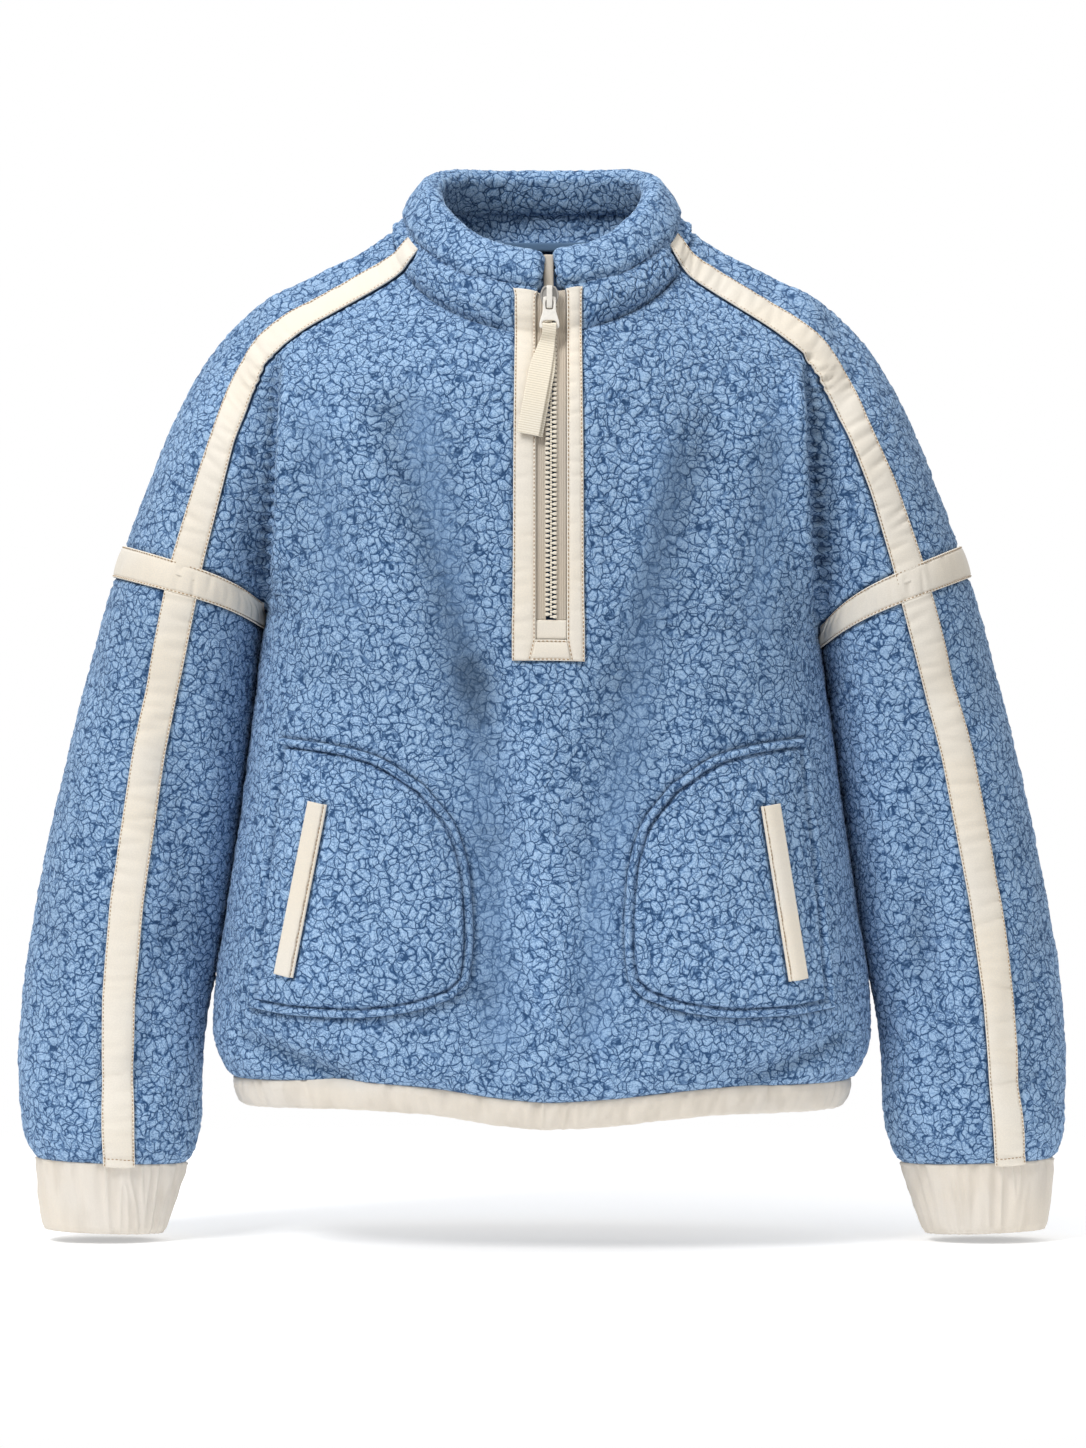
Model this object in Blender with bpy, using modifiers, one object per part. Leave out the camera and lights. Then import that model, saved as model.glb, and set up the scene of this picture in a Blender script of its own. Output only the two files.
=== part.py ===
"""A half-zip pullover of thick sherpa fleece, filled out as if it were worn, with nobody in it.

Frame: metres, +X to the right as one looks at the front, the front faces -Y, +Z up.
The origin is in the middle of the neck, level with the tops of the shoulders.

The garment is three skins of rings:
  the yoke, rings around the neck, from the collar seam out to the two armholes,
  the torso, rings from the armpits down to the hem, and
  the sleeves, rings from the armholes down to the cuffs.
Front, back, sleeves and bands are cut from those skins. What is sewn on a panel (strips, armbands,
placket, pockets, welts) is made from the panel's own points, moved out.
"""

import math

import bmesh
import bpy
import numpy as np
from mathutils import Matrix, Vector
from mathutils.bvhtree import BVHTree

COLLECTION = "half_zip_pullover"

# ---------------------------------------------------------------- driving dimensions, in metres
WALL = 0.0045  # sherpa fleece, backing and pile
COLLAR_WALL = 0.0080  # the collar stand is two layers of fleece
BAND_WALL = 0.0040  # the hem band and the cuffs are folded double
SEAM_GAP = 0.0003
STRIP_WIDTH = 0.0200  # strips on the shoulders and sleeves, and the armbands
STRIP_THICK = 0.0022
RING_POINTS = 260  # points that describe one lobe of a ring before it is divided

# The zip lies a little to the right of the garment's middle.
ZIP_X = 0.00625
CHAIN_WIDTH = 0.0074
NECK_TAPE_THICK = 0.0012
PLACKET_OUTER = (-0.0201, 0.0285)
PLACKET_INNER = (-0.0031, 0.0167)
PLACKET_FOOT_TOP_Z = -0.2865
PLACKET_FOOT_Z = -0.3010

LEFT, RIGHT = -1, 1
FRONT, BACK = -1, 1
SIDE_NAME = {LEFT: "left", RIGHT: "right"}


def table(columns, *rows):
    """A short table as a dictionary from each column's name to its values."""
    return dict(zip(columns.split(), np.array(rows, float).T, strict=True))


# Rings of the yoke. share: how far the ring is from the neck (0) to the armhole (1).
# ridge: its outermost point, on the line of the shoulder and the top of the arm.
# front, back: its depth at the middle. torso: half width of the lobe round the chest, squared off
# by its power. arm_in: where the arm's lobe begins, arm: that lobe's depth. melt: how softly the
# two lobes join. fold: where the hollow between chest and arm lies.
YOKE = table(
    "share ridge_x ridge_z front_z front back_z back torso power arm_in arm melt fold",
    (0.000, 0.1065, 0.0125, -0.0715, 0.100, 0.0050, 0.076, 0.1065, 2.1, 0.0100, 0.000, 0.000, 0.083),
    (0.059, 0.1210, 0.0000, -0.0830, 0.107, -0.011, 0.083, 0.1210, 2.1, 0.0150, 0.010, 0.010, 0.094),
    (0.212, 0.1650, -0.0232, -0.1140, 0.119, -0.054, 0.098, 0.1650, 2.3, 0.0300, 0.045, 0.020, 0.130),
    (0.360, 0.2074, -0.0462, -0.1437, 0.125, -0.095, 0.108, 0.2060, 2.4, 0.0500, 0.070, 0.030, 0.163),
    (0.460, 0.2311, -0.0685, -0.1637, 0.128, -0.122, 0.113, 0.2170, 2.6, 0.0700, 0.082, 0.032, 0.180),
    (0.567, 0.2502, -0.0973, -0.1850, 0.130, -0.152, 0.118, 0.2120, 2.6, 0.1150, 0.083, 0.030, 0.187),
    (0.666, 0.2646, -0.1261, -0.2050, 0.132, -0.179, 0.121, 0.2070, 2.6, 0.1430, 0.081, 0.024, 0.188),
    (0.857, 0.2873, -0.1837, -0.2430, 0.134, -0.232, 0.126, 0.2010, 2.7, 0.1790, 0.079, 0.012, 0.193),
    (1.000, 0.3035, -0.2275, -0.2720, 0.135, -0.272, 0.128, 0.1980, 2.7, 0.1980, 0.078, 0.000, 0.198),
)
YOKE_LENGTH = 0.325  # along the shoulder and arm, from the neck to the armhole
ARM_POWER = 2.1
ARMPIT_Z = {LEFT: -0.268, RIGHT: -0.285}

# Rings of the torso, from the armpits to the seam of the hem band.
TORSO = table(
    "z half_width front back power",
    (-0.2720, 0.1980, 0.135, 0.128, 2.7),
    (-0.3277, 0.2045, 0.135, 0.128, 2.7),
    (-0.3997, 0.2138, 0.132, 0.127, 2.7),
    (-0.4717, 0.2246, 0.130, 0.126, 2.7),
    (-0.5437, 0.2350, 0.129, 0.125, 2.7),
    (-0.5700, 0.2362, 0.128, 0.124, 2.7),
    (-0.5880, 0.2310, 0.124, 0.120, 2.7),
    (-0.5980, 0.2262, 0.119, 0.115, 2.7),
    (-0.6030, 0.2215, 0.114, 0.110, 2.7),
)
TORSO_ROWS_Z = (-0.335, -0.370, -0.408, -0.446, -0.484, -0.520, -0.553, -0.578, -0.594, -0.603)

# How much higher the hem is than its ring, across the front, and how much of that the back has.
HEM = table(
    "x rise",
    (-0.235, 0.0042),
    (-0.153, 0.0062),
    (-0.081, 0.0028),
    (-0.032, -0.0046),
    (0.004, -0.0074),
    (0.040, -0.0060),
    (0.098, -0.0002),
    (0.139, 0.0026),
    (0.235, 0.0030),
)
HEM_SHARE = {FRONT: 1.0, BACK: 0.35}
HEM_BAND_Z, HEM_BAND_IN = -0.6215, 0.0065

# Rings of a sleeve, by their outer and inner edges seen from the front. The cuff follows.
SLEEVE = table(
    "length out_x out_z in_x in_z front back bend",
    (0.000, 0.3035, -0.2275, 0.1980, -0.2720, 0.078, 0.078, 0.30),
    (0.030, 0.3143, -0.2620, 0.2045, -0.2950, 0.076, 0.075, 0.15),
    (0.075, 0.3275, -0.3100, 0.2076, -0.3300, 0.071, 0.070, 0.00),
    (0.148, 0.3460, -0.3850, 0.2172, -0.4000, 0.067, 0.067, 0.00),
    (0.226, 0.3630, -0.4650, 0.2276, -0.4750, 0.065, 0.066, 0.00),
    (0.300, 0.3745, -0.5400, 0.2394, -0.5450, 0.063, 0.064, 0.00),
    (0.350, 0.3776, -0.5900, 0.2438, -0.5920, 0.061, 0.062, 0.00),
    (0.385, 0.3757, -0.6250, 0.2444, -0.6270, 0.057, 0.058, 0.00),
    (0.405, 0.3718, -0.6450, 0.2480, -0.6480, 0.050, 0.051, 0.00),
    (0.418, 0.3650, -0.6570, 0.2550, -0.6610, 0.042, 0.043, 0.00),
)
SLEEVE_ROWS = (
    0.010, 0.036, 0.070, 0.105, 0.140, 0.175, 0.210, 0.245, 0.280, 0.315, 0.347, 0.374, 0.396, 0.418,
)
SLEEVE_SWING = {LEFT: 0.0, RIGHT: 0.0040}  # how much further out the end of the sleeve hangs
CUFF = table(
    "length out_x out_z in_x in_z front back bend",
    (0.000, 0.3650, -0.6570, 0.2550, -0.6610, 0.042, 0.043, 0.0),
    (0.014, 0.3618, -0.6710, 0.2615, -0.6750, 0.037, 0.038, 0.0),
    (0.030, 0.3608, -0.6870, 0.2665, -0.6900, 0.034, 0.035, 0.0),
    (0.052, 0.3595, -0.7075, 0.2715, -0.7110, 0.031, 0.032, 0.0),
)
CUFF_ROWS = (0.014, 0.030, 0.052)

# Middle line of the strips, seen from the front: distance from the garment's middle at each height.
STRIP_LINE = table(
    "z left right",
    (0.0300, 0.0650, 0.0700),
    (0.0040, 0.0864, 0.0920),
    (-0.0180, 0.1034, 0.1055),
    (-0.0430, 0.1461, 0.1440),
    (-0.0596, 0.1755, 0.1700),
    (-0.0790, 0.1997, 0.1950),
    (-0.0990, 0.2110, 0.2085),
    (-0.1390, 0.2237, 0.2242),
    (-0.1777, 0.2344, 0.2400),
    (-0.2315, 0.2493, 0.2570),
    (-0.3669, 0.2770, 0.2936),
    (-0.4694, 0.2925, 0.3130),
    (-0.5388, 0.2985, 0.3230),
    (-0.6600, 0.3000, 0.3330),
)

# On the shoulder the strips are wider than on the sleeve.
STRIP_HALF = table("share half", (0.0, 0.0115), (0.06, 0.0135), (0.42, 0.0130), (0.60, STRIP_WIDTH / 2))

# Collar, by angle round the neck from the middle of the front. stand_z: top of the stand, just
# under the roll. low_z, rim_z: the two lines that the roll, of radius ROLL, is drawn round.
COLLAR = table(
    "angle stand_z low_z rim_z",
    (0.0, -0.0432, -0.0335, -0.0230),
    (30.0, -0.0342, -0.0245, -0.0125),
    (60.0, -0.0104, -0.0007, 0.0115),
    (90.0, 0.0132, 0.0228, 0.0360),
    (135.0, 0.0279, 0.0367, 0.0500),
    (180.0, 0.0293, 0.0380, 0.0515),
)
STAND_TOP = {"half_width": 0.0985, "front": 0.0980, "back": 0.0755}
ROLL_LOW = {"half_width": 0.0905, "front": 0.0900, "back": 0.0710}
ROLL_RIM = {"half_width": 0.0815, "front": 0.0830, "back": 0.0655}
ROLL = 0.0095
ROLL_GAP = (0.0007, 0.0086)  # the roll is open at the front between these

# The largest folds. face: 1 front, 2 back. Each runs from x0, z0 by x1, z1 to x2, z2, reach is
# how far it spreads to each side, and depth is how far it goes in, or out where it is negative.
FOLDS = table(
    "face x0 z0 x1 z1 x2 z2 reach depth",
    (1, -0.112, -0.095, -0.076, -0.210, -0.038, -0.420, 0.026, 0.009),
    (1, -0.038, -0.400, -0.034, -0.480, -0.040, -0.560, 0.022, 0.007),
    (1, 0.117, -0.100, 0.092, -0.250, 0.056, -0.440, 0.026, 0.007),
    (1, 0.045, -0.440, 0.036, -0.500, 0.036, -0.570, 0.020, 0.004),
    (1, 0.006, -0.340, 0.004, -0.460, 0.008, -0.580, 0.030, -0.004),
    (1, -0.205, -0.552, -0.140, -0.582, -0.070, -0.565, 0.010, 0.005),
    (1, 0.075, -0.562, 0.135, -0.584, 0.200, -0.558, 0.010, 0.005),
    (1, -0.262, -0.330, -0.256, -0.430, -0.240, -0.540, 0.016, 0.006),
    (1, 0.258, -0.300, 0.272, -0.440, 0.250, -0.560, 0.016, 0.006),
    (1, -0.345, -0.590, -0.318, -0.600, -0.270, -0.585, 0.012, 0.004),
    (1, 0.290, -0.585, 0.325, -0.604, 0.360, -0.590, 0.012, 0.004),
    (2, -0.110, -0.120, -0.085, -0.280, -0.060, -0.440, 0.028, 0.008),
    (2, 0.105, -0.130, 0.090, -0.300, 0.070, -0.460, 0.028, 0.007),
    (2, 0.000, -0.250, 0.004, -0.400, -0.006, -0.560, 0.032, 0.005),
    (2, -0.180, -0.540, -0.120, -0.575, -0.040, -0.560, 0.014, 0.005),
    (2, 0.050, -0.555, 0.110, -0.578, 0.185, -0.545, 0.014, 0.005),
    (2, -0.300, -0.330, -0.310, -0.450, -0.290, -0.560, 0.020, 0.006),
    (2, 0.295, -0.320, 0.305, -0.430, 0.310, -0.560, 0.020, 0.006),
)
FOLD_STEPS = 13

# Pocket outline on the right side, seen from the front, from its outer top corner round by the
# middle of the garment. The left pocket reaches further in.
POCKET_TOP = ((0.1845, -0.3540), (0.1540, -0.3580), (0.1215, -0.3655), (0.0850, -0.3873))
POCKET_INNER = (
    (0.0850, -0.3873), (0.0623, -0.4185), (0.0537, -0.4531), (0.0516, -0.4910), (0.0545, -0.5225),
    (0.0660, -0.5360),
)
POCKET_BOTTOM = (
    (0.2060, -0.5445), (0.1700, -0.5492), (0.1350, -0.5500), (0.0980, -0.5460), (0.0660, -0.5360),
)
POCKET_OUTER = ((0.1845, -0.3540), (0.1965, -0.4490), (0.2060, -0.5445))
POCKET_REACH = {LEFT: 1.03, RIGHT: 0.965}
POCKET_LIFT, POCKET_THICK, POCKET_PUFF = 0.0003, 0.0038, 0.0032
WELT = {LEFT: ((-0.1558, -0.4000), (-0.1798, -0.5207)), RIGHT: ((0.1587, -0.4015), (0.1784, -0.5235))}
WELT_WIDTH, WELT_THICK, WELT_LIFT, WELT_CELLS = 0.0140, 0.0022, 0.0006, 8

# How many cells each stretch of a ring is divided into.
CELLS = {"back": 9, "arm_back": 8, "strip": 1, "arm_front": 4, "chest": 8}
YOKE_ROWS = (0.0, 0.10, 0.20, 0.30, 0.40, 0.50, 0.60, 0.70, 0.80, 0.89, 1 - 0.010 / YOKE_LENGTH, 1.0)
STAND_ROWS = (1.0, 0.62, 0.30)  # from the top of the stand down to the neck seam

FLEECE = ("fleece", (0.178, 0.292, 0.468), 0.95)
RIB = ("cream_jersey", (0.740, 0.690, 0.610), 0.85)
TAPE = ("cream_twill", (0.760, 0.700, 0.600), 0.60)
RIBBON = ("cream_grosgrain", (0.860, 0.800, 0.690), 0.70)
LINING = ("blue_tape", (0.110, 0.200, 0.340), 0.70)
GUARD = ("taupe_tape", (0.480, 0.420, 0.360), 0.80)
PLASTIC = ("cream_plastic", (0.800, 0.760, 0.680), 0.45)
ENAMEL = ("cream_enamel", (0.790, 0.750, 0.680), 0.35)


# ---------------------------------------------------------------- curves
def smooth(xs, ys, at):
    """A curve through the points that never overshoots them (a monotone cubic)."""
    order = np.argsort(xs)
    xs, ys = np.asarray(xs, float)[order], np.asarray(ys, float)[order]
    step, rise = np.diff(xs), np.diff(ys)
    slope = rise / step
    inner = np.zeros(len(xs) - 2)
    same = slope[:-1] * slope[1:] > 0
    near, far = 2 * step[1:] + step[:-1], step[1:] + 2 * step[:-1]
    inner[same] = (near + far)[same] / (near[same] / slope[:-1][same] + far[same] / slope[1:][same])
    tangent = np.concatenate([[slope[0]], inner, [slope[-1]]])
    at = np.clip(np.asarray(at, float), xs[0], xs[-1])
    k = np.clip(np.searchsorted(xs, at, side="right") - 1, 0, len(step) - 1)
    t = (at - xs[k]) / step[k]
    return (
        ys[k] * (1 + 2 * t) * (1 - t) ** 2
        + tangent[k] * step[k] * t * (1 - t) ** 2
        + ys[k + 1] * t * t * (3 - 2 * t)
        - tangent[k + 1] * step[k] * t * t * (1 - t)
    )


def read(rows, key, at):
    """The values of a table's columns, smoothly, where its key column is at."""
    return {name: smooth(rows[key], column, at) for name, column in rows.items() if name != key}


def ease(t):
    t = np.clip(t, 0.0, 1.0)
    return t * t * (3 - 2 * t)


def along(points):
    """Distance along a line of points."""
    return np.concatenate([[0.0], np.cumsum(np.linalg.norm(np.diff(points, axis=0), axis=1))])


def at_distance(points, where):
    run = along(points)
    return np.stack([np.interp(where, run, points[:, i]) for i in range(3)], axis=1)


def lobe(x, middle, half, depth, power):
    """Depth of a squared-off ellipse over x, and below zero outside it."""
    off = np.abs(x - middle) / half
    inside = depth * np.clip(1 - off**power, 0, 1) ** (1 / power)
    return np.where(off > 1, -2 * (off - 1) * half, inside)


def join_softly(a, b, melt):
    """The larger of two depths, with a soft hollow where they cross."""
    near = np.clip(melt - np.abs(a - b), 0, None)
    return np.maximum(a, b) + near**2 / max(4 * melt, 1e-9)


def lobe_places(low, high, power):
    """Places across a lobe that lie close together where it curves most."""
    angle = np.linspace(0, math.pi / 2, RING_POINTS)
    out = np.sin(angle) ** (2 / power)
    middle, half = (low + high) / 2, (high - low) / 2
    return np.concatenate([middle - half * out, middle + half * out])


# ---------------------------------------------------------------- rings
def strip_x(side, z):
    line = STRIP_LINE["left" if side == LEFT else "right"]
    return np.interp(z, STRIP_LINE["z"][::-1], line[::-1])


def arm_height(q, bend):
    """How far down an arm's ring is, from 0 at its outer edge (q 0) to 1 at its inner edge."""
    return (1 - bend) * q + bend * q**6


def yoke_arc(share, side, face):
    """Half of a ring on one face, from the middle of the garment out to the ridge of the arm."""
    r = read(YOKE, "share", share)
    depth_at, centre_z = (r["front"], r["front_z"]) if face == FRONT else (r["back"], r["back_z"])
    ridge = r["ridge_x"]
    chest = lobe_places(-r["torso"], r["torso"], r["power"])
    x = np.concatenate([chest, lobe_places(r["arm_in"], ridge, ARM_POWER)])
    x = np.unique(np.concatenate([x[(x >= 0) & (x <= ridge)], [0.0, r["fold"], ridge]]))
    chest = lobe(x, 0.0, r["torso"], depth_at, r["power"])
    arm = lobe(x, (r["arm_in"] + ridge) / 2, (ridge - r["arm_in"]) / 2, r["arm"], ARM_POWER)
    depth = join_softly(chest, arm, float(r["melt"]))
    depth[-1] = 0.0
    depth = np.clip(depth, 0.0, None)
    # Height: near the neck it climbs all the way to the ridge, at the armhole only over the arm.
    t, armpit = x / ridge, r["fold"] / ridge
    climb = (np.arcsin(np.clip(t, 0, 1)) * 2 / math.pi) ** 1.75
    q = np.clip((1 - t) / (1 - armpit), 0, 1)
    over_arm = 1 - arm_height(q, SLEEVE["bend"][0])
    like_armhole = ease((share - 0.25) / 0.75)
    rise = (1 - like_armhole) * climb + like_armhole * over_arm
    z = centre_z + (r["ridge_z"] - centre_z) * rise
    # The two armpits are not quite level.
    droop = ARMPIT_Z[side] - YOKE["front_z"][-1]
    to_armpit = np.where(t < armpit, ease(t / armpit), arm_height(q, SLEEVE["bend"][0]))
    z = z + droop * like_armhole**2 * to_armpit
    return np.stack([side * x, face * depth, z], axis=1)


def collar_arc(sizes, heights, side, face):
    """Half of a ring of the collar on one face, from the middle of the garment to its side."""
    angle = np.linspace(0, math.pi / 2, RING_POINTS)
    depth = sizes["front"] if face == FRONT else sizes["back"]
    turned = np.degrees(angle) if face == FRONT else 180 - np.degrees(angle)
    z = smooth(COLLAR["angle"], COLLAR[heights], turned)
    return np.stack([side * sizes["half_width"] * np.sin(angle), face * depth * np.cos(angle), z], axis=1)


def stand_arc(rise, side, face):
    """A ring of the collar stand, between the neck seam (0) and the roll (1), slightly full."""
    top = collar_arc(STAND_TOP, "stand_z", side, face)
    seam = yoke_arc(0.0, side, face)
    seam = at_distance(seam, np.linspace(0, along(seam)[-1], RING_POINTS))
    top = at_distance(top, np.linspace(0, along(top)[-1], RING_POINTS))
    ring = seam + (top - seam) * rise
    ring[:, :2] *= 1 + 0.10 * rise * (1 - rise)
    return ring


def sleeve_arc(rows, length, side, face, droop=0.0):
    """Half of a sleeve's ring on one face, from its inner edge to its outer edge."""
    r = read(rows, "length", length)
    swing = SLEEVE_SWING[side] * ease((-0.60 - r["out_z"]) / 0.07)
    inner, outer = r["in_x"] + swing * 0.7, r["out_x"] + swing
    x = np.unique(np.clip(lobe_places(inner, outer, ARM_POWER), inner, outer))
    full = r["front"] if face == FRONT else r["back"]
    depth = lobe(x, (inner + outer) / 2, (outer - inner) / 2, full, ARM_POWER)
    depth[[0, -1]] = 0.0
    q = (outer - x) / (outer - inner)
    z = r["out_z"] + (r["in_z"] + droop - r["out_z"]) * arm_height(q, r["bend"])
    return np.stack([side * x, face * np.clip(depth, 0, None), z], axis=1)


def crossing(arc, side):
    """Distance along a front arc at which it crosses the middle line of the strip."""
    ahead = np.abs(arc[:, 0]) - strip_x(side, arc[:, 2])
    last = np.flatnonzero((ahead[:-1] < 0) & (ahead[1:] >= 0))[-1]
    part = -ahead[last] / (ahead[last + 1] - ahead[last])
    run = along(arc)
    return run[last] + part * (run[last + 1] - run[last])


def distance_at_x(line, x):
    """Distance along a line at which it first reaches x; x grows along the line."""
    return np.interp(x, line[:, 0], along(line))


def divide(stops, cells):
    """Distances that divide each stretch between two stops into its number of equal cells."""
    parts = [np.linspace(a, b, n + 1)[:-1] for a, b, n in zip(stops[:-1], stops[1:], cells, strict=True)]
    return np.concatenate([*parts, [stops[-1]]])


FRONT_X = (
    PLACKET_OUTER[0], PLACKET_INNER[0], ZIP_X - CHAIN_WIDTH / 2, ZIP_X + CHAIN_WIDTH / 2,
    PLACKET_INNER[1], PLACKET_OUTER[1],
)
ARM_FRONT_CELLS = [CELLS["arm_front"], CELLS["strip"], CELLS["strip"]]


def upper_ring(arc_of, share):
    """A whole ring round the neck as points, from the left strip's middle over the front to the
    right strip's, then over the back to the left again. arc_of gives its four quarters."""
    fold = float(read(YOKE, "share", share)["fold"])
    quarter = {(s, f): arc_of(s, f) for s in (LEFT, RIGHT) for f in (FRONT, BACK)}
    cross = {s: crossing(quarter[s, FRONT], s) for s in (LEFT, RIGHT)}
    left, right = quarter[LEFT, FRONT], quarter[RIGHT, FRONT]
    front = np.concatenate([left[::-1], right[1:]])
    middle = along(left)[-1]
    half = float(np.interp(share, STRIP_HALF["share"], STRIP_HALF["half"]))
    stops = [middle - cross[LEFT], middle - cross[LEFT] + half, distance_at_x(front, -fold)]
    stops += [distance_at_x(front, x) for x in FRONT_X]
    stops += [distance_at_x(front, fold), middle + cross[RIGHT] - half, middle + cross[RIGHT]]
    half_front = [CELLS["strip"], CELLS["arm_front"], CELLS["chest"]]
    cells = [*half_front, 1, 1, 1, 1, 1, *half_front[::-1]]
    over_front = at_distance(front, divide(stops, cells))

    rest_right = np.concatenate([right, quarter[RIGHT, BACK][::-1][1:]])
    rest_left = np.concatenate([left, quarter[LEFT, BACK][::-1][1:]])
    back = np.concatenate([rest_right, rest_left[::-1][1:]])
    length_right, length = along(rest_right)[-1], along(back)[-1]
    fold_right = length_right - distance_at_x(quarter[RIGHT, BACK], fold)
    back_left = quarter[LEFT, BACK] * (-1, 1, 1)
    fold_left = length_right + distance_at_x(back_left, fold)
    stops = [cross[RIGHT], cross[RIGHT] + half, fold_right, length_right, fold_left]
    stops += [length - cross[LEFT] - half, length - cross[LEFT]]
    half_back = [CELLS["strip"], CELLS["arm_back"], CELLS["back"]]
    cells = [*half_back, *half_back[::-1]]
    over_back = at_distance(back, divide(stops, cells))
    return over_front, over_back


def torso_ring(z):
    """A ring of the torso: from the left side over the front to the right side, and back."""
    r = read(TORSO, "z", z)
    angle = np.linspace(0, math.pi / 2, RING_POINTS)
    out, deep = np.sin(angle) ** (2 / r["power"]), np.cos(angle) ** (2 / r["power"])

    def height(side, face):
        """Level, but for the armpits, and for the hem, which dips at the middle of the front."""
        near_armpit = 1 - ease((TORSO["z"][0] - z) / 0.10)
        near_hem = ease((-0.50 - z) / 0.10)
        at_side = smooth(HEM["x"], HEM["rise"], side * r["half_width"])
        rise = smooth(HEM["x"], HEM["rise"], side * r["half_width"] * out)
        rise = at_side + (rise - at_side) * HEM_SHARE[face]
        return z + (ARMPIT_Z[side] - YOKE["front_z"][-1]) * near_armpit * ease(out) + near_hem * rise

    def half_ring(face, depth):
        x, y = r["half_width"] * out, face * depth * deep
        sides = [np.stack([s * x, y, height(s, face)], axis=1) for s in (LEFT, RIGHT)]
        return np.concatenate([sides[0][::-1], sides[1][1:]])

    front, back = half_ring(FRONT, r["front"]), half_ring(BACK, r["back"])[::-1]
    stops = [0.0, *[distance_at_x(front, x) for x in FRONT_X], along(front)[-1]]
    over_front = at_distance(front, divide(stops, [CELLS["chest"], 1, 1, 1, 1, 1, CELLS["chest"]]))
    stops = [0.0, along(back)[-1] / 2, along(back)[-1]]
    return over_front, at_distance(back, divide(stops, [CELLS["back"], CELLS["back"]]))


def sleeve_ring(rows, length, side, droop):
    """A closed ring from the inner edge over the front, the outer edge and the back."""
    front = sleeve_arc(rows, length, side, FRONT, droop)
    back = sleeve_arc(rows, length, side, BACK, droop)[::-1]
    whole = np.concatenate([front, back[1:]])
    strip, end = crossing(front, side), along(whole)[-1]
    half = STRIP_WIDTH / 2
    stops = [0.0, strip - half, strip, strip + half, end]
    return at_distance(whole, divide(stops, [*ARM_FRONT_CELLS, CELLS["arm_back"]]))


# ---------------------------------------------------------------- folds
def fold_depth(points, normals):
    """How far in each point is pushed by the folds of the face it is on."""
    total = np.zeros(len(points))
    step = np.linspace(0, 1, FOLD_STEPS)
    for i in range(len(FOLDS["face"])):
        f = {name: column[i] for name, column in FOLDS.items()}
        ends = [np.array([f[f"x{k}"], f[f"z{k}"]]) for k in range(3)]
        # A bow through the middle point.
        knee = 2 * ends[1] - (ends[0] + ends[2]) / 2
        t = step[:, None]
        line = (1 - t) ** 2 * ends[0] + 2 * (t * (1 - t)) * knee + t**2 * ends[2]
        off = np.linalg.norm(points[:, None, [0, 2]] - line[None], axis=2)
        nearest = off.argmin(axis=1)
        taper = np.clip(np.minimum(step, 1 - step) * 4, 0, 1)[nearest]
        facing = -normals[:, 1] if f["face"] == 1 else normals[:, 1]
        depth = f["depth"] * np.exp(-((off.min(axis=1) / f["reach"]) ** 2))
        total += depth * (0.35 + 0.65 * taper) * ease(facing * 2)
    return total


# ---------------------------------------------------------------- skins and solids
class Skin:
    """All points of the garment's outside, with shared normals, and blocks of indices into them."""

    def __init__(self):
        self.chunks, self.count, self.blocks = [], 0, {}

    def add(self, name, rows):
        rows = np.asarray(rows)
        self.blocks[name] = self.count + np.arange(rows.shape[0] * rows.shape[1]).reshape(rows.shape[:2])
        self.chunks.append(rows.reshape(-1, 3))
        self.count += rows.shape[0] * rows.shape[1]

    def finish(self, quads, fold):
        """Normals as if points that lie on each other were one, then the folds."""
        self.points = np.concatenate(self.chunks)
        _, same = np.unique(np.round(self.points, 6), axis=0, return_inverse=True)
        self.keys = same = same.reshape(-1)
        for push in (False, True):
            corner = self.points[quads]
            facing = np.cross(corner[:, 2] - corner[:, 0], corner[:, 3] - corner[:, 1])
            total = np.zeros((same.max() + 1, 3))
            for k in range(4):
                np.add.at(total, same[quads[:, k]], facing)
            total /= np.maximum(np.linalg.norm(total, axis=1, keepdims=True), 1e-12)
            self.normals = total[same]
            if fold and not push:
                self.points = self.points - self.normals * fold_depth(self.points, self.normals)[:, None]


def quads_between(block, rows=None, columns=None, flip=False):
    """The cells of a block of indices, all or some of its rows and columns."""
    part = block[slice(*(rows or (None,))), slice(*(columns or (None,)))]
    a, b, c, d = part[:-1, :-1], part[1:, :-1], part[1:, 1:], part[:-1, 1:]
    cells = np.stack([a, b, c, d], axis=-1).reshape(-1, 4)
    return cells[:, ::-1] if flip else cells


def inward(points, normals, quads):
    """For each point on the edge of a piece, the way in along the cloth, one unit in from each edge."""
    starts, ends = quads.reshape(-1), np.roll(quads, -1, axis=1).reshape(-1)
    known = set(zip(starts.tolist(), ends.tolist(), strict=True))
    edges = np.array([(a, b) for a, b in zip(starts, ends, strict=True) if (b, a) not in known])
    run = points[edges[:, 1]] - points[edges[:, 0]]
    lean = normals[edges[:, 0]] + normals[edges[:, 1]]
    inside = np.cross(lean, run)
    inside /= np.linalg.norm(inside, axis=1, keepdims=True)
    shift, touched = np.zeros_like(points), {}
    for (a, b), way in zip(edges.tolist(), inside, strict=True):
        for vertex in (a, b):
            touched.setdefault(vertex, []).append(way)
    for vertex, ways in touched.items():
        if len(ways) == 1 or np.dot(ways[0], ways[1]) > 0.99:
            shift[vertex] = ways[0]
        else:
            both = ways[0] + ways[1]
            shift[vertex] = both / max(1 + np.dot(ways[0], ways[1]), 0.35)
    return shift, edges


def add_object(name, points, faces, material):
    mesh = bpy.data.meshes.new(name)
    mesh.from_pydata([tuple(map(float, p)) for p in points], [], [tuple(int(i) for i in f) for f in faces])
    mesh.validate()
    mesh.update()
    return add_mesh(name, mesh, material)


def add_mesh(name, mesh, material):
    obj = bpy.data.objects.new(name, mesh)
    mesh.materials.clear()
    mesh.materials.append(make_material(name, material))
    mesh.shade_smooth()
    mesh.set_sharp_from_angle(angle=math.radians(50))
    bpy.data.collections[COLLECTION].objects.link(obj)
    return obj


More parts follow.
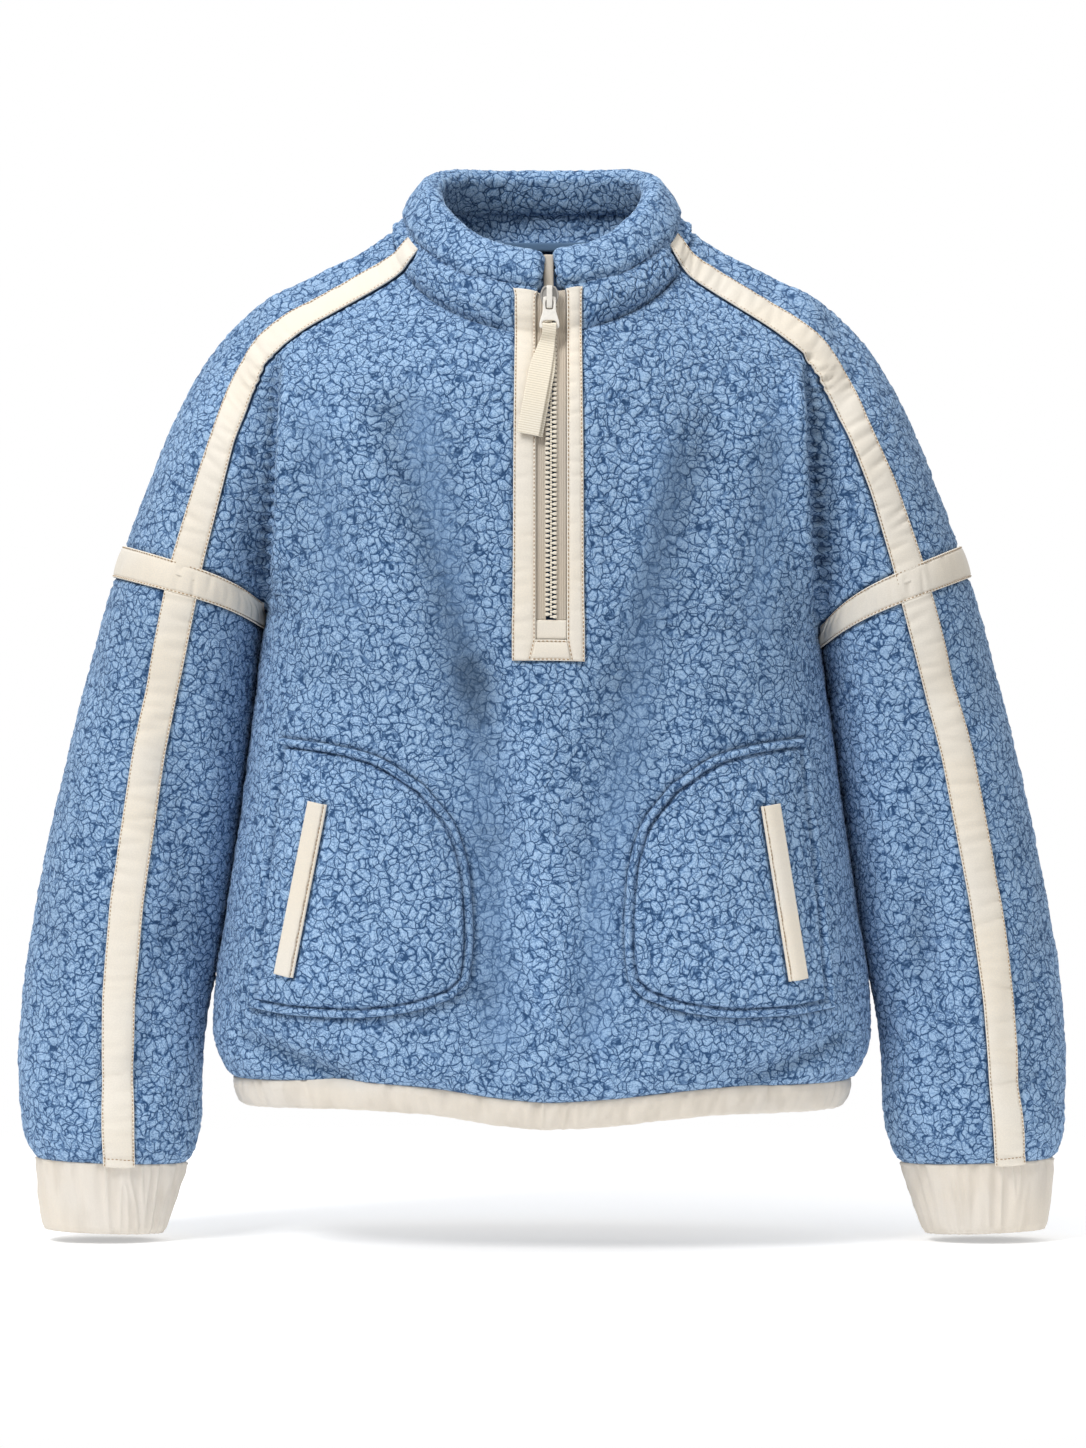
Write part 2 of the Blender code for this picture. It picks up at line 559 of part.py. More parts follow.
def make_material(name, finish):
    kind, colour, rough = finish
    material = bpy.data.materials.new(f"{kind}_{name}")
    material.use_nodes = True
    shader = material.node_tree.nodes["Principled BSDF"]
    shader.inputs["Base Color"].default_value = (*colour, 1)
    shader.inputs["Roughness"].default_value = rough
    shader.inputs["Metallic"].default_value = 0.0
    return material


def halves(quads, keys):
    """Two triangles for each cell, divided from the corner with the lowest key, so that layers
    made from the same points have the same facets and never cut into each other."""
    first = keys[quads].argmin(axis=1)
    turned = quads[np.arange(len(quads))[:, None], (first[:, None] + np.arange(4)) % 4]
    return np.concatenate([turned[:, [0, 1, 2]], turned[:, [0, 2, 3]]])


def wall(name, skin, quads, low, high, material, trim=SEAM_GAP / 2):
    """A solid layer of cloth over these cells, from low to high above the skin, trimmed all
    round so that it ends just short of its neighbours."""
    low, high = (np.broadcast_to(np.asarray(h, float), len(skin.points)) for h in (low, high))
    shift, edges = inward(skin.points, skin.normals, quads)
    base = skin.points + shift * trim
    used = np.unique(quads)
    place = np.full(len(skin.points), -1)
    place[used] = np.arange(len(used))
    outer = (base + skin.normals * high[:, None])[used]
    inner = (base + skin.normals * low[:, None])[used]
    top = place[halves(quads, skin.keys)]
    a, b = place[edges[:, 0]], place[edges[:, 1]]
    n = len(used)
    rim = np.stack([b, a, a + n, b + n], axis=1)
    below = 2 * int(skin.keys.max()) + 2
    rim_keys = np.concatenate([skin.keys[used], skin.keys[used] + below])
    faces = np.concatenate([top, top[:, ::-1] + n, halves(rim, rim_keys)])
    return add_object(name, np.concatenate([outer, inner]), faces, material)


# ---------------------------------------------------------------- the garment's skin
def build_skin(fold=True):
    skin = Skin()
    rings = [upper_ring(lambda s, f, k=k: stand_arc(k, s, f), 0.0) for k in STAND_ROWS]
    rings += [upper_ring(lambda s, f, u=share: yoke_arc(u, s, f), share) for share in YOKE_ROWS]
    skin.add("front_upper", [r[0] for r in rings])
    skin.add("back_upper", [r[1] for r in rings])

    levels = [PLACKET_FOOT_TOP_Z, PLACKET_FOOT_Z, *TORSO_ROWS_Z]
    torso = [torso_ring(z) for z in levels]
    inset = [torso_ring(TORSO_ROWS_Z[-1])[k] for k in (0, 1)]
    first, last = ARM_FRONT_CELLS[0] + CELLS["strip"], -(ARM_FRONT_CELLS[0] + CELLS["strip"])
    armpit_front = rings[-1][0][first:last]
    start = CELLS["arm_back"] + CELLS["strip"]
    armpit_back = rings[-1][1][start:-start]
    band = []
    for k in (0, 1):
        low = inset[k].copy()
        scale = 1 - HEM_BAND_IN / np.linalg.norm(low[:, :2], axis=1)
        low[:, :2] *= scale[:, None]
        low[:, 2] += HEM_BAND_Z - TORSO_ROWS_Z[-1]
        band.append(low)
    skin.add("front_lower", [armpit_front, *[t[0] for t in torso], band[0]])
    skin.add("back_lower", [armpit_back, *[t[1] for t in torso], band[1]])

    for side in (LEFT, RIGHT):
        name = SIDE_NAME[side]
        droop = ARMPIT_Z[side] - YOKE["front_z"][-1]
        tube = [sleeve_ring(SLEEVE, 0.0, side, droop)]
        tube += [sleeve_ring(SLEEVE, d, side, droop * max(0.0, 1 - d / 0.10)) for d in SLEEVE_ROWS]
        tube += [sleeve_ring(CUFF, d, side, 0.0) for d in CUFF_ROWS]
        skin.add(f"sleeve_{name}", tube)
        # The sleeve begins on the very points at which the yoke ends.
        yoke_front, yoke_back = rings[-1]
        arm = ARM_FRONT_CELLS[0] + 1
        if side == RIGHT:
            seam = np.concatenate([yoke_front[-arm - 1:], yoke_back[1:CELLS["arm_back"] + 2]])
        else:
            seam = np.concatenate([yoke_front[:arm + 1][::-1], yoke_back[::-1][1:CELLS["arm_back"] + 2]])
        skin.chunks[-1][: len(seam)] = seam

    blocks = skin.blocks
    all_quads = [
        quads_between(blocks["front_upper"]),
        quads_between(blocks["back_upper"]),
        quads_between(blocks["front_lower"]),
        quads_between(blocks["back_lower"]),
        quads_between(blocks["sleeve_left"], flip=True),
        quads_between(blocks["sleeve_right"]),
    ]
    skin.finish(np.concatenate(all_quads), fold)
    return skin


def start_scene():
    for obj in list(bpy.data.objects):
        bpy.data.objects.remove(obj, do_unlink=True)
    collection = bpy.data.collections.new(COLLECTION)
    bpy.context.scene.collection.children.link(collection)
    bpy.context.scene.collection.children.link(bpy.data.collections.new("cutters"))


NECK_ROW = len(STAND_ROWS)
ARMHOLE_ROW = NECK_ROW + len(YOKE_ROWS) - 1


def front_columns():
    """Column numbers of the lines that the front is cut along, in the upper and the lower block."""
    side = ARM_FRONT_CELLS[0] + CELLS["strip"]
    names = ("placket_left", "opening_left", "chain_left", "chain_right", "opening_right", "placket_right")
    upper = {name: side + CELLS["chest"] + k for k, name in enumerate(names)}
    lower = {name: CELLS["chest"] + k for k, name in enumerate(names)}
    return upper, lower


def block_quads(block, r0, r1, c0, c1, flip=False):
    """The cells between two rows and two columns."""
    return quads_between(block, (r0, r1 + 1), (c0, c1 + 1), flip)


def panels(skin):
    up, low = front_columns()
    fu, bu, fl, bl = (skin.blocks[k] for k in ("front_upper", "back_upper", "front_lower", "back_lower"))
    hem = len(TORSO_ROWS_Z) + 2
    last = fu.shape[1] - 1
    # The lower block's first row lies on the upper block's last, so its cells use those points.
    lower_front = fl.copy()
    first = ARM_FRONT_CELLS[0] + CELLS["strip"]
    lower_front[0] = fu[ARMHOLE_ROW, first:-first]
    lower_back = bl.copy()
    start = CELLS["arm_back"] + CELLS["strip"]
    lower_back[0] = bu[ARMHOLE_ROW, start:-start]

    front = [
        block_quads(fu, NECK_ROW, ARMHOLE_ROW, 0, up["opening_left"]),
        block_quads(fu, NECK_ROW, ARMHOLE_ROW, up["opening_right"], last),
        block_quads(lower_front, 0, 1, 0, low["opening_left"]),
        block_quads(lower_front, 0, 1, low["opening_right"], fl.shape[1] - 1),
        block_quads(lower_front, 1, hem, 0, fl.shape[1] - 1),
    ]
    wall("front_body", skin, np.concatenate(front), -WALL, 0.0, FLEECE)
    back = [
        block_quads(bu, NECK_ROW, ARMHOLE_ROW, 0, bu.shape[1] - 1),
        block_quads(lower_back, 0, hem, 0, bl.shape[1] - 1),
    ]
    wall("back_body", skin, np.concatenate(back), -WALL, 0.0, FLEECE)
    band = [block_quads(fl, hem, hem + 1, 0, fl.shape[1] - 1)]
    wall("hem_band_front", skin, np.concatenate(band), -BAND_WALL, 0.0, RIB)
    band = [block_quads(bl, hem, hem + 1, 0, bl.shape[1] - 1)]
    wall("hem_band_back", skin, np.concatenate(band), -BAND_WALL, 0.0, RIB)

    stand = stand_cells(fu, bu, up)
    wall("collar_stand", skin, stand, -COLLAR_WALL, 0.0, FLEECE, trim=SEAM_GAP)

    rows = SLEEVE_ROWS
    for side in (LEFT, RIGHT):
        name = SIDE_NAME[side]
        flip = side == LEFT
        block = skin.blocks[f"sleeve_{name}"]
        mid, end = ARM_FRONT_CELLS[0] + 1, block.shape[1] - 1
        low_edge = len(rows)
        for part, a, b in (("front", 0, mid), ("back", mid, end)):
            cells = block_quads(block, 0, low_edge, a, b, flip)
            wall(f"sleeve_{part}_{name}", skin, cells, -WALL, 0.0, FLEECE, trim=2 * SEAM_GAP)
        cuff = block[low_edge:].copy()
        cuff[:, -1] = cuff[:, 0]
        wall(f"cuff_{name}", skin, quads_between(cuff, flip=flip), -BAND_WALL, 0.0, RIB)
    return lower_front


def stand_cells(front, back, up):
    """The cells of the collar stand, from one side of the opening round the back to the other."""
    rows = slice(0, NECK_ROW + 1)
    right, left = front[rows, up["opening_right"]:], front[rows, 1 : up["opening_left"] + 1]
    return quads_between(np.concatenate([right, back[rows, 1:], left], axis=1))


def bands(skin, lower_front):
    """The strips, the armbands, the placket and the zip's tapes, made from the skin's own points."""
    up, low = front_columns()
    fu, bu = skin.blocks["front_upper"], skin.blocks["back_upper"]
    low_side, high_side = SEAM_GAP, SEAM_GAP + STRIP_THICK
    for side in (LEFT, RIGHT):
        name = SIDE_NAME[side]
        if side == LEFT:
            strip = np.stack([bu[:, -2], fu[:, 0], fu[:, 1]], axis=1)
        else:
            strip = np.stack([fu[:, -2], fu[:, -1], bu[:, 1]], axis=1)
        cells = quads_between(strip, (0, ARMHOLE_ROW))
        wall(f"shoulder_strip_{name}", skin, cells, low_side, high_side, TAPE)
        block = skin.blocks[f"sleeve_{name}"]
        arm = ARM_FRONT_CELLS[0]
        end = len(SLEEVE_ROWS)
        cells = block_quads(block, 1, end, arm, arm + 2, side == LEFT)
        wall(f"sleeve_strip_{name}", skin, cells, low_side, high_side, TAPE)
        # The armband lies over the armhole seam, open where body and sleeve meet under the arm.
        over, behind = fu[ARMHOLE_ROW - 1], bu[ARMHOLE_ROW - 1]
        if side == LEFT:
            over, behind = over[::-1], behind[::-1]
        above = np.concatenate([over[-arm - 1 : -1], over[-1:], behind[1 : CELLS["arm_back"] + 1]])
        ring = np.stack([above, block[0, 1:-1], block[1, 1:-1]])
        cells = quads_between(ring, flip=side == LEFT)
        wall(f"armband_{name}", skin, cells, low_side + SEAM_GAP, high_side + SEAM_GAP, TAPE)

    above = fu[: ARMHOLE_ROW + 1, up["placket_left"] : up["placket_right"] + 1]
    below = lower_front[1:3, low["placket_left"] : low["placket_right"] + 1]
    middle = np.concatenate([above, below])
    rows = len(middle)
    wall("placket_left", skin, quads_between(middle[:, :2]), low_side, high_side, TAPE)
    wall("placket_right", skin, quads_between(middle[:, 4:]), low_side, high_side, TAPE)
    wall("placket_foot", skin, quads_between(middle[rows - 2:, 1:5]), low_side, high_side, TAPE)
    wall("zip_tape_left", skin, quads_between(middle[: rows - 2, 1:3]), -0.0022, -0.0008, GUARD)
    wall("zip_tape_right", skin, quads_between(middle[: rows - 2, 3:5]), -0.0022, -0.0008, GUARD)
    wall("zip_chain", skin, quads_between(middle[: rows - 2, 2:4]), -0.0022, 0.0012, PLASTIC)
    wall("zip_end_patch", skin, quads_between(middle[rows - 3: rows - 1, 1:5]), -0.0022, 0.0, TAPE)

    # A smooth tape inside covers the neck seam round the back.
    tape = bu[NECK_ROW - 1: NECK_ROW + 1]
    high_tape = -COLLAR_WALL - 4 * SEAM_GAP
    wall("neck_tape", skin, quads_between(tape), high_tape - NECK_TAPE_THICK, high_tape, LINING)


# ---------------------------------------------------------------- collar roll
ROLL_STATIONS, ROLL_SIDES = 34, 12


def roll_point(angle):
    """Lower and upper line of the roll at an angle from the middle of the front, in degrees,
    positive to the right."""
    turn = abs(angle)
    side = 1 if angle >= 0 else -1
    points = []
    for sizes, heights in ((ROLL_LOW, "low_z"), (ROLL_RIM, "rim_z")):
        depth = sizes["front"] if turn <= 90 else sizes["back"]
        a = math.radians(turn)
        z = float(smooth(COLLAR["angle"], COLLAR[heights], turn))
        points.append(np.array([side * sizes["half_width"] * math.sin(a), -depth * math.cos(a), z]))
    return points


def collar_roll():
    """A fat band that is round at its rim and at its lower edge, open at the middle of the front."""
    first = math.degrees(math.asin((ROLL_GAP[1] + 0.003) / ROLL_RIM["half_width"]))
    last = 360 + math.degrees(math.asin((ROLL_GAP[0] - 0.003) / ROLL_RIM["half_width"]))
    rings = []
    angles = np.linspace(first, last, ROLL_STATIONS)
    stations = [angles[0], *angles, angles[-1]]
    for i, angle in enumerate(stations):
        turned = angle if angle <= 180 else angle - 360
        low, rim = roll_point(turned)
        ahead = roll_point(turned + 1.0 if turned + 1 <= 180 else turned - 359)[0]
        along_it = ahead - low
        along_it /= np.linalg.norm(along_it)
        up = rim - low
        up -= along_it * np.dot(up, along_it)
        tall = np.linalg.norm(up)
        up /= tall
        out = np.cross(along_it, up)
        end = i in (0, len(stations) - 1)
        radius = ROLL * (0.62 if end else 1.0)
        push = 0.0
        if end:
            push = -0.003 if i == 0 else 0.003
        ring = []
        for k in range(ROLL_SIDES):
            a = 2 * math.pi * (k + 0.5) / ROLL_SIDES
            centre = rim if math.sin(a) > 0 else low
            if end:
                centre = centre + (low + rim - 2 * centre) * 0.12
            ring.append(centre + along_it * push + radius * (out * math.cos(a) + up * math.sin(a)))
        rings.append(ring)
    rings = np.array(rings)
    count = len(rings)
    index = np.arange(count * ROLL_SIDES).reshape(count, ROLL_SIDES)
    closed = np.concatenate([index, index[:, :1]], axis=1)
    faces = [list(q) for q in quads_between(closed)]
    faces += [list(index[0]), list(index[-1][::-1])]
    obj = add_object("collar_roll", rings.reshape(-1, 3), faces, FLEECE)
    edit = bmesh.new()
    edit.from_mesh(obj.data)
    bmesh.ops.recalc_face_normals(edit, faces=edit.faces)
    edit.to_mesh(obj.data)
    edit.free()


# ---------------------------------------------------------------- pockets and welts
class Patch:
    """A small grid of points with its own normals, for a piece that lies on another."""

    def __init__(self, places):
        rows, columns = places.shape[:2]
        normals = np.cross(np.gradient(places, axis=1), np.gradient(places, axis=0))
        normals *= -np.sign(normals[..., 1:2])
        normals /= np.linalg.norm(normals, axis=2, keepdims=True)
        self.points, self.normals = places.reshape(-1, 3), normals.reshape(-1, 3)
        self.block = np.arange(rows * columns).reshape(rows, columns)
        self.keys = self.block.reshape(-1)

    def quads(self):
        """The cells, turned so that they face the same way as the normals."""
        cells = quads_between(self.block)
        corner = self.points[cells[0]]
        facing = np.cross(corner[2] - corner[0], corner[3] - corner[1])
        return cells if np.dot(facing, self.normals[cells[0, 0]]) > 0 else cells[:, ::-1]


def settle(name, flat):
    """Where points seen from the front lie on a piece."""
    bpy.context.view_layer.update()
    tree = BVHTree.FromObject(bpy.data.objects[name], bpy.context.evaluated_depsgraph_get())
    places = np.zeros((*flat.shape[:2], 3))
    for i, j in np.ndindex(flat.shape[:2]):
        hit, _, _, _ = tree.ray_cast(Vector((flat[i, j, 0], -1.0, flat[i, j, 1])), Vector((0, 1, 0)))
        places[i, j] = hit
    return places


def edge_curve(points, count):
    """Evenly spaced points on a smooth curve through the given ones."""
    points = np.array(points, float)
    t = along(points)
    fine = np.linspace(0, t[-1], 200)
    curve = np.stack([smooth(t, points[:, k], fine) for k in range(2)], axis=1)
    run = along(curve)
    at = np.linspace(0, run[-1], count)
    return np.stack([np.interp(at, run, curve[:, k]) for k in range(2)], axis=1)


def pocket_outline(side):
    """The closed outline of a pocket seen from the front, as x and z."""
    top, inner = edge_curve(POCKET_TOP, 9), edge_curve(POCKET_INNER, 14)
    bottom, outer = edge_curve(POCKET_BOTTOM, 10)[::-1], edge_curve(POCKET_OUTER, 8)[::-1]
    line = np.concatenate([top, inner[1:], bottom[1:], outer[1:-1]])
    line[:, 0] = side * (POCKET_OUTER[1][0] - (POCKET_OUTER[1][0] - line[:, 0]) * POCKET_REACH[side])
    return line


def depth_inside(line, points):
    """How far points seen from the front lie inside a closed outline, or 0 outside it."""
    a, b = line, np.roll(line, -1, axis=0)
    flat = points[:, None, [0, 2]]
    share = np.clip(((flat - a) * (b - a)).sum(2) / ((b - a) ** 2).sum(1), 0, 1)
    away = np.linalg.norm(flat - (a + share[..., None] * (b - a)), axis=2).min(1)
    over = (a[:, 1] > flat[..., 1]) != (b[:, 1] > flat[..., 1])
    rise = np.where(b[:, 1] == a[:, 1], 1.0, b[:, 1] - a[:, 1])
    left_of = flat[..., 0] < a[:, 0] + (flat[..., 1] - a[:, 1]) / rise * (b[:, 0] - a[:, 0])
    return np.where((over & left_of).sum(1) % 2 == 1, away, 0.0)


def outline_cutter(name, line):
    """A prism along Y with this outline, which a piece is cut with and which is not built."""
    edit = bmesh.new()
    face = edit.faces.new([edit.verts.new((x, -0.30, z)) for x, z in line])
    grown = bmesh.ops.extrude_face_region(edit, geom=[face])["geom"]
    moved = [v for v in grown if isinstance(v, bmesh.types.BMVert)]
    bmesh.ops.translate(edit, verts=moved, vec=(0, 0.295, 0))
    bmesh.ops.recalc_face_normals(edit, faces=edit.faces)
    mesh = bpy.data.meshes.new(name)
    edit.to_mesh(mesh)
    edit.free()
    cutter = bpy.data.objects.new(name, mesh)
    cutter.hide_render = True
    cutter.display_type = "WIRE"
    bpy.data.collections["cutters"].objects.link(cutter)
    return cutter


def pockets(skin, lower_front):
    """A pocket is a layer over the front panel, cut to its outline and fuller in its middle."""
    _, low = front_columns()
    for side in (LEFT, RIGHT):
        name = SIDE_NAME[side]
        line = pocket_outline(side)
        full = ease(depth_inside(line, skin.points) / 0.030)
        high = POCKET_LIFT + POCKET_THICK + POCKET_PUFF * full
        last = lower_front.shape[1] - 1
        columns = (0, low["placket_left"]) if side == LEFT else (low["placket_right"], last)
        cells = block_quads(lower_front, 2, len(TORSO_ROWS_Z) + 1, *columns)
        pocket = wall(f"pocket_{name}", skin, cells, POCKET_LIFT, high, FLEECE, trim=0.0)
        cut = pocket.modifiers.new("outline", "BOOLEAN")
        cut.operation = "INTERSECT"
        cut.object = outline_cutter(f"pocket_{name}_outline", line)

        top, bottom = np.array(WELT[side])
        run = np.linspace(0, 1, WELT_CELLS + 1)[:, None] * (bottom - top) + top
        lean = (bottom - top) / np.linalg.norm(bottom - top)
        across = np.array([-lean[1], lean[0]])
        flat = np.stack([run + across * WELT_WIDTH * k for k in (-0.5, 0.0, 0.5)], axis=1)
        patch = Patch(settle(pocket.name, flat))
        wall(f"welt_{name}", patch, patch.quads(), WELT_LIFT, WELT_LIFT + WELT_THICK, TAPE, trim=0.0)


# ---------------------------------------------------------------- zip guard
GUARD_X = (0.00175, 0.00755)
GUARD_LINE = (
    (-0.0975, -0.0700), (-0.0955, -0.0560), (-0.0925, -0.0430), (-0.0900, -0.0340), (-0.0860, -0.0225),
    (-0.0835, -0.0150),
)
GUARD_THICK = 0.0014


def guard():
    """A narrow strip behind the zip that stands up between the two ends of the collar roll."""
    places = np.array([[(x, y, z) for x in np.linspace(*GUARD_X, 3)] for y, z in GUARD_LINE])
    patch = Patch(places)
    wall("zip_guard", patch, patch.quads(), -GUARD_THICK, 0.0, GUARD, trim=0.0)


# ---------------------------------------------------------------- slider, pull tab and ribbon
SLIDER_X, SLIDER_TOP_Z, SLIDER_FOOT_Z = 0.0052, -0.0385, -0.0555
SLIDER_WIDTH, SLIDER_THICK = 0.0125, 0.0022
SLIDER_LIFT = 0.0016  # in front of the skin, just clear of the chain
SLIDER_EDGE = 0.0007  # how far its edges are rounded
# The bail is a bar this far in front of the plate. BAIL_Z: its foot and its top, from the pin.
BAIL_WIDTH, BAIL_THICK, BAIL_ROOM, BAIL_INTO_PLATE = 0.0040, 0.0013, 0.0028, 0.0004
BAIL_Z, BAIL_FOOT_HIGH = (-0.0075, 0.0088), 0.0016
PIN_Z = -0.0475
TAB_THICK, TAB_LENGTH, TAB_TILT = 0.0016, 0.0222, 12.0
# The tab's half width at distances below its pin.
TAB = table(
    "down half",
    (-0.0010, 0.0038),
    (0.0002, 0.0045),
    (0.0080, 0.0045),
    (0.0110, 0.0049),
    (0.0150, 0.0062),
    (0.0185, 0.0070),
    (0.0212, 0.0070),
    (0.0222, 0.0060),
)
# Its two holes: down from the pin to their top and foot, and their half widths there.
WINDOW = table("down half", (0.0008, 0.0028), (0.0078, 0.0028), (0.0086, 0.0018))
EYE = table("down half", (0.0163, 0.0046), (0.0202, 0.0057))
TAB_BAR = 0.0212  # from the pin to the middle of the bar that the ribbon hangs from
RIBBON_THICK, RIBBON_APART, RIBBON_LENGTH, RIBBON_LEAN = 0.0011, 0.0003, 0.0760, 10.7
RIBBON_TOP, RIBBON_FOOT = 0.0098, 0.0180
RIBBON_CLEAR = 0.0006  # between the ribbon and the bar it goes round, and above the placket
RIBBON_LOOP = 0.0023  # how high the ribbon's fold stands over the bar's middle


def box(name, low, high, bevel, material):
    """A box between two corners, with rounded edges."""
    low, high = Vector(low), Vector(high)
    edit = bmesh.new()
    bmesh.ops.create_cube(edit, size=1.0)
    bmesh.ops.scale(edit, verts=edit.verts, vec=high - low)
    mesh = bpy.data.meshes.new(name)
    edit.to_mesh(mesh)
    edit.free()
    obj = add_mesh(name, mesh, material)
    obj.location = (low + high) / 2
    rounding = obj.modifiers.new("rounding", "BEVEL")
    rounding.width, rounding.segments = bevel, 2
    return obj


def middle_depth(skin, z):
    """How far forward the middle of the front is at this height."""
    up, _ = front_columns()
    line = skin.points[skin.blocks["front_upper"][:, up["chain_left"]]]
    return np.interp(z, line[::-1, 2], line[::-1, 1])


def slider(skin):
    """The slider's front plate, and its bail, which is a bar on two feet."""
    middle_z = (SLIDER_TOP_Z + SLIDER_FOOT_Z) / 2
    face_y = float(min(middle_depth(skin, SLIDER_TOP_Z), middle_depth(skin, SLIDER_FOOT_Z))) - SLIDER_LIFT
    half = SLIDER_WIDTH / 2
    plate = box(
        "zip_slider",
        (SLIDER_X - half, face_y - SLIDER_THICK, SLIDER_FOOT_Z),
        (SLIDER_X + half, face_y, SLIDER_TOP_Z),
        SLIDER_EDGE,
        ENAMEL,
    )
    front_y = face_y - SLIDER_THICK
    foot, top = BAIL_Z
    outer_y, inner_y = -BAIL_ROOM - BAIL_THICK, -BAIL_ROOM
    arch = [
        (BAIL_INTO_PLATE, foot), (outer_y, foot), (outer_y, top), (BAIL_INTO_PLATE, top),
        (BAIL_INTO_PLATE, top - BAIL_FOOT_HIGH), (inner_y, top - BAIL_FOOT_HIGH),
        (inner_y, foot + BAIL_FOOT_HIGH), (BAIL_INTO_PLATE, foot + BAIL_FOOT_HIGH),
    ]
    edit = bmesh.new()
    ring = [edit.verts.new((SLIDER_X - BAIL_WIDTH / 2, front_y + y, PIN_Z + z)) for y, z in arch]
    grown = bmesh.ops.extrude_face_region(edit, geom=[edit.faces.new(ring)])["geom"]
    moved = [v for v in grown if isinstance(v, bmesh.types.BMVert)]
    bmesh.ops.translate(edit, verts=moved, vec=(BAIL_WIDTH, 0, 0))
    bmesh.ops.recalc_face_normals(edit, faces=edit.faces)
    mesh = bpy.data.meshes.new("bail")
    edit.to_mesh(mesh)
    edit.free()
    bail = bpy.data.objects.new("bail", mesh)
    bail.hide_render = True
    bail.display_type = "WIRE"
    bpy.data.collections["cutters"].objects.link(bail)
    join = plate.modifiers.new("bail", "BOOLEAN")
    join.operation = "UNION"
    join.object = bail
    return front_y - BAIL_ROOM / 2


def both_sides(half):
    """A closed outline from half widths down its length, as x and z."""
    down = [(w, -d) for d, w in zip(half["down"], half["half"], strict=True)]
    return down + [(-w, z) for w, z in down[::-1]]


def add_loop(curve, points):
    spline = curve.splines.new("POLY")
    spline.points.add(len(points) - 1)
    for place, (x, z) in zip(spline.points, points, strict=True):
        place.co = (x, z, 0, 1)
    spline.use_cyclic_u = True


def pull(skin, pin_y):
    """The tab, a plate that hangs by the bar over its upper window, and the ribbon through its eye."""
    pin = Vector((SLIDER_X, pin_y, PIN_Z))
    curve = bpy.data.curves.new("tab", "CURVE")
    curve.dimensions, curve.fill_mode, curve.extrude = "2D", "BOTH", TAB_THICK / 2
    for outline in (TAB, WINDOW, EYE):
        add_loop(curve, both_sides(outline))
    flat = bpy.data.objects.new("tab", curve)
    bpy.context.scene.collection.objects.link(flat)
    bpy.context.view_layer.update()
    mesh = bpy.data.meshes.new_from_object(flat.evaluated_get(bpy.context.evaluated_depsgraph_get()))
    bpy.data.objects.remove(flat, do_unlink=True)
    edit = bmesh.new()
    edit.from_mesh(mesh)
    bmesh.ops.remove_doubles(edit, verts=edit.verts, dist=1e-5)
    upright = Matrix.Rotation(math.radians(90 - TAB_TILT), 3, "X")
    bmesh.ops.rotate(edit, verts=edit.verts, cent=(0, 0, 0), matrix=upright)
    bmesh.ops.recalc_face_normals(edit, faces=edit.faces)
    edit.to_mesh(mesh)
    edit.free()
    tab = add_mesh("zip_pull_tab", mesh, ENAMEL)
    tab.location = pin

    # The ribbon is folded over the foot of the tab, and follows the front below it.
    tilt = math.radians(TAB_TILT)
    bar_y, bar_z = pin.y - math.sin(tilt) * TAB_BAR, pin.z - math.cos(tilt) * TAB_BAR
    reach = TAB_THICK / 2 + RIBBON_CLEAR + RIBBON_THICK / 2
    run = np.linspace(0.0034, RIBBON_LENGTH, 10)
    lying = middle_depth(skin, bar_z - run) - SEAM_GAP - STRIP_THICK - RIBBON_CLEAR - RIBBON_THICK / 2
    settle_in = ease((run - 0.002) / 0.012)
    apart = RIBBON_THICK + RIBBON_APART
    back_y = np.minimum((bar_y + reach) * (1 - settle_in) + lying * settle_in, lying)
    front_y = (bar_y - reach) * (1 - settle_in) + (lying - apart) * settle_in
    front_y = np.minimum(front_y, back_y - apart)
    over = [
        (bar_y - reach, 0.0), (bar_y - reach * 0.55, -RIBBON_LOOP),
        (bar_y + reach * 0.55, -RIBBON_LOOP), (bar_y + reach, 0.0),
    ]
    path = [*zip(front_y[::-1], run[::-1], strict=True), *over, *zip(back_y, run, strict=True)]
    grid = np.zeros((len(path), 3, 3))
    lean = math.tan(math.radians(RIBBON_LEAN))
    for i, (y, down) in enumerate(path):
        below = max(down - 0.003, 0)
        wide = RIBBON_TOP + (RIBBON_FOOT - RIBBON_TOP) * float(ease(below / 0.030))
        turn = lean * float(ease(below / 0.012))
        for j, across in enumerate((-0.5, 0.0, 0.5)):
            x = SLIDER_X + across * wide - below * lean
            grid[i, j] = (x, y, bar_z - down - across * wide * turn)
    grid -= np.array(pin)
    patch = Patch(grid)
    patch.normals = np.cross(np.gradient(grid, axis=0), np.gradient(grid, axis=1)).reshape(-1, 3)
    patch.normals /= np.linalg.norm(patch.normals, axis=1, keepdims=True)
    half = RIBBON_THICK / 2
    ribbon = wall("pull_ribbon", patch, patch.quads(), -half, half, RIBBON, trim=0.0)
    ribbon.location = pin


start_scene()
garment = build_skin()
front_block = panels(garment)
bands(garment, front_block)
collar_roll()
pockets(garment, front_block)
guard()
pull(garment, slider(garment))
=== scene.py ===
"""The looks of a half-zip pullover of sherpa fleece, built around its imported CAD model.

The garment's form is worked out as in the CAD source: rings round the neck for the yoke, rings down
the torso, and rings down the sleeves. Here the rings are close together, and every panel gets a pile
of curly clumps, its creases, its stitching and its own procedural material.
Metres, +X to the right as one looks at the front, the front faces -Y, +Z up.
"""

import math

import bmesh
import bpy
import numpy as np
from mathutils import Matrix, Vector
from mathutils.bvhtree import BVHTree
from mathutils.kdtree import KDTree


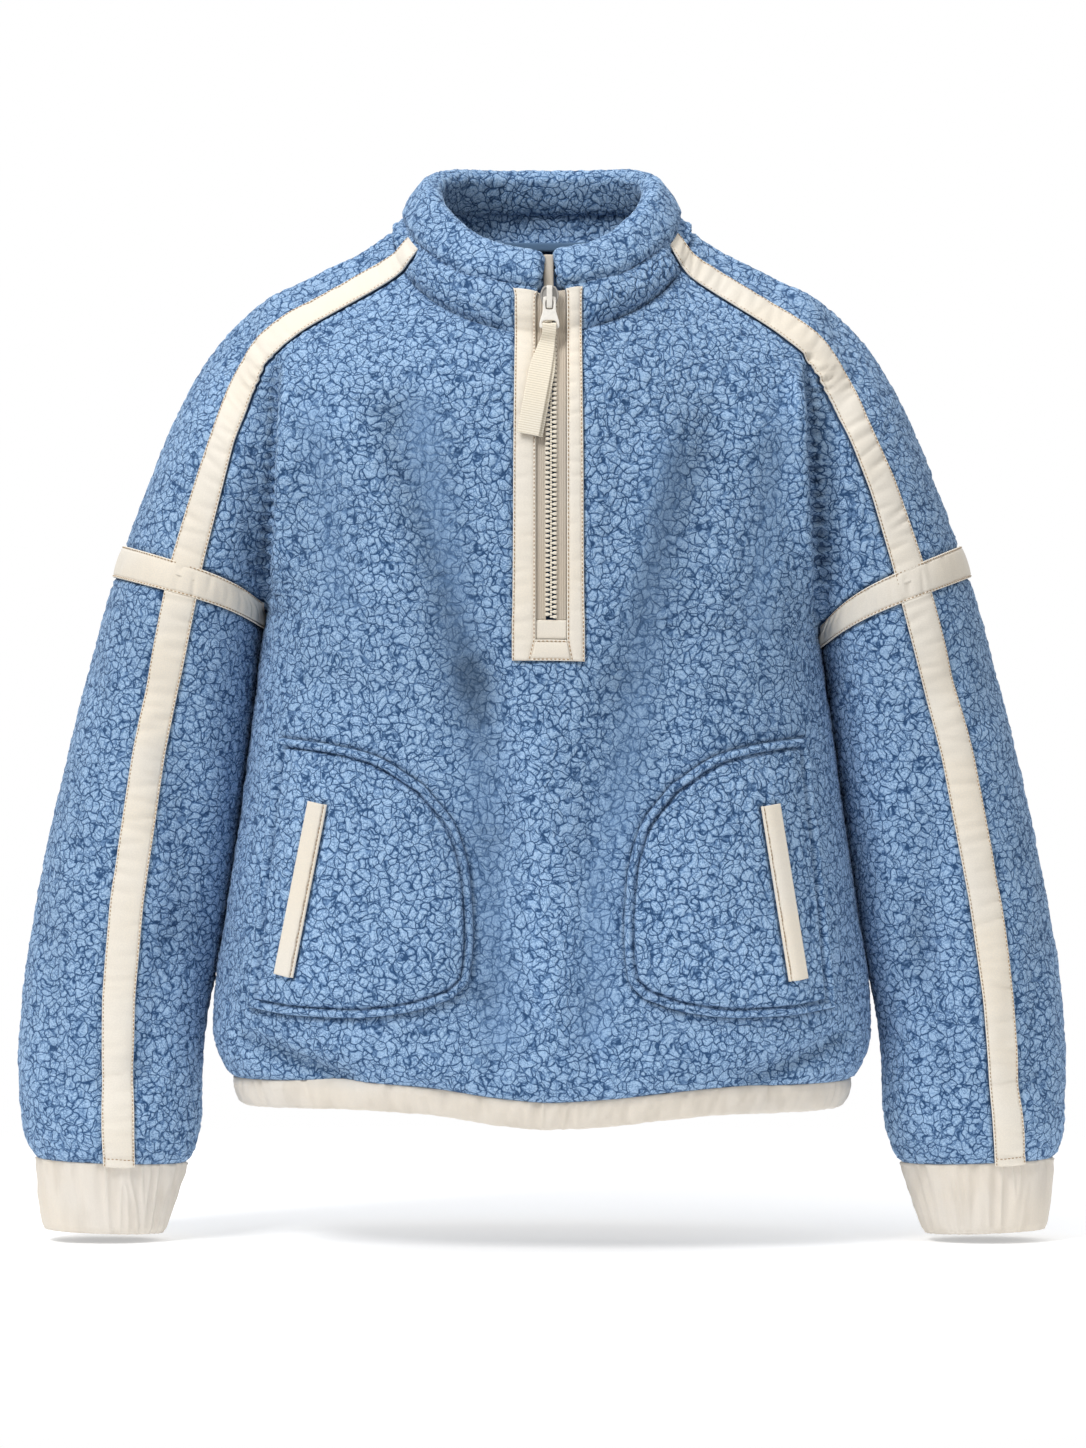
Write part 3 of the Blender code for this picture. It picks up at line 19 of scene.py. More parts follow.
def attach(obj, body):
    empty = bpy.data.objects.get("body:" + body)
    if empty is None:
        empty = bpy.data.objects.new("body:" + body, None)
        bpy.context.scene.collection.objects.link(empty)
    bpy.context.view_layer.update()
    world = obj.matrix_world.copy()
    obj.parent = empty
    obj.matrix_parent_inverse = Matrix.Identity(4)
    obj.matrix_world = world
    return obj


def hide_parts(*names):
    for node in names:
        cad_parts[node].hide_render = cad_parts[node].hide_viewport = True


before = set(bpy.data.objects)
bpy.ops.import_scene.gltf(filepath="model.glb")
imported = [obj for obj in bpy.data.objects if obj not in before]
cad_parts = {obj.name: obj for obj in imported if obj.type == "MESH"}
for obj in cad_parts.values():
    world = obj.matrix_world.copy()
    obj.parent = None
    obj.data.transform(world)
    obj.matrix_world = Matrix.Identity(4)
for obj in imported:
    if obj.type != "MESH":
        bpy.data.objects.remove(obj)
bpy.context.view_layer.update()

WALL = 0.0045  # sherpa fleece, backing and pile
COLLAR_WALL = 0.0080  # the collar stand is two layers of fleece
BAND_WALL = 0.0040  # the hem band and the cuffs are folded double
SEAM_GAP = 0.0003
STRIP_WIDTH = 0.0200  # strips on the shoulders and sleeves, and the armbands
STRIP_THICK = 0.0022
RING_POINTS = 320  # points that describe one lobe of a ring before it is divided

# The zip lies a little to the right of the garment's middle.
ZIP_X = 0.00625
CHAIN_WIDTH = 0.0074
NECK_TAPE_THICK = 0.0012
PLACKET_OUTER = (-0.0201, 0.0285)
PLACKET_INNER = (-0.0031, 0.0167)
PLACKET_FOOT_TOP_Z = -0.2865
PLACKET_FOOT_Z = -0.3010

LEFT, RIGHT = -1, 1
FRONT, BACK = -1, 1
SIDE_NAME = {LEFT: "left", RIGHT: "right"}


def table(columns, *rows):
    """A short table as a dictionary from each column's name to its values."""
    return dict(zip(columns.split(), np.array(rows, float).T, strict=True))


def fold_table(text):
    """A table of folds from its rows, in tenths of a millimetre but for the face."""
    rows = np.array([row.split() for row in text.strip().split("\n")], float)
    rows[:, 1:] /= 1e4
    return dict(zip("face x0 z0 x1 z1 x2 z2 reach depth".split(), rows.T, strict=True))


# Rings of the yoke. share: how far the ring is from the neck (0) to the armhole (1).
# ridge: its outermost point, on the line of the shoulder and the top of the arm.
# front, back: its depth at the middle. torso: half width of the lobe round the chest, squared off
# by its power. arm_in: where the arm's lobe begins, arm: that lobe's depth. melt: how softly the
# two lobes join. fold: where the hollow between chest and arm lies.
YOKE = table(
    "share ridge_x ridge_z front_z front back_z back torso power arm_in arm melt fold",
    (0.000, 0.1065, 0.0125, -0.0715, 0.100, 0.0050, 0.076, 0.1065, 2.1, 0.0100, 0.000, 0.000, 0.083),
    (0.059, 0.1210, 0.0000, -0.0830, 0.107, -0.011, 0.083, 0.1210, 2.1, 0.0150, 0.010, 0.010, 0.094),
    (0.212, 0.1650, -0.0232, -0.1140, 0.119, -0.054, 0.098, 0.1650, 2.3, 0.0300, 0.045, 0.020, 0.130),
    (0.360, 0.2074, -0.0462, -0.1437, 0.125, -0.095, 0.108, 0.2060, 2.4, 0.0500, 0.070, 0.030, 0.163),
    (0.460, 0.2311, -0.0685, -0.1637, 0.128, -0.122, 0.113, 0.2170, 2.6, 0.0700, 0.082, 0.032, 0.180),
    (0.567, 0.2502, -0.0973, -0.1850, 0.130, -0.152, 0.118, 0.2120, 2.6, 0.1150, 0.083, 0.030, 0.187),
    (0.666, 0.2646, -0.1261, -0.2050, 0.132, -0.179, 0.121, 0.2070, 2.6, 0.1430, 0.081, 0.024, 0.188),
    (0.857, 0.2873, -0.1837, -0.2430, 0.134, -0.232, 0.126, 0.2010, 2.7, 0.1790, 0.079, 0.012, 0.193),
    (1.000, 0.3035, -0.2275, -0.2720, 0.135, -0.272, 0.128, 0.1980, 2.7, 0.1980, 0.078, 0.000, 0.198),
)
YOKE_LENGTH = 0.325  # along the shoulder and arm, from the neck to the armhole
ARM_POWER = 2.1
ARMPIT_Z = {LEFT: -0.268, RIGHT: -0.285}

# Rings of the torso, from the armpits to the seam of the hem band.
TORSO = table(
    "z half_width front back power",
    (-0.2720, 0.1980, 0.135, 0.128, 2.7),
    (-0.3277, 0.2045, 0.135, 0.128, 2.7),
    (-0.3997, 0.2138, 0.132, 0.127, 2.7),
    (-0.4717, 0.2246, 0.130, 0.126, 2.7),
    (-0.5437, 0.2350, 0.129, 0.125, 2.7),
    (-0.5700, 0.2362, 0.128, 0.124, 2.7),
    (-0.5880, 0.2310, 0.124, 0.120, 2.7),
    (-0.5980, 0.2262, 0.119, 0.115, 2.7),
    (-0.6030, 0.2215, 0.114, 0.110, 2.7),
)
HEM_BAND_Z, HEM_BAND_IN = -0.6215, 0.0065

# Rings of a sleeve, by their outer and inner edges seen from the front. The cuff follows.
SLEEVE = table(
    "length out_x out_z in_x in_z front back bend",
    (0.000, 0.3035, -0.2275, 0.1980, -0.2720, 0.078, 0.078, 0.30),
    (0.030, 0.3143, -0.2620, 0.2045, -0.2950, 0.076, 0.075, 0.15),
    (0.075, 0.3275, -0.3100, 0.2076, -0.3300, 0.071, 0.070, 0.00),
    (0.148, 0.3460, -0.3850, 0.2172, -0.4000, 0.067, 0.067, 0.00),
    (0.226, 0.3630, -0.4650, 0.2276, -0.4750, 0.065, 0.066, 0.00),
    (0.300, 0.3745, -0.5400, 0.2394, -0.5450, 0.063, 0.064, 0.00),
    (0.350, 0.3776, -0.5900, 0.2438, -0.5920, 0.061, 0.062, 0.00),
    (0.385, 0.3757, -0.6250, 0.2444, -0.6270, 0.057, 0.058, 0.00),
    (0.405, 0.3718, -0.6450, 0.2480, -0.6480, 0.050, 0.051, 0.00),
    (0.418, 0.3650, -0.6570, 0.2550, -0.6610, 0.042, 0.043, 0.00),
)
SLEEVE_SWING = {LEFT: 0.0, RIGHT: 0.0040}  # how much further out the end of the sleeve hangs
CUFF = table(
    "length out_x out_z in_x in_z front back bend",
    (0.000, 0.3650, -0.6570, 0.2550, -0.6610, 0.042, 0.043, 0.0),
    (0.014, 0.3618, -0.6710, 0.2615, -0.6750, 0.037, 0.038, 0.0),
    (0.030, 0.3608, -0.6870, 0.2665, -0.6900, 0.034, 0.035, 0.0),
    (0.052, 0.3595, -0.7075, 0.2715, -0.7110, 0.031, 0.032, 0.0),
)

# Middle line of the strips, seen from the front: distance from the garment's middle at each height.
STRIP_LINE = table(
    "z left right",
    (0.0300, 0.0650, 0.0700),
    (0.0040, 0.0864, 0.0920),
    (-0.0180, 0.1034, 0.1055),
    (-0.0430, 0.1461, 0.1440),
    (-0.0596, 0.1755, 0.1700),
    (-0.0790, 0.1997, 0.1950),
    (-0.0990, 0.2110, 0.2085),
    (-0.1390, 0.2237, 0.2242),
    (-0.1777, 0.2344, 0.2400),
    (-0.2315, 0.2493, 0.2570),
    (-0.3669, 0.2770, 0.2936),
    (-0.4694, 0.2925, 0.3130),
    (-0.5388, 0.2985, 0.3230),
    (-0.6600, 0.3000, 0.3330),
)

# On the shoulder the strips are wider than on the sleeve.
STRIP_HALF = table("share half", (0.0, 0.0115), (0.06, 0.0135), (0.42, 0.0130), (0.60, STRIP_WIDTH / 2))

# Collar, by angle round the neck from the middle of the front. stand_z: top of the stand, just
# under the roll. low_z, rim_z: the two lines that the roll, of radius ROLL, is drawn round.
COLLAR = table(
    "angle stand_z low_z rim_z",
    (0.0, -0.0432, -0.0335, -0.0230),
    (30.0, -0.0342, -0.0245, -0.0125),
    (60.0, -0.0104, -0.0007, 0.0115),
    (90.0, 0.0132, 0.0228, 0.0360),
    (135.0, 0.0279, 0.0367, 0.0500),
    (180.0, 0.0293, 0.0380, 0.0515),
)
STAND_TOP = {"half_width": 0.0985, "front": 0.0980, "back": 0.0755}
ROLL_LOW = {"half_width": 0.0905, "front": 0.0900, "back": 0.0710}
ROLL_RIM = {"half_width": 0.0815, "front": 0.0830, "back": 0.0655}
ROLL = 0.0095
ROLL_GAP = (0.0007, 0.0086)  # the roll is open at the front between these

# The largest folds. face: 1 front, 2 back. Each runs from x0, z0 by x1, z1 to x2, z2, reach is
# how far it spreads to each side, and depth is how far it goes in, or out where it is negative.
FOLDS = fold_table("""
    1 -1120 -950 -760 -2100 -380 -4200 260 90
    1 -380 -4000 -340 -4800 -400 -5600 220 70
    1 1170 -1000 920 -2500 560 -4400 260 70
    1 450 -4400 360 -5000 360 -5700 200 40
    1 60 -3400 40 -4600 80 -5800 300 -40
    1 -2050 -5520 -1400 -5820 -700 -5650 100 50
    1 750 -5620 1350 -5840 2000 -5580 100 50
    1 -2620 -3300 -2560 -4300 -2400 -5400 160 60
    1 2580 -3000 2720 -4400 2500 -5600 160 60
    1 -3450 -5900 -3180 -6000 -2700 -5850 120 40
    1 2900 -5850 3250 -6040 3600 -5900 120 40
    2 -1100 -1200 -850 -2800 -600 -4400 280 80
    2 1050 -1300 900 -3000 700 -4600 280 70
    2 0 -2500 40 -4000 -60 -5600 320 50
    2 -1800 -5400 -1200 -5750 -400 -5600 140 50
    2 500 -5550 1100 -5780 1850 -5450 140 50
    2 -3000 -3300 -3100 -4500 -2900 -5600 200 60
    2 2950 -3200 3050 -4300 3100 -5600 200 60
""")
FOLD_STEPS, SHARP_STEPS = 13, 25  # points along a fold

# Pocket outline on the right side, seen from the front, from its outer top corner round by the
# middle of the garment. The left pocket reaches further in.
POCKET_TOP = ((0.1845, -0.3540), (0.1540, -0.3580), (0.1215, -0.3655), (0.0850, -0.3873))
POCKET_INNER = (
    (0.0850, -0.3873), (0.0623, -0.4185), (0.0537, -0.4531), (0.0516, -0.4910), (0.0545, -0.5225),
    (0.0660, -0.5360),
)
POCKET_BOTTOM = (
    (0.2060, -0.5445), (0.1700, -0.5492), (0.1350, -0.5500), (0.0980, -0.5460), (0.0660, -0.5360),
)
POCKET_OUTER = ((0.1845, -0.3540), (0.1965, -0.4490), (0.2060, -0.5445))
POCKET_REACH = {LEFT: 1.03, RIGHT: 0.965}
POCKET_LIFT, POCKET_THICK, POCKET_PUFF = 0.0003, 0.0038, 0.0032
WELT = {LEFT: ((-0.1558, -0.4000), (-0.1798, -0.5207)), RIGHT: ((0.1587, -0.4015), (0.1784, -0.5235))}
WELT_WIDTH, WELT_THICK, WELT_LIFT = 0.0140, 0.0022, 0.0006

GUARD_X = (0.00175, 0.00755)
GUARD_LINE = (
    (-0.0975, -0.0700), (-0.0955, -0.0560), (-0.0925, -0.0430), (-0.0900, -0.0340), (-0.0860, -0.0225),
    (-0.0835, -0.0150),
)
GUARD_THICK, GUARD_BESIDE, GUARD_COLUMNS = 0.0014, 0.0006, 9

SLIDER_X = 0.0052
# The bail is a bar this far in front of the plate. BAIL_Z: its foot and its top, from the pin.
BAIL_WIDTH, BAIL_THICK, BAIL_ROOM, BAIL_Z = 0.0040, 0.0013, 0.0028, (-0.0075, 0.0088)
PIN_Z = -0.0475
TAB_THICK, TAB_TILT = 0.0016, 12.0
# The tab's half width at distances below its pin.
TAB = table(
    "down half",
    (-0.0010, 0.0038),
    (0.0002, 0.0045),
    (0.0080, 0.0045),
    (0.0110, 0.0049),
    (0.0150, 0.0062),
    (0.0185, 0.0070),
    (0.0212, 0.0070),
    (0.0222, 0.0060),
)
# Its two holes: down from the pin to their top and foot, and their half widths there.
WINDOW = table("down half", (0.0008, 0.0028), (0.0078, 0.0028), (0.0086, 0.0018))
EYE = table("down half", (0.0163, 0.0046), (0.0202, 0.0057))
TAB_BAR = 0.0212  # from the pin to the middle of the bar that the ribbon hangs from
RIBBON_THICK, RIBBON_APART, RIBBON_LENGTH, RIBBON_LEAN = 0.0011, 0.0003, 0.0760, 10.7
RIBBON_TOP, RIBBON_FOOT = 0.0098, 0.0180
RIBBON_CLEAR = 0.0006  # between the ribbon and the bar it goes round, and above the placket
RIBBON_LOOP = 0.0023  # how high the ribbon's fold stands over the bar's middle

# How much higher the hem is than its ring, across the front, and how much of that the back has.
HEM = table(
    "x rise",
    (-0.235, 0.0042),
    (-0.153, 0.0062),
    (-0.081, 0.0028),
    (-0.032, -0.0046),
    (0.004, -0.0074),
    (0.040, -0.0060),
    (0.098, -0.0002),
    (0.139, 0.0026),
    (0.235, 0.0030),
)
HEM_SHARE = {FRONT: 1.0, BACK: 0.35}

# Smaller creases, placed one by one and uneven, in the same form as the folds.
CREASES = fold_table("""
    1 -1650 -1200 -1500 -2000 -1180 -3000 120 35
    1 1680 -1180 1580 -2100 1220 -3200 120 35
    1 -600 -1100 -560 -1900 -400 -2800 100 25
    1 620 -1200 560 -2000 460 -3000 100 22
    1 -200 -3200 -40 -3800 120 -4500 120 -25
    1 -1800 -3000 -1500 -3200 -1100 -3220 100 30
    1 1840 -3100 1500 -3250 1180 -3220 100 30
    1 -300 -5000 -120 -5450 -180 -5980 90 30
    1 300 -5100 240 -5500 320 -5980 90 28
    1 -2260 -4600 -2210 -5100 -2160 -5600 80 25
    1 2260 -4550 2190 -5100 2180 -5600 80 25
    1 -3400 -4200 -3220 -4400 -3000 -4460 90 30
    1 3520 -4300 3340 -4520 3180 -4550 90 30
    1 -3300 -5150 -3150 -5600 -3220 -6200 90 28
    1 3400 -5050 3320 -5600 3400 -6200 90 28
    1 -2360 -6000 -2560 -6150 -2850 -6120 70 26
    1 2620 -6000 2750 -6180 3000 -6160 70 26
    1 -3000 -2750 -2880 -3100 -2620 -3300 100 28
    1 3020 -2850 2880 -3180 2620 -3350 100 28
    2 -1500 -1000 -1280 -1700 -900 -2400 120 35
    2 1480 -1080 1220 -1800 880 -2550 120 35
    2 -500 -1500 -100 -1720 450 -1600 120 25
    2 -450 -4700 -300 -5300 -400 -5980 100 30
    2 360 -4800 460 -5300 400 -5980 100 30
    2 1100 -4900 1220 -5400 1180 -5980 100 26
    2 -1180 -4800 -1120 -5400 -1220 -5980 100 26
    2 -1820 -3000 -1500 -3220 -1120 -3300 100 30
    2 1800 -3100 1500 -3300 1080 -3360 100 30
    2 -3460 -4300 -3180 -4500 -2850 -4520 100 32
    2 3480 -4400 3220 -4620 2900 -4580 100 32
    2 -3350 -5200 -3200 -5650 -3260 -6200 90 28
    2 3380 -5100 3260 -5600 3320 -6200 90 28
    2 -2900 -2800 -2750 -3100 -2500 -3300 100 28
    2 2950 -2850 2780 -3200 2520 -3400 100 28
""")

# Sharper folds, made on the fine cloth. The front stands over the cloth beside it along a line
# from each shoulder strip to the end of the armband.
SHARP = fold_table("""
    1 -1890 -740 -1922 -1650 -1995 -2860 46 105
    1 -1975 -840 -2005 -1650 -2050 -2650 110 80
    1 -1790 -860 -1815 -1650 -1890 -2680 95 -60
    1 1890 -740 1926 -1650 1995 -2860 46 105
    1 1975 -840 2010 -1650 2050 -2650 110 80
    1 1790 -860 1820 -1650 1890 -2680 95 -60
    1 -1300 -860 -800 -2200 -200 -3650 170 45
    1 -950 -1200 -740 -2000 -340 -3100 140 -40
    1 -560 -2900 -380 -3600 -300 -4500 160 45
    1 1270 -880 860 -2250 360 -3600 170 42
    1 900 -1300 700 -2100 400 -3000 140 -35
    1 600 -2900 440 -3700 340 -4600 160 40
    1 -80 -3200 20 -4500 80 -5800 200 -35
    1 -420 -5200 -340 -5600 -360 -6050 90 35
    1 420 -5200 340 -5600 380 -6050 90 35
    1 -2210 -5600 -1800 -5800 -1180 -6020 80 85
    1 -1500 -5700 -1000 -5780 -600 -5920 90 -30
    1 1260 -6020 1820 -5810 2210 -5580 80 80
    1 640 -5900 1050 -5800 1500 -5720 90 -30
    1 -3380 -2400 -3250 -3000 -3020 -3450 120 30
    1 3400 -2400 3260 -3050 3020 -3500 120 30
    1 -2600 -4700 -2740 -5400 -2860 -6200 110 45
    1 2600 -4600 2760 -5400 2900 -6200 110 45
    1 -3580 -4700 -3480 -5400 -3500 -6200 110 40
    1 3640 -4700 3530 -5400 3560 -6200 110 40
    2 -1895 -950 -1930 -1700 -1990 -2620 55 60
    2 1895 -950 1935 -1750 1990 -2620 55 60
    2 -1770 -1000 -1810 -1700 -1880 -2550 100 -40
    2 1770 -1000 1815 -1750 1880 -2550 100 -40
    2 -1200 -1100 -900 -2100 -560 -3300 170 50
    2 1150 -1150 940 -2200 620 -3400 170 45
    2 -300 -3600 -200 -4500 -260 -5600 150 40
    2 360 -3500 300 -4400 340 -5500 150 35
    2 -2000 -4400 -1600 -5000 -1300 -5800 130 40
    2 1960 -4300 1560 -5000 1350 -5800 130 40
    2 -3560 -4800 -3420 -5400 -3440 -6200 110 40
    2 3600 -4800 3460 -5400 3480 -6200 110 40
""")

# ---------------------------------------------------------------- how fine the cloth is here
CELLS = {"back": 28, "arm_back": 20, "strip": 3, "arm_front": 12, "chest": 22, "band": 2}
FRONT_FINE, BACK_FINE = 4, 3
ARMBAND_SHARE = 1 - 0.010 / YOKE_LENGTH
YOKE_ROWS = (*np.linspace(0, ARMBAND_SHARE, 40), (1 + ARMBAND_SHARE) / 2, 1.0)
STAND_ROWS = (1.0, 0.84, 0.68, 0.52, 0.36, 0.22, 0.10)  # from the top of the stand to the neck seam
TORSO_ROWS_Z = (-0.2793, PLACKET_FOOT_TOP_Z, -0.2938, *np.linspace(PLACKET_FOOT_Z, -0.603, 38))
FOOT_TOP_ROW, FOOT_ROW = 2, 4  # rows of the lower block
HEM_ROW = len(TORSO_ROWS_Z)
BAND_ROWS = 4
SLEEVE_ROWS = (0.005, *np.linspace(0.010, 0.418, 52))
CUFF_ROWS = tuple(np.linspace(0, 0.052, 9)[1:])
PILE, PILE_HELD = 0.0011, 0.0019  # how far the clumps rise and sink, and how much lower held-down pile lies
SUFFIX = "_look"  # what a piece here is called, after the node that it stands for


# ---------------------------------------------------------------- curves
def smooth(xs, ys, at):
    """A curve through the points that never overshoots them (a monotone cubic)."""
    order = np.argsort(xs)
    xs, ys = np.asarray(xs, float)[order], np.asarray(ys, float)[order]
    step, rise = np.diff(xs), np.diff(ys)
    slope = rise / step
    inner = np.zeros(len(xs) - 2)
    same = slope[:-1] * slope[1:] > 0
    a, b = 2 * step[1:] + step[:-1], step[1:] + 2 * step[:-1]
    inner[same] = (a + b)[same] / (a[same] / slope[:-1][same] + b[same] / slope[1:][same])
    tangent = np.concatenate([[slope[0]], inner, [slope[-1]]])
    at = np.clip(np.asarray(at, float), xs[0], xs[-1])
    k = np.clip(np.searchsorted(xs, at, side="right") - 1, 0, len(step) - 1)
    t = (at - xs[k]) / step[k]
    return (
        ys[k] * (1 + 2 * t) * (1 - t) ** 2
        + tangent[k] * step[k] * t * (1 - t) ** 2
        + ys[k + 1] * t * t * (3 - 2 * t)
        - tangent[k + 1] * step[k] * t * t * (1 - t)
    )


def read(rows, key, at):
    """The values of a table's columns, smoothly, where its key column is at."""
    return {name: smooth(rows[key], column, at) for name, column in rows.items() if name != key}


def ease(t):
    t = np.clip(t, 0.0, 1.0)
    return t * t * (3 - 2 * t)


def along(points):
    """Distance along a line of points."""
    return np.concatenate([[0.0], np.cumsum(np.linalg.norm(np.diff(points, axis=0), axis=1))])


def at_distance(points, where, run=None):
    """The points at these distances along a line, or values there, where the line's run is given."""
    run = along(points) if run is None else run
    return np.stack([np.interp(where, run, column) for column in points.T], axis=-1)


def unit(vectors):
    return vectors / np.linalg.norm(vectors, axis=-1, keepdims=True)


def fading(distance, reach):
    """1 at no distance, fading softly over this reach."""
    return np.exp(-((distance / reach) ** 2))


def rolled(distance, radius):
    """The height of a rounded edge at these distances inside it, in shares of its full height."""
    return np.sqrt(np.clip(1 - (1 - np.clip(distance / radius, 0, 1)) ** 2, 0, 1))


def lobe(x, middle, half, depth, power):
    """Depth of a squared-off ellipse over x, and below zero outside it."""
    off = np.abs(x - middle) / half
    inside = depth * np.clip(1 - off**power, 0, 1) ** (1 / power)
    return np.where(off > 1, -2 * (off - 1) * half, inside)


def join_softly(a, b, melt):
    """The larger of two depths, with a soft hollow where they cross."""
    close = np.clip(melt - np.abs(a - b), 0, None)
    return np.maximum(a, b) + close**2 / max(4 * melt, 1e-9)


def lobe_places(low, high, power):
    """Places across a lobe that lie close together where it curves most."""
    angle = np.linspace(0, math.pi / 2, RING_POINTS)
    out = np.sin(angle) ** (2 / power)
    middle, half = (low + high) / 2, (high - low) / 2
    return np.concatenate([middle - half * out, middle + half * out])


# ---------------------------------------------------------------- rings
def strip_x(side, z):
    line = STRIP_LINE["left" if side == LEFT else "right"]
    return np.interp(z, STRIP_LINE["z"][::-1], line[::-1])


def arm_height(q, bend):
    """How far down an arm's ring is, from 0 at its outer edge (q 0) to 1 at its inner edge."""
    return (1 - bend) * q + bend * q**6


def yoke_arc(share, side, face):
    """Half of a ring on one face, from the middle of the garment out to the ridge of the arm."""
    r = read(YOKE, "share", share)
    depth_at, centre_z = (r["front"], r["front_z"]) if face == FRONT else (r["back"], r["back_z"])
    ridge = r["ridge_x"]
    x = np.concatenate(
        [lobe_places(-r["torso"], r["torso"], r["power"]), lobe_places(r["arm_in"], ridge, ARM_POWER)]
    )
    x = np.unique(np.concatenate([x[(x >= 0) & (x <= ridge)], [0.0, r["fold"], ridge]]))
    chest = lobe(x, 0.0, r["torso"], depth_at, r["power"])
    arm = lobe(x, (r["arm_in"] + ridge) / 2, (ridge - r["arm_in"]) / 2, r["arm"], ARM_POWER)
    depth = join_softly(chest, arm, float(r["melt"]))
    depth[-1] = 0.0
    depth = np.clip(depth, 0.0, None)
    # Height: near the neck it climbs all the way to the ridge, at the armhole only over the arm.
    t, armpit = x / ridge, r["fold"] / ridge
    climb = (np.arcsin(np.clip(t, 0, 1)) * 2 / math.pi) ** 1.75
    q = np.clip((1 - t) / (1 - armpit), 0, 1)
    over_arm = 1 - arm_height(q, SLEEVE["bend"][0])
    like_armhole = ease((share - 0.25) / 0.75)
    rise = (1 - like_armhole) * climb + like_armhole * over_arm
    z = centre_z + (r["ridge_z"] - centre_z) * rise
    # The two armpits are not quite level.
    droop = ARMPIT_Z[side] - YOKE["front_z"][-1]
    to_armpit = np.where(t < armpit, ease(t / armpit), arm_height(q, SLEEVE["bend"][0]))
    z = z + droop * like_armhole**2 * to_armpit
    return np.stack([side * x, face * depth, z], axis=1)


def collar_arc(sizes, heights, side, face):
    """Half of a ring of the collar on one face, from the middle of the garment to its side."""
    angle = np.linspace(0, math.pi / 2, RING_POINTS)
    depth = sizes["front"] if face == FRONT else sizes["back"]
    turned = np.degrees(angle) if face == FRONT else 180 - np.degrees(angle)
    z = smooth(COLLAR["angle"], COLLAR[heights], turned)
    return np.stack([side * sizes["half_width"] * np.sin(angle), face * depth * np.cos(angle), z], axis=1)


def stand_arc(rise, side, face):
    """A ring of the collar stand, between the neck seam (0) and the roll (1), slightly full."""
    top = collar_arc(STAND_TOP, "stand_z", side, face)
    lines = yoke_arc(0.0, side, face), top
    seam, top = (at_distance(line, np.linspace(0, along(line)[-1], RING_POINTS)) for line in lines)
    ring = seam + (top - seam) * rise
    ring[:, :2] *= 1 + 0.10 * rise * (1 - rise)
    return ring


def sleeve_arc(rows, length, side, face, droop=0.0):
    """Half of a sleeve's ring on one face, from its inner edge to its outer edge."""
    r = read(rows, "length", length)
    swing = SLEEVE_SWING[side] * ease((-0.60 - r["out_z"]) / 0.07)
    inner, outer = r["in_x"] + swing * 0.7, r["out_x"] + swing
    x = np.unique(np.clip(lobe_places(inner, outer, ARM_POWER), inner, outer))
    deep = r["front"] if face == FRONT else r["back"]
    depth = lobe(x, (inner + outer) / 2, (outer - inner) / 2, deep, ARM_POWER)
    depth[[0, -1]] = 0.0
    q = (outer - x) / (outer - inner)
    z = r["out_z"] + (r["in_z"] + droop - r["out_z"]) * arm_height(q, r["bend"])
    return np.stack([side * x, face * np.clip(depth, 0, None), z], axis=1)


def crossing(arc, side):
    """Distance along a front arc at which it crosses the middle line of the strip."""
    ahead = np.abs(arc[:, 0]) - strip_x(side, arc[:, 2])
    last = np.flatnonzero((ahead[:-1] < 0) & (ahead[1:] >= 0))[-1]
    part = -ahead[last] / (ahead[last + 1] - ahead[last])
    run = along(arc)
    return run[last] + part * (run[last + 1] - run[last])


def distance_at_x(line, x):
    """Distance along a line at which it first reaches x; x grows along the line."""
    return np.interp(x, line[:, 0], along(line))


def divide(stops, cells):
    """Distances that divide each stretch between two stops into its number of equal cells."""
    parts = [np.linspace(a, b, n + 1)[:-1] for a, b, n in zip(stops[:-1], stops[1:], cells, strict=True)]
    return np.concatenate([*parts, [stops[-1]]])


CHAIN_X = (ZIP_X - CHAIN_WIDTH / 2, ZIP_X + CHAIN_WIDTH / 2)
FRONT_X = (PLACKET_OUTER[0], PLACKET_INNER[0], *CHAIN_X, PLACKET_INNER[1], PLACKET_OUTER[1])


def upper_ring(arc_of, share):
    """A whole ring round the neck as points, from the left strip's middle over the front to the
    right strip's, then over the back to the left again. arc_of gives its four quarters."""
    fold = float(read(YOKE, "share", share)["fold"])
    quarter = {(s, f): arc_of(s, f) for s in (LEFT, RIGHT) for f in (FRONT, BACK)}
    cross = {s: crossing(quarter[s, FRONT], s) for s in (LEFT, RIGHT)}
    left, right = quarter[LEFT, FRONT], quarter[RIGHT, FRONT]
    front = np.concatenate([left[::-1], right[1:]])
    middle = along(left)[-1]
    half = float(np.interp(share, STRIP_HALF["share"], STRIP_HALF["half"]))
    stops = [middle - cross[LEFT], middle - cross[LEFT] + half, distance_at_x(front, -fold)]
    stops += [distance_at_x(front, x) for x in FRONT_X]
    stops += [distance_at_x(front, fold), middle + cross[RIGHT] - half, middle + cross[RIGHT]]
    outer = [CELLS["strip"], CELLS["arm_front"], CELLS["chest"]]
    over_front = at_distance(front, divide(stops, [*outer, *[CELLS["band"]] * 5, *outer[::-1]]))

    rest_right = np.concatenate([right, quarter[RIGHT, BACK][::-1][1:]])
    rest_left = np.concatenate([left, quarter[LEFT, BACK][::-1][1:]])
    back = np.concatenate([rest_right, rest_left[::-1][1:]])
    length_right, length = along(rest_right)[-1], along(back)[-1]
    fold_right = length_right - distance_at_x(quarter[RIGHT, BACK], fold)
    back_left = quarter[LEFT, BACK] * (-1, 1, 1)
    fold_left = length_right + distance_at_x(back_left, fold)
    stops = [cross[RIGHT], cross[RIGHT] + half, fold_right, length_right, fold_left]
    stops += [length - cross[LEFT] - half, length - cross[LEFT]]
    outer = [CELLS["strip"], CELLS["arm_back"], CELLS["back"]]
    return over_front, at_distance(back, divide(stops, [*outer, *outer[::-1]]))


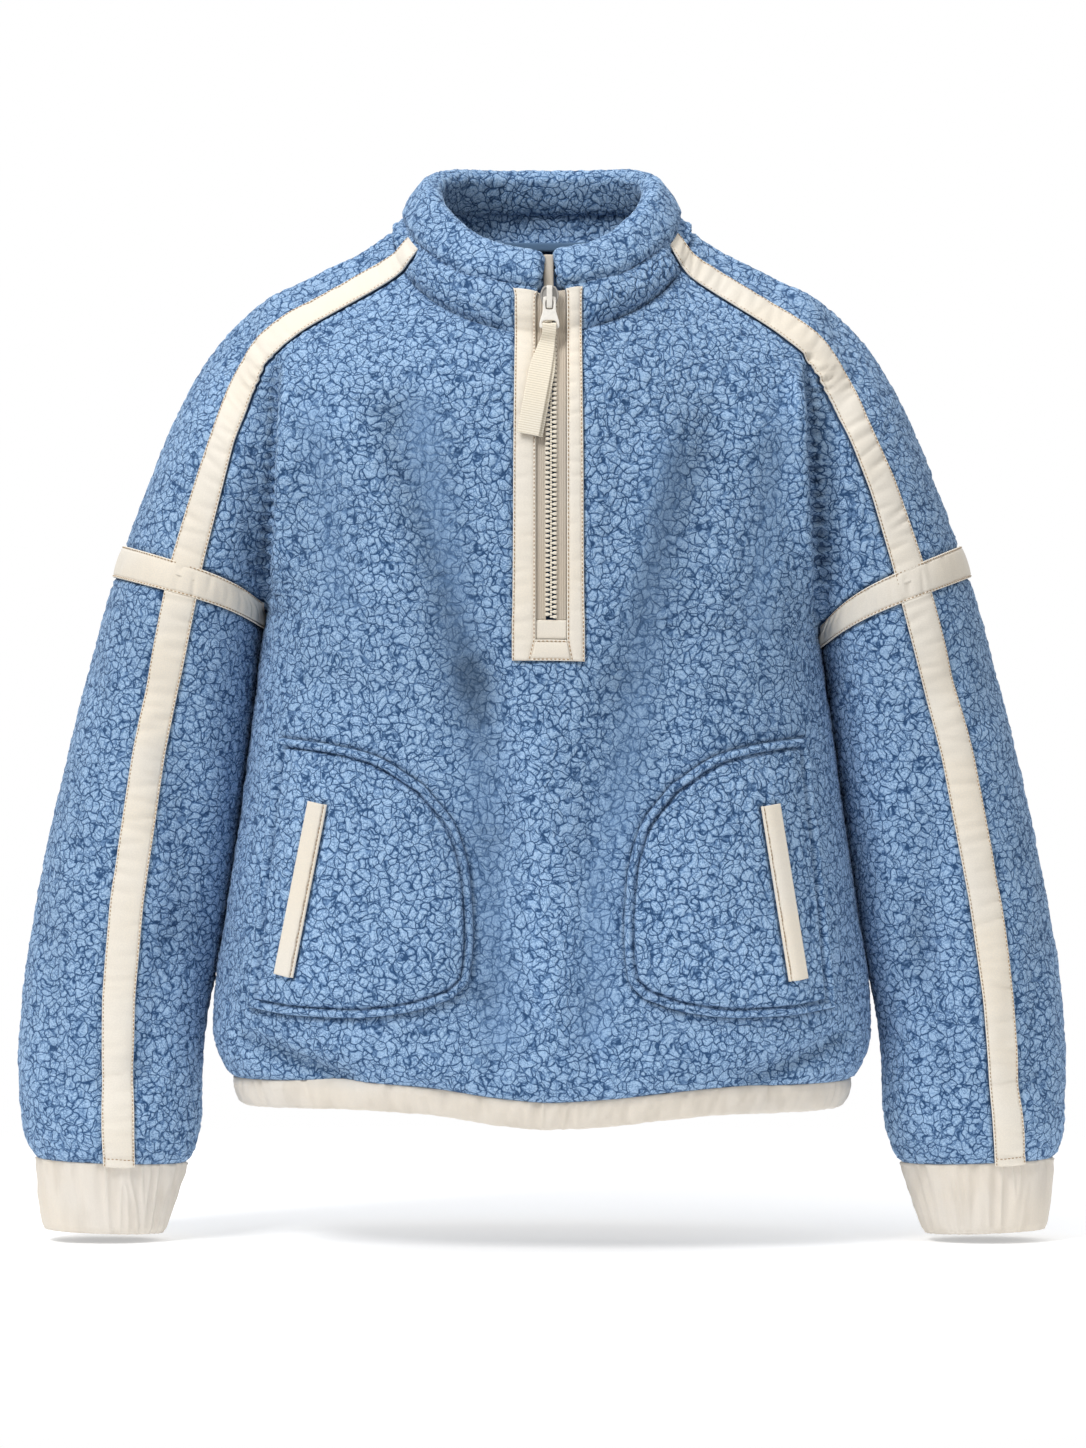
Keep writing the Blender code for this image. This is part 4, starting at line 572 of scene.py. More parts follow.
def torso_ring(z):
    """A ring of the torso: from the left side over the front to the right side, and back."""
    r = read(TORSO, "z", z)
    angle = np.linspace(0, math.pi / 2, RING_POINTS)
    out, deep = np.sin(angle) ** (2 / r["power"]), np.cos(angle) ** (2 / r["power"])

    def height(side, face):
        """Level, but for the armpits, and for the hem, which dips at the middle of the front."""
        near_armpit = 1 - ease((TORSO["z"][0] - z) / 0.10)
        near_hem = ease((-0.50 - z) / 0.10)
        at_side = smooth(HEM["x"], HEM["rise"], side * r["half_width"])
        rise = smooth(HEM["x"], HEM["rise"], side * r["half_width"] * out)
        rise = at_side + (rise - at_side) * HEM_SHARE[face]
        return z + (ARMPIT_Z[side] - YOKE["front_z"][-1]) * near_armpit * ease(out) + near_hem * rise

    def half_ring(face, depth):
        x, y = r["half_width"] * out, face * depth * deep
        sides = [np.stack([s * x, y, height(s, face)], axis=1) for s in (LEFT, RIGHT)]
        return np.concatenate([sides[0][::-1], sides[1][1:]])

    front, back = half_ring(FRONT, r["front"]), half_ring(BACK, r["back"])[::-1]
    stops = [0.0, *[distance_at_x(front, x) for x in FRONT_X], along(front)[-1]]
    over_front = at_distance(front, divide(stops, [CELLS["chest"], *[CELLS["band"]] * 5, CELLS["chest"]]))
    stops = [0.0, along(back)[-1] / 2, along(back)[-1]]
    return over_front, at_distance(back, divide(stops, [CELLS["back"], CELLS["back"]]))


def sleeve_ring(rows, length, side, droop):
    """A closed ring from the inner edge over the front, the outer edge and the back."""
    front = sleeve_arc(rows, length, side, FRONT, droop)
    back = sleeve_arc(rows, length, side, BACK, droop)[::-1]
    whole = np.concatenate([front, back[1:]])
    strip, end = crossing(front, side), along(whole)[-1]
    half = STRIP_WIDTH / 2
    cells = [CELLS["arm_front"], CELLS["strip"], CELLS["strip"], CELLS["arm_back"]]
    return at_distance(whole, divide([0.0, strip - half, strip, strip + half, end], cells))


# ---------------------------------------------------------------- folds
def fold_lines(folds, step):
    """Each row of a table of folds, with the points of its bow through its middle point."""
    for row in zip(*folds.values()):
        f = dict(zip(folds, row))
        ends = [np.array([f[f"x{k}"], f[f"z{k}"]]) for k in range(3)]
        knee = 2 * ends[1] - (ends[0] + ends[2]) / 2
        yield f, (1 - step) ** 2 * ends[0] + 2 * (step * (1 - step)) * knee + step**2 * ends[2]


def facing(normals, face, sharp):
    """How far a point's normal looks to the face that a fold is on, 1 the front or 2 the back."""
    return ease((-normals[:, 1] if face == 1 else normals[:, 1]) * sharp)


def fold_depth(points, normals):
    """How far in each point is pushed by the folds and creases of the face it is on."""
    total = np.zeros(len(points))
    step = np.linspace(0, 1, FOLD_STEPS)[:, None]
    flat = points[:, [0, 2]]
    for f, line in (pair for folds in (FOLDS, CREASES) for pair in fold_lines(folds, step)):
        nearest, share = np.full(len(points), np.inf), np.zeros(len(points))
        for k, (a, b) in enumerate(zip(line[:-1], line[1:])):
            t = np.clip((flat - a) @ (b - a) / max((b - a) @ (b - a), 1e-12), 0, 1)
            away = np.linalg.norm(flat - a - t[:, None] * (b - a), axis=1)
            share = np.where(away < nearest, (k + t) / (FOLD_STEPS - 1), share)
            nearest = np.minimum(nearest, away)
        taper = 0.35 + 0.65 * np.clip(np.minimum(share, 1 - share) * 4, 0, 1)
        total += f["depth"] * fading(nearest, f["reach"]) * taper * facing(normals, f["face"], 2)
    return total


# ---------------------------------------------------------------- the skin
ARM = CELLS["arm_front"] + CELLS["strip"]
ARM_BACK = CELLS["arm_back"] + CELLS["strip"]
NECK_ROW = len(STAND_ROWS)
ARMHOLE_ROW = NECK_ROW + len(YOKE_ROWS) - 1
SLEEVE_END = len(SLEEVE_ROWS)


class Skin:
    """All points of the garment's outside, with shared normals, and blocks of indices into them."""

    def __init__(self):
        self.chunks, self.count, self.blocks = [], 0, {}

    def add(self, name, rows):
        rows = np.asarray(rows)
        self.blocks[name] = self.count + np.arange(rows.shape[0] * rows.shape[1]).reshape(rows.shape[:2])
        self.chunks.append(rows.reshape(-1, 3))
        self.count += rows.shape[0] * rows.shape[1]

    def finish(self, quads):
        """Points that lie on each other become one for the normals, the creases and the smoothing."""
        points = np.concatenate(self.chunks)
        _, first, same = np.unique(np.round(points, 6), axis=0, return_index=True, return_inverse=True)
        same = same.reshape(-1)
        points, cells = points[first], same[quads]
        for step in range(3):
            corner = points[cells]
            way = np.cross(corner[:, 2] - corner[:, 0], corner[:, 3] - corner[:, 1])
            normals = np.zeros_like(points)
            for k in range(4):
                np.add.at(normals, cells[:, k], way)
            normals /= np.maximum(np.linalg.norm(normals, axis=1, keepdims=True), 1e-12)
            if step == 0:
                points = points - normals * fold_depth(points, normals)[:, None]
            if step == 1:
                points = even_out(points, cells, 2)
        self.points, self.normals = points[same], normals[same]


def even_out(points, cells, times):
    """Each point moves half way to the middle of its neighbours, except on the edges of the cloth."""
    a, b = cells.reshape(-1), np.roll(cells, -1, axis=1).reshape(-1)
    ends = np.sort(np.stack([a, b], axis=1), axis=1)
    pairs, count = np.unique(ends, axis=0, return_counts=True)
    edge = np.zeros(len(points), bool)
    edge[pairs[count == 1].reshape(-1)] = True
    for _ in range(times):
        total, number = np.zeros_like(points), np.zeros(len(points))
        for i, j in ((0, 1), (1, 0)):
            np.add.at(total, pairs[:, i], points[pairs[:, j]])
            np.add.at(number, pairs[:, i], 1)
        middle = total / np.maximum(number, 1)[:, None]
        points = np.where(edge[:, None], points, points * 0.5 + middle * 0.5)
    return points


def quads_between(block, flip=False):
    a, b, c, d = block[:-1, :-1], block[1:, :-1], block[1:, 1:], block[:-1, 1:]
    cells = np.stack([a, b, c, d], axis=-1).reshape(-1, 4)
    return cells[:, ::-1] if flip else cells


def over_arm(front, back, side):
    """The part of a yoke's ring that goes over an arm, from the armpit over the front and the back."""
    if side == LEFT:
        front, back = front[::-1], back[::-1]
    return np.concatenate([front[-ARM - 1 :], back[1 : ARM_BACK + 1]])


def build_skin():
    skin = Skin()
    rings = [upper_ring(lambda s, f, k=k: stand_arc(k, s, f), 0.0) for k in STAND_ROWS]
    rings += [upper_ring(lambda s, f, u=share: yoke_arc(u, s, f), share) for share in YOKE_ROWS]
    skin.add("front_upper", [r[0] for r in rings])
    skin.add("back_upper", [r[1] for r in rings])
    torso = [torso_ring(z) for z in TORSO_ROWS_Z]
    levels = np.linspace(0, 1, BAND_ROWS + 1)[1:]
    bands = []
    for k in (0, 1):
        low = torso[-1][k].copy()
        low[:, :2] *= (1 - HEM_BAND_IN / np.linalg.norm(low[:, :2], axis=1))[:, None]
        low[:, 2] += HEM_BAND_Z - TORSO_ROWS_Z[-1]
        bands.append([torso[-1][k] * (1 - t) + low * t for t in levels])
    skin.add("front_lower", [rings[-1][0][ARM:-ARM], *[t[0] for t in torso], *bands[0]])
    skin.add("back_lower", [rings[-1][1][ARM_BACK:-ARM_BACK], *[t[1] for t in torso], *bands[1]])
    for side in (LEFT, RIGHT):
        droop = ARMPIT_Z[side] - YOKE["front_z"][-1]
        tube = [sleeve_ring(SLEEVE, 0.0, side, droop)]
        tube += [sleeve_ring(SLEEVE, d, side, droop * max(0.0, 1 - d / 0.10)) for d in SLEEVE_ROWS]
        tube += [sleeve_ring(CUFF, d, side, 0.0) for d in CUFF_ROWS]
        tube[0] = over_arm(*rings[-1], side)
        tube[0][-1] = tube[0][0]
        skin.add(f"sleeve_{SIDE_NAME[side]}", tube)
    quads = [quads_between(block, name == "sleeve_left") for name, block in skin.blocks.items()]
    skin.finish(np.concatenate(quads))
    return skin


def refined(grid, factor, axis, before=None, after=None, closed=False):
    """Points between the points of a grid along one axis, on smooth curves through them."""
    g = np.moveaxis(grid, axis, 0)
    if closed:
        before, after = g[-2], g[1]
    first = 2 * g[0] - g[1] if before is None else before
    last = 2 * g[-1] - g[-2] if after is None else after
    g = np.concatenate([first[None], g, last[None]])
    p = [g[k : len(g) - 3 + k] for k in range(4)]
    parts = []
    for t in np.arange(factor) / factor:
        w = (-t + 2 * t**2 - t**3, 2 - 5 * t**2 + 3 * t**3, t + 4 * t**2 - 3 * t**3, -(t**2) + t**3)
        parts.append(sum(wi * pi for wi, pi in zip(w, p)) / 2)
    out = np.stack(parts, axis=1).reshape((-1,) + g.shape[1:])
    return np.moveaxis(np.concatenate([out, g[-2:-1]]), 0, axis)


class Grid:
    """A fine grid of points and normals, with `k` cells for each cell of the coarse one."""

    def __init__(self, points, normals, k, flip=False):
        self.points, self.normals, self.k, self.flip = points, normals, k, flip

    def part(self, r0, r1, c0, c1):
        """The stretch between two rows and two columns of the coarse grid, both included."""
        rows, columns = slice(r0 * self.k, r1 * self.k + 1), slice(c0 * self.k, c1 * self.k + 1)
        return Grid(self.points[rows, columns], self.normals[rows, columns], self.k, self.flip)

    def moved(self, height):
        """The same grid, moved out along its normals."""
        height = np.broadcast_to(height, self.points.shape[:2])[..., None]
        return Grid(self.points + self.normals * height, self.normals, self.k, self.flip)

    def flat(self):
        return self.points.reshape(-1, 3)


def folded(folds, points, normals):
    """How far in each point is pushed by the folds of the face it is on."""
    total = np.zeros(len(points))
    step = np.linspace(0, 1, SHARP_STEPS)
    flat = points[:, [0, 2]]
    for f, line in fold_lines(folds, step[:, None]):
        room = 3 * f["reach"]
        box = np.all((flat > line.min(axis=0) - room) & (flat < line.max(axis=0) + room), axis=1)
        hit = np.nonzero(box)[0]
        if not len(hit):
            continue
        off = np.linalg.norm(flat[hit][:, None] - line[None], axis=2)
        taper = ease(np.clip(np.minimum(step, 1 - step) * 5, 0, 1))[off.argmin(axis=1)]
        depth = f["depth"] * fading(off.min(axis=1), f["reach"])
        total[hit] += depth * taper * facing(normals[hit], f["face"], 2.5)
    return total


HEM_SEAM_Z, TORSO_HALF = 0.603, 0.236  # how far down the hem's seam is, and how wide the torso


def sharpened(grid):
    """The grid with the sharper folds, and swollen where a sleeve hangs against the body."""
    points, normals = grid.points.reshape(-1, 3), grid.normals.reshape(-1, 3)
    out, z = np.abs(points[:, 0]), points[:, 2]
    inward = -np.sign(points[:, 0]) * normals[:, 0]
    beside = ease((-0.265 - z) / 0.03) * ease((z + 0.565) / 0.05)
    reach = ease((0.262 - out) / 0.02) * ease((out - 0.19) / 0.01)
    swell = beside * reach * (0.0026 * ease(inward * 1.5) + 0.0012 * ease(-inward * 1.5))
    # The hem's seam holds the cloth where it is.
    pinned = fading(z + HEM_SEAM_Z, 0.0075) * (out < TORSO_HALF)
    pinned = np.where((z < -HEM_SEAM_Z) & (out < TORSO_HALF), 1.0, pinned)
    depth = (folded(SHARP, points, normals) * (1 - pinned) - swell).reshape(grid.points.shape[:2])
    return grid.moved(-depth)


def fine_grid(skin, block, k, before=None, after=None, closed=False, flip=False):
    """A fine grid over a block of the skin, or over any block of point numbers. It continues to the
    rows before and after it, and round on itself where it is closed."""
    if isinstance(block, str):
        flip, block = block == "sleeve_left", skin.blocks[block]
    made = []
    for values in (skin.points, skin.normals):
        ends = [None if e is None else values[e] for e in (before, after)]
        made.append(refined(refined(values[block], k, 0, *ends), k, 1, closed=closed))
    return Grid(made[0], unit(made[1]), k, flip)


def fine_grids(skin):
    """Each block of the skin made fine, continuing smoothly where two blocks meet."""
    b = skin.blocks
    made = {}
    for face, k, arm in (("front", FRONT_FINE, ARM), ("back", BACK_FINE, ARM_BACK)):
        upper, lower = b[f"{face}_upper"], b[f"{face}_lower"]
        beyond = upper[-1].copy()
        beyond[arm:-arm] = lower[1]
        for side in (LEFT, RIGHT):
            ring = b[f"sleeve_{SIDE_NAME[side]}"][1]
            # The sleeve's second ring over this face, from the armpit to the strip's middle.
            part = ring[: ARM + 1] if face == "front" else ring[ARM:][::-1]
            if (side == LEFT) == (face == "front"):
                beyond[:arm] = part[1:][::-1]
            else:
                beyond[-arm:] = part[1:]
        up = fine_grid(skin, f"{face}_upper", k, after=beyond)
        low = fine_grid(skin, f"{face}_lower", k, before=upper[-2, arm:-arm])
        for name in ("points", "normals"):
            getattr(low, name)[0] = getattr(up, name)[-1, arm * k : -arm * k]
        made[f"{face}_upper"], made[f"{face}_lower"] = up, low
    for side in (LEFT, RIGHT):
        name = f"sleeve_{SIDE_NAME[side]}"
        before = over_arm(b["front_upper"][-2], b["back_upper"][-2], side)
        for k, key in ((FRONT_FINE, name), (BACK_FINE, f"{name}_back")):
            made[key] = fine_grid(skin, name, k, before=before, closed=True)
    return {name: sharpened(grid) for name, grid in made.items()}


# ---------------------------------------------------------------- pieces
def merged(points):
    """The first point at each place, and for every point the number of that one."""
    places = np.round(points * 2e5).astype(np.int64)
    _, first, same = np.unique(places, axis=0, return_index=True, return_inverse=True)
    return first, same.reshape(-1)


def new_object(name, data):
    obj = bpy.data.objects.new(name, data)
    bpy.context.scene.collection.objects.link(obj)
    return obj


def add_piece(name, points, faces, material, smooth_angle=None):
    name += SUFFIX
    mesh = bpy.data.meshes.new(name)
    mesh.from_pydata(points, [], faces)
    mesh.materials.append(material)
    mesh.validate()
    mesh.update()
    mesh.shade_smooth()
    if smooth_angle:
        mesh.set_sharp_from_angle(angle=math.radians(smooth_angle))
    return new_object(name, mesh)


def shell(name, grids, wall, material, inner_fine=False, under=None):
    """A closed layer of cloth: fine outside, plain inside, and its rim. The inside lies `wall`
    below the outside, or on the grids of `under`. Returns the object, its outer points, which come
    first in it, their normals, and its inner points."""
    points, normals, cells, coarse, spans, count = [], [], [], [], {}, 0
    for g in grids:
        rows, columns = g.points.shape[:2]
        cells.append((count + np.arange(rows * columns).reshape(rows, columns), g))
        count += rows * columns
        points.append(g.flat())
        normals.append(g.normals.reshape(-1, 3))
    points, normals = np.concatenate(points), np.concatenate(normals)
    first, same = merged(points)
    faces = np.concatenate([quads_between(same[block], g.flip) for block, g in cells])
    points, normals = points[first], normals[first]
    for block, g in cells:
        block, k = same[block], 1 if inner_fine else g.k
        low = block[::k, ::k]
        coarse.append(quads_between(low, g.flip))
        for i, j in np.ndindex(low.shape):
            if j + 1 < low.shape[1] and i in (0, low.shape[0] - 1):
                spans[low[i, j], low[i, j + 1]] = block[i * k, j * k : (j + 1) * k + 1]
            if i + 1 < low.shape[0] and j in (0, low.shape[1] - 1):
                spans[low[i, j], low[i + 1, j]] = block[i * k : (i + 1) * k + 1, j * k]
    coarse = np.concatenate(coarse)
    used = np.unique(coarse)
    inner_of = np.full(len(points), -1)
    inner_of[used] = len(points) + np.arange(len(used))
    if under:
        inner = np.concatenate([g.flat() for g in under])[first][used]
    else:
        inner = points[used] - normals[used] * wall
    starts, ends = coarse.reshape(-1), np.roll(coarse, -1, axis=1).reshape(-1)
    known = set(zip(starts.tolist(), ends.tolist()))
    rim = []
    for a, b in known:
        if (b, a) in known:
            continue
        line = spans[a, b] if (a, b) in spans else spans[b, a][::-1]
        half = (len(line) - 1) // 2
        for t in range(len(line) - 1):
            rim.append((line[t + 1], line[t], inner_of[a] if t < half else inner_of[b]))
        rim.append((line[half], inner_of[a], inner_of[b]))
    rim = [tuple(map(int, corners)) for corners in rim]
    everything = [*faces.tolist(), *inner_of[coarse][:, ::-1].tolist(), *rim]
    obj = add_piece(name, np.concatenate([points, inner]), everything, material)
    return obj, points, normals, inner


def slab(name, grid, high, low, material, **options):
    """A layer of cloth between two heights over a grid."""
    return shell(name, [grid.moved(high)], 0.0, material, under=[grid.moved(low)], **options)[0]


# ---------------------------------------------------------------- materials
def linear(r, g, b):
    """A colour given as the screen shows it, 0 to 255, in linear light."""
    return tuple(((c / 255 + 0.055) / 1.055) ** 2.4 for c in (r, g, b)) + (1.0,)


class Field:
    """A value in a node tree, which can be added to, subtracted from and multiplied."""

    def __init__(self, nodes, socket):
        self.nodes, self.socket = nodes, socket

    def to(self, socket):
        self.nodes.tree.links.new(self.socket, socket)

    def __add__(self, other):
        return self.nodes.maths("ADD", self, other)

    def __sub__(self, other):
        return self.nodes.maths("SUBTRACT", self, other)

    def __rsub__(self, other):
        return self.nodes.maths("SUBTRACT", other, self)

    def __mul__(self, other):
        return self.nodes.maths("MULTIPLY", self, other)


class Nodes:
    """Short calls for making nodes, the same in a material and in a modifier."""

    def __init__(self, tree):
        self.tree = tree

    def make(self, kind, inputs=(), output=None, **settings):
        """A new node with these inputs, or the field that is this output of it."""
        node = self.tree.nodes.new(kind)
        for name, value in settings.items():
            setattr(node, name, value)
        for key, value in dict(inputs).items():
            if isinstance(value, Field):
                value.to(node.inputs[key])
            else:
                node.inputs[key].default_value = value
        return node if output is None else Field(self, node.outputs[output])

    def maths(self, operation, a, b=0.0):
        """Arithmetic on numbers, or on vectors where b is a vector."""
        kind = "ShaderNodeVectorMath" if is_vector(a) or is_vector(b) else "ShaderNodeMath"
        return self.make(kind, {0: a, 1: b}, 0, operation=operation)

    def larger(self, a, b):
        return self.maths("MAXIMUM", a, b)

    def sized(self, vector, factor):
        return self.make("ShaderNodeVectorMath", {0: vector, "Scale": factor}, 0, operation="SCALE")

    def noise(self, at, scale, detail=2.0, output="Fac"):
        return self.make("ShaderNodeTexNoise", {"Vector": at, "Scale": scale, "Detail": detail}, output)

    def to_cell_edge(self, at, scale):
        inputs = {"Vector": at, "Scale": scale}
        return self.make("ShaderNodeTexVoronoi", inputs, "Distance", feature="DISTANCE_TO_EDGE")

    def between(self, value, low, high, to_low=0.0, to_high=1.0, smooth=True):
        kind = "SMOOTHSTEP" if smooth else "LINEAR"
        inputs = {"Value": value, "From Min": low, "From Max": high, "To Min": to_low, "To Max": to_high}
        return self.make("ShaderNodeMapRange", inputs, "Result", interpolation_type=kind)

    def ramp(self, value, *stops):
        node = self.make("ShaderNodeValToRGB", {"Fac": value})
        ramp = node.color_ramp
        while len(ramp.elements) < len(stops):
            ramp.elements.new(0.5)
        for element, (place, colour) in zip(ramp.elements, stops):
            element.position, element.color = place, colour
        return Field(self, node.outputs["Color"])

    def mix(self, factor, a, b):
        return self.make("ShaderNodeMix", {0: factor, 6: a, 7: b}, 2, data_type="RGBA", blend_type="MIX")


def is_vector(value):
    return isinstance(value, tuple) or isinstance(value, Field) and value.socket.type in ("VECTOR", "RGBA")


HALF = (0.5, 0.5, 0.5)


def clumps(n, at):
    """How far a point on the undisplaced cloth is from the edge of its clump of pile and from the
    edge of its smaller tuft, in shares of their size."""
    drift = (n.noise(at, 55.0, 1.0, "Color") - HALF) * ((0.012,) * 3)
    close = (n.noise(at, 175.0, 0.0, "Color") - HALF) * ((0.0046,) * 3)
    bent = at + (drift + close)
    return n.to_cell_edge(bent, 148.0), n.to_cell_edge(bent + (0.3, 0.1, 0.2), 350.0)


def painted_fold_shade(n, fold):
    """Painted shade in the pile's colour: darker down in a fold, in metres of depth, and lighter along a
    ridge, a painted highlight.
    """
    down = n.between(fold, 0.0015, 0.0115, 1.0, 0.76) * n.between(fold, 0.0085, 0.0160, 1.0, 0.56)
    return down * n.between(fold, -0.0050, -0.0005, 1.07, 1.0)


def fresh_material(name, rough, **sockets):
    material = bpy.data.materials.new(name)
    material.use_nodes = True
    shader = material.node_tree.nodes["Principled BSDF"]
    shader.inputs["Roughness"].default_value = rough
    for key, value in sockets.items():
        shader.inputs[key.replace("_", " ")].default_value = value
    return material, Nodes(material.node_tree), shader


# The pile's colours, from painted shade down in the crevices to the blue of the tufts.
FLEECE_RAMP = (
    (0.20, linear(46, 77, 116)),
    (0.50, linear(99, 132, 172)),
    (0.76, linear(138, 169, 205)),
    (1.00, linear(168, 197, 227)),
)


def fleece_material():
    material, n, shader = fresh_material(
        "fleece_pile", 0.92, Specular_IOR_Level=0.12, Sheen_Weight=0.18, Sheen_Roughness=0.55
    )
    shader.inputs["Sheen Tint"].default_value = linear(196, 214, 236)
    at = n.make("ShaderNodeAttribute", (), "Vector", attribute_name="rest")
    pile, comb, fold = (
        n.make("ShaderNodeAttribute", (), "Fac", attribute_name=name) for name in ("pile", "comb", "fold")
    )
    edge, small_edge = clumps(n, at)
    # Painted shade darkens the crevices between the tufts and, a little, the tufts' sides. The crevices open
    # and close along their way, so that the tufts run into each other.
    closed_here = n.between(n.noise(at, 230.0, 1.0), 0.40, 0.62, 0.0, 0.60)
    crevice_shade = n.larger(n.between(edge, 0.0, 0.105, 0.20, 1.0), closed_here)
    crevice_shade = crevice_shade * n.between(edge, 0.0, 0.26, 0.90, 1.0)
    # Most tufts are whole, and others are parted by finer, shallower crevices, with lighter painted shade.
    whole = n.between(n.noise(at, 150.0, 1.0), 0.42, 0.58, 0.2, 0.95)
    fine = n.larger(n.between(small_edge, 0.0, 0.14, 0.56, 1.0), whole)
    # Thin lines of painted shade wind over the tufts.
    line = n.maths("ABSOLUTE", n.noise(at, 300.0, 0.5) - 0.5)
    without = n.between(n.noise(at, 130.0, 0.0), 0.46, 0.62, 0.0, 0.85)
    line = n.larger(n.between(line, 0.0, 0.050, 0.52, 1.0), without)
    stipple = n.between(n.noise(at, 1000.0, 1.0), 0.25, 0.75, 0.72, 1.14, smooth=False)
    light = crevice_shade * fine * line * stipple
    high = n.between(edge, 0.0, 0.12) * 0.55 + fine * 0.40 + line * 0.55 + n.noise(at, 700.0, 1.0) * 0.40
    # Combed pile shows streaks down the cloth instead.
    combed = n.noise(at * (1.0, 1.0, 0.22), 420.0) * 0.9 + 0.12
    soft = comb * 0.65
    light = light * (1.0 - soft) + combed * soft
    # Random tone over the cloth, times the painted shade down in the folds and the painted highlight along
    # the ridges.
    tone = n.between(n.noise(at, 9.0), 0.3, 0.7, 0.95, 1.05, smooth=False) * painted_fold_shade(n, fold)
    tree = n.sized(n.ramp(light, *FLEECE_RAMP), tone)
    backing = n.ramp(n.noise(at, 700.0), (0.3, linear(52, 76, 110)), (0.7, linear(72, 100, 136)))
    n.mix(n.between(pile, 0.0, 0.16), backing, tree).to(shader.inputs["Base Color"])
    bump = n.make("ShaderNodeBump", {"Strength": 0.60, "Distance": 0.0010, "Height": high}, 0)
    bump.to(shader.inputs["Normal"])
    return material


def pile_modifier():
    """Moves the outer points of a panel out into clumps, where its pile attribute says so."""
    tree = bpy.data.node_groups.new("pile", "GeometryNodeTree")
    for way in ("INPUT", "OUTPUT"):
        tree.interface.new_socket("Geometry", in_out=way, socket_type="NodeSocketGeometry")
    n = Nodes(tree)
    given, out = n.make("NodeGroupInput", (), 0), n.make("NodeGroupOutput")

    def named(name, kind):
        node = n.make("GeometryNodeInputNamedAttribute", {"Name": name}, data_type=kind)
        return Field(n, next(s for s in node.outputs if s.enabled and s.name == "Attribute"))

    kinds = {"rest": "FLOAT_VECTOR", "dir": "FLOAT_VECTOR", "pile": "FLOAT", "comb": "FLOAT"}
    at, way, pile, comb = (named(name, kind) for name, kind in kinds.items())
    edge, small_edge = clumps(n, at)
    tall = n.between(edge, 0.0, 0.15, -0.45, 0.35) + n.between(small_edge, 0.0, 0.25, -0.3, 0.15)
    tall = tall + (n.noise(at, 60.0, 1.0) - 0.5) * 1.8
    tall = tall * (pile * (1.0 - comb * 0.4))
    # Where the pile is held down by a seam or a strip, the cloth is also thinner.
    height = tall * PILE + (pile - 1.0) * PILE_HELD
    move = n.sized(way, height * n.maths("GREATER_THAN", pile, -0.5))
    place = n.make("GeometryNodeSetPosition", {"Geometry": given, "Offset": move}, 0)
    place.to(out.inputs[0])
    return tree


# ---------------------------------------------------------------- dressing the panels
def set_values(obj, name, kind, values):
    attribute = obj.data.attributes.new(name, kind, "POINT")
    key = "vector" if kind == "FLOAT_VECTOR" else "value"
    attribute.data.foreach_set(key, np.ascontiguousarray(values, np.float32).reshape(-1))


def evaluated(obj):
    """A new mesh of an object as its modifiers or its curve settings make it."""
    bpy.context.view_layer.update()
    return bpy.data.meshes.new_from_object(obj.evaluated_get(bpy.context.evaluated_depsgraph_get()))


def apply_modifiers(obj):
    mesh = evaluated(obj)
    obj.modifiers.clear()
    old = obj.data
    obj.data = mesh
    mesh.name = obj.name
    bpy.data.meshes.remove(old)


def nearness(points, covers):
    """The distance from each point to the nearest of the cover points."""
    tree = KDTree(len(covers))
    for i, p in enumerate(covers):
        tree.insert(p, i)
    tree.balance()
    return np.array([tree.find(p)[2] for p in points])


def comb_share(points, normals):
    """How far the pile is combed flat, which it is along the slopes of the larger folds."""
    total = np.zeros(len(points))
    for x0, z0, x1, z1, reach, much, face in COMBED:
        a, b = np.array([x0, z0]), np.array([x1, z1])
        flat = points[:, [0, 2]]
        t = np.clip((flat - a) @ (b - a) / ((b - a) @ (b - a)), 0, 1)
        away = np.linalg.norm(flat - a - t[:, None] * (b - a), axis=1)
        total = np.maximum(total, much * fading(away, reach) * ease(-face * normals[:, 1] * 2))
    return total


COMBED = (
    (-0.085, -0.130, -0.050, -0.330, 0.015, 0.9, 1),
    (-0.045, -0.330, -0.030, -0.560, 0.016, 0.7, 1),
    (0.090, -0.160, 0.050, -0.420, 0.015, 0.7, 1),
    (0.040, -0.440, 0.034, -0.560, 0.014, 0.6, 1),
    (-0.160, -0.130, -0.140, -0.260, 0.012, 0.5, 1),
    (0.165, -0.130, 0.150, -0.280, 0.012, 0.5, 1),
    (-0.080, -0.150, -0.065, -0.420, 0.018, 0.7, -1),
    (0.090, -0.160, 0.070, -0.440, 0.018, 0.7, -1),
    (-0.310, -0.330, -0.300, -0.560, 0.014, 0.6, -1),
    (0.305, -0.330, 0.308, -0.560, 0.014, 0.6, -1),
)


def fleece(name, grids, sewn):
    """A panel of fleece: a shell whose outside is thrown up into clumps, lower under the strips and
    pockets that are sewn on it, and along its seams."""
    obj, points, normals, inner = shell(name, grids, WALL, FLEECE)
    pile = np.ones(len(points))
    for places, clear, wide in ((covers, 0.0004, 0.0022), (pocket_covers, 0.0011, 0.0030)):
        pile = np.minimum(pile, ease((nearness(points, places) - clear) / wide))
    pile = np.minimum(pile, 0.06 + 0.94 * ease(nearness(points, sewn) / 0.0048))
    return pile_up(obj, points, normals, inner, pile)


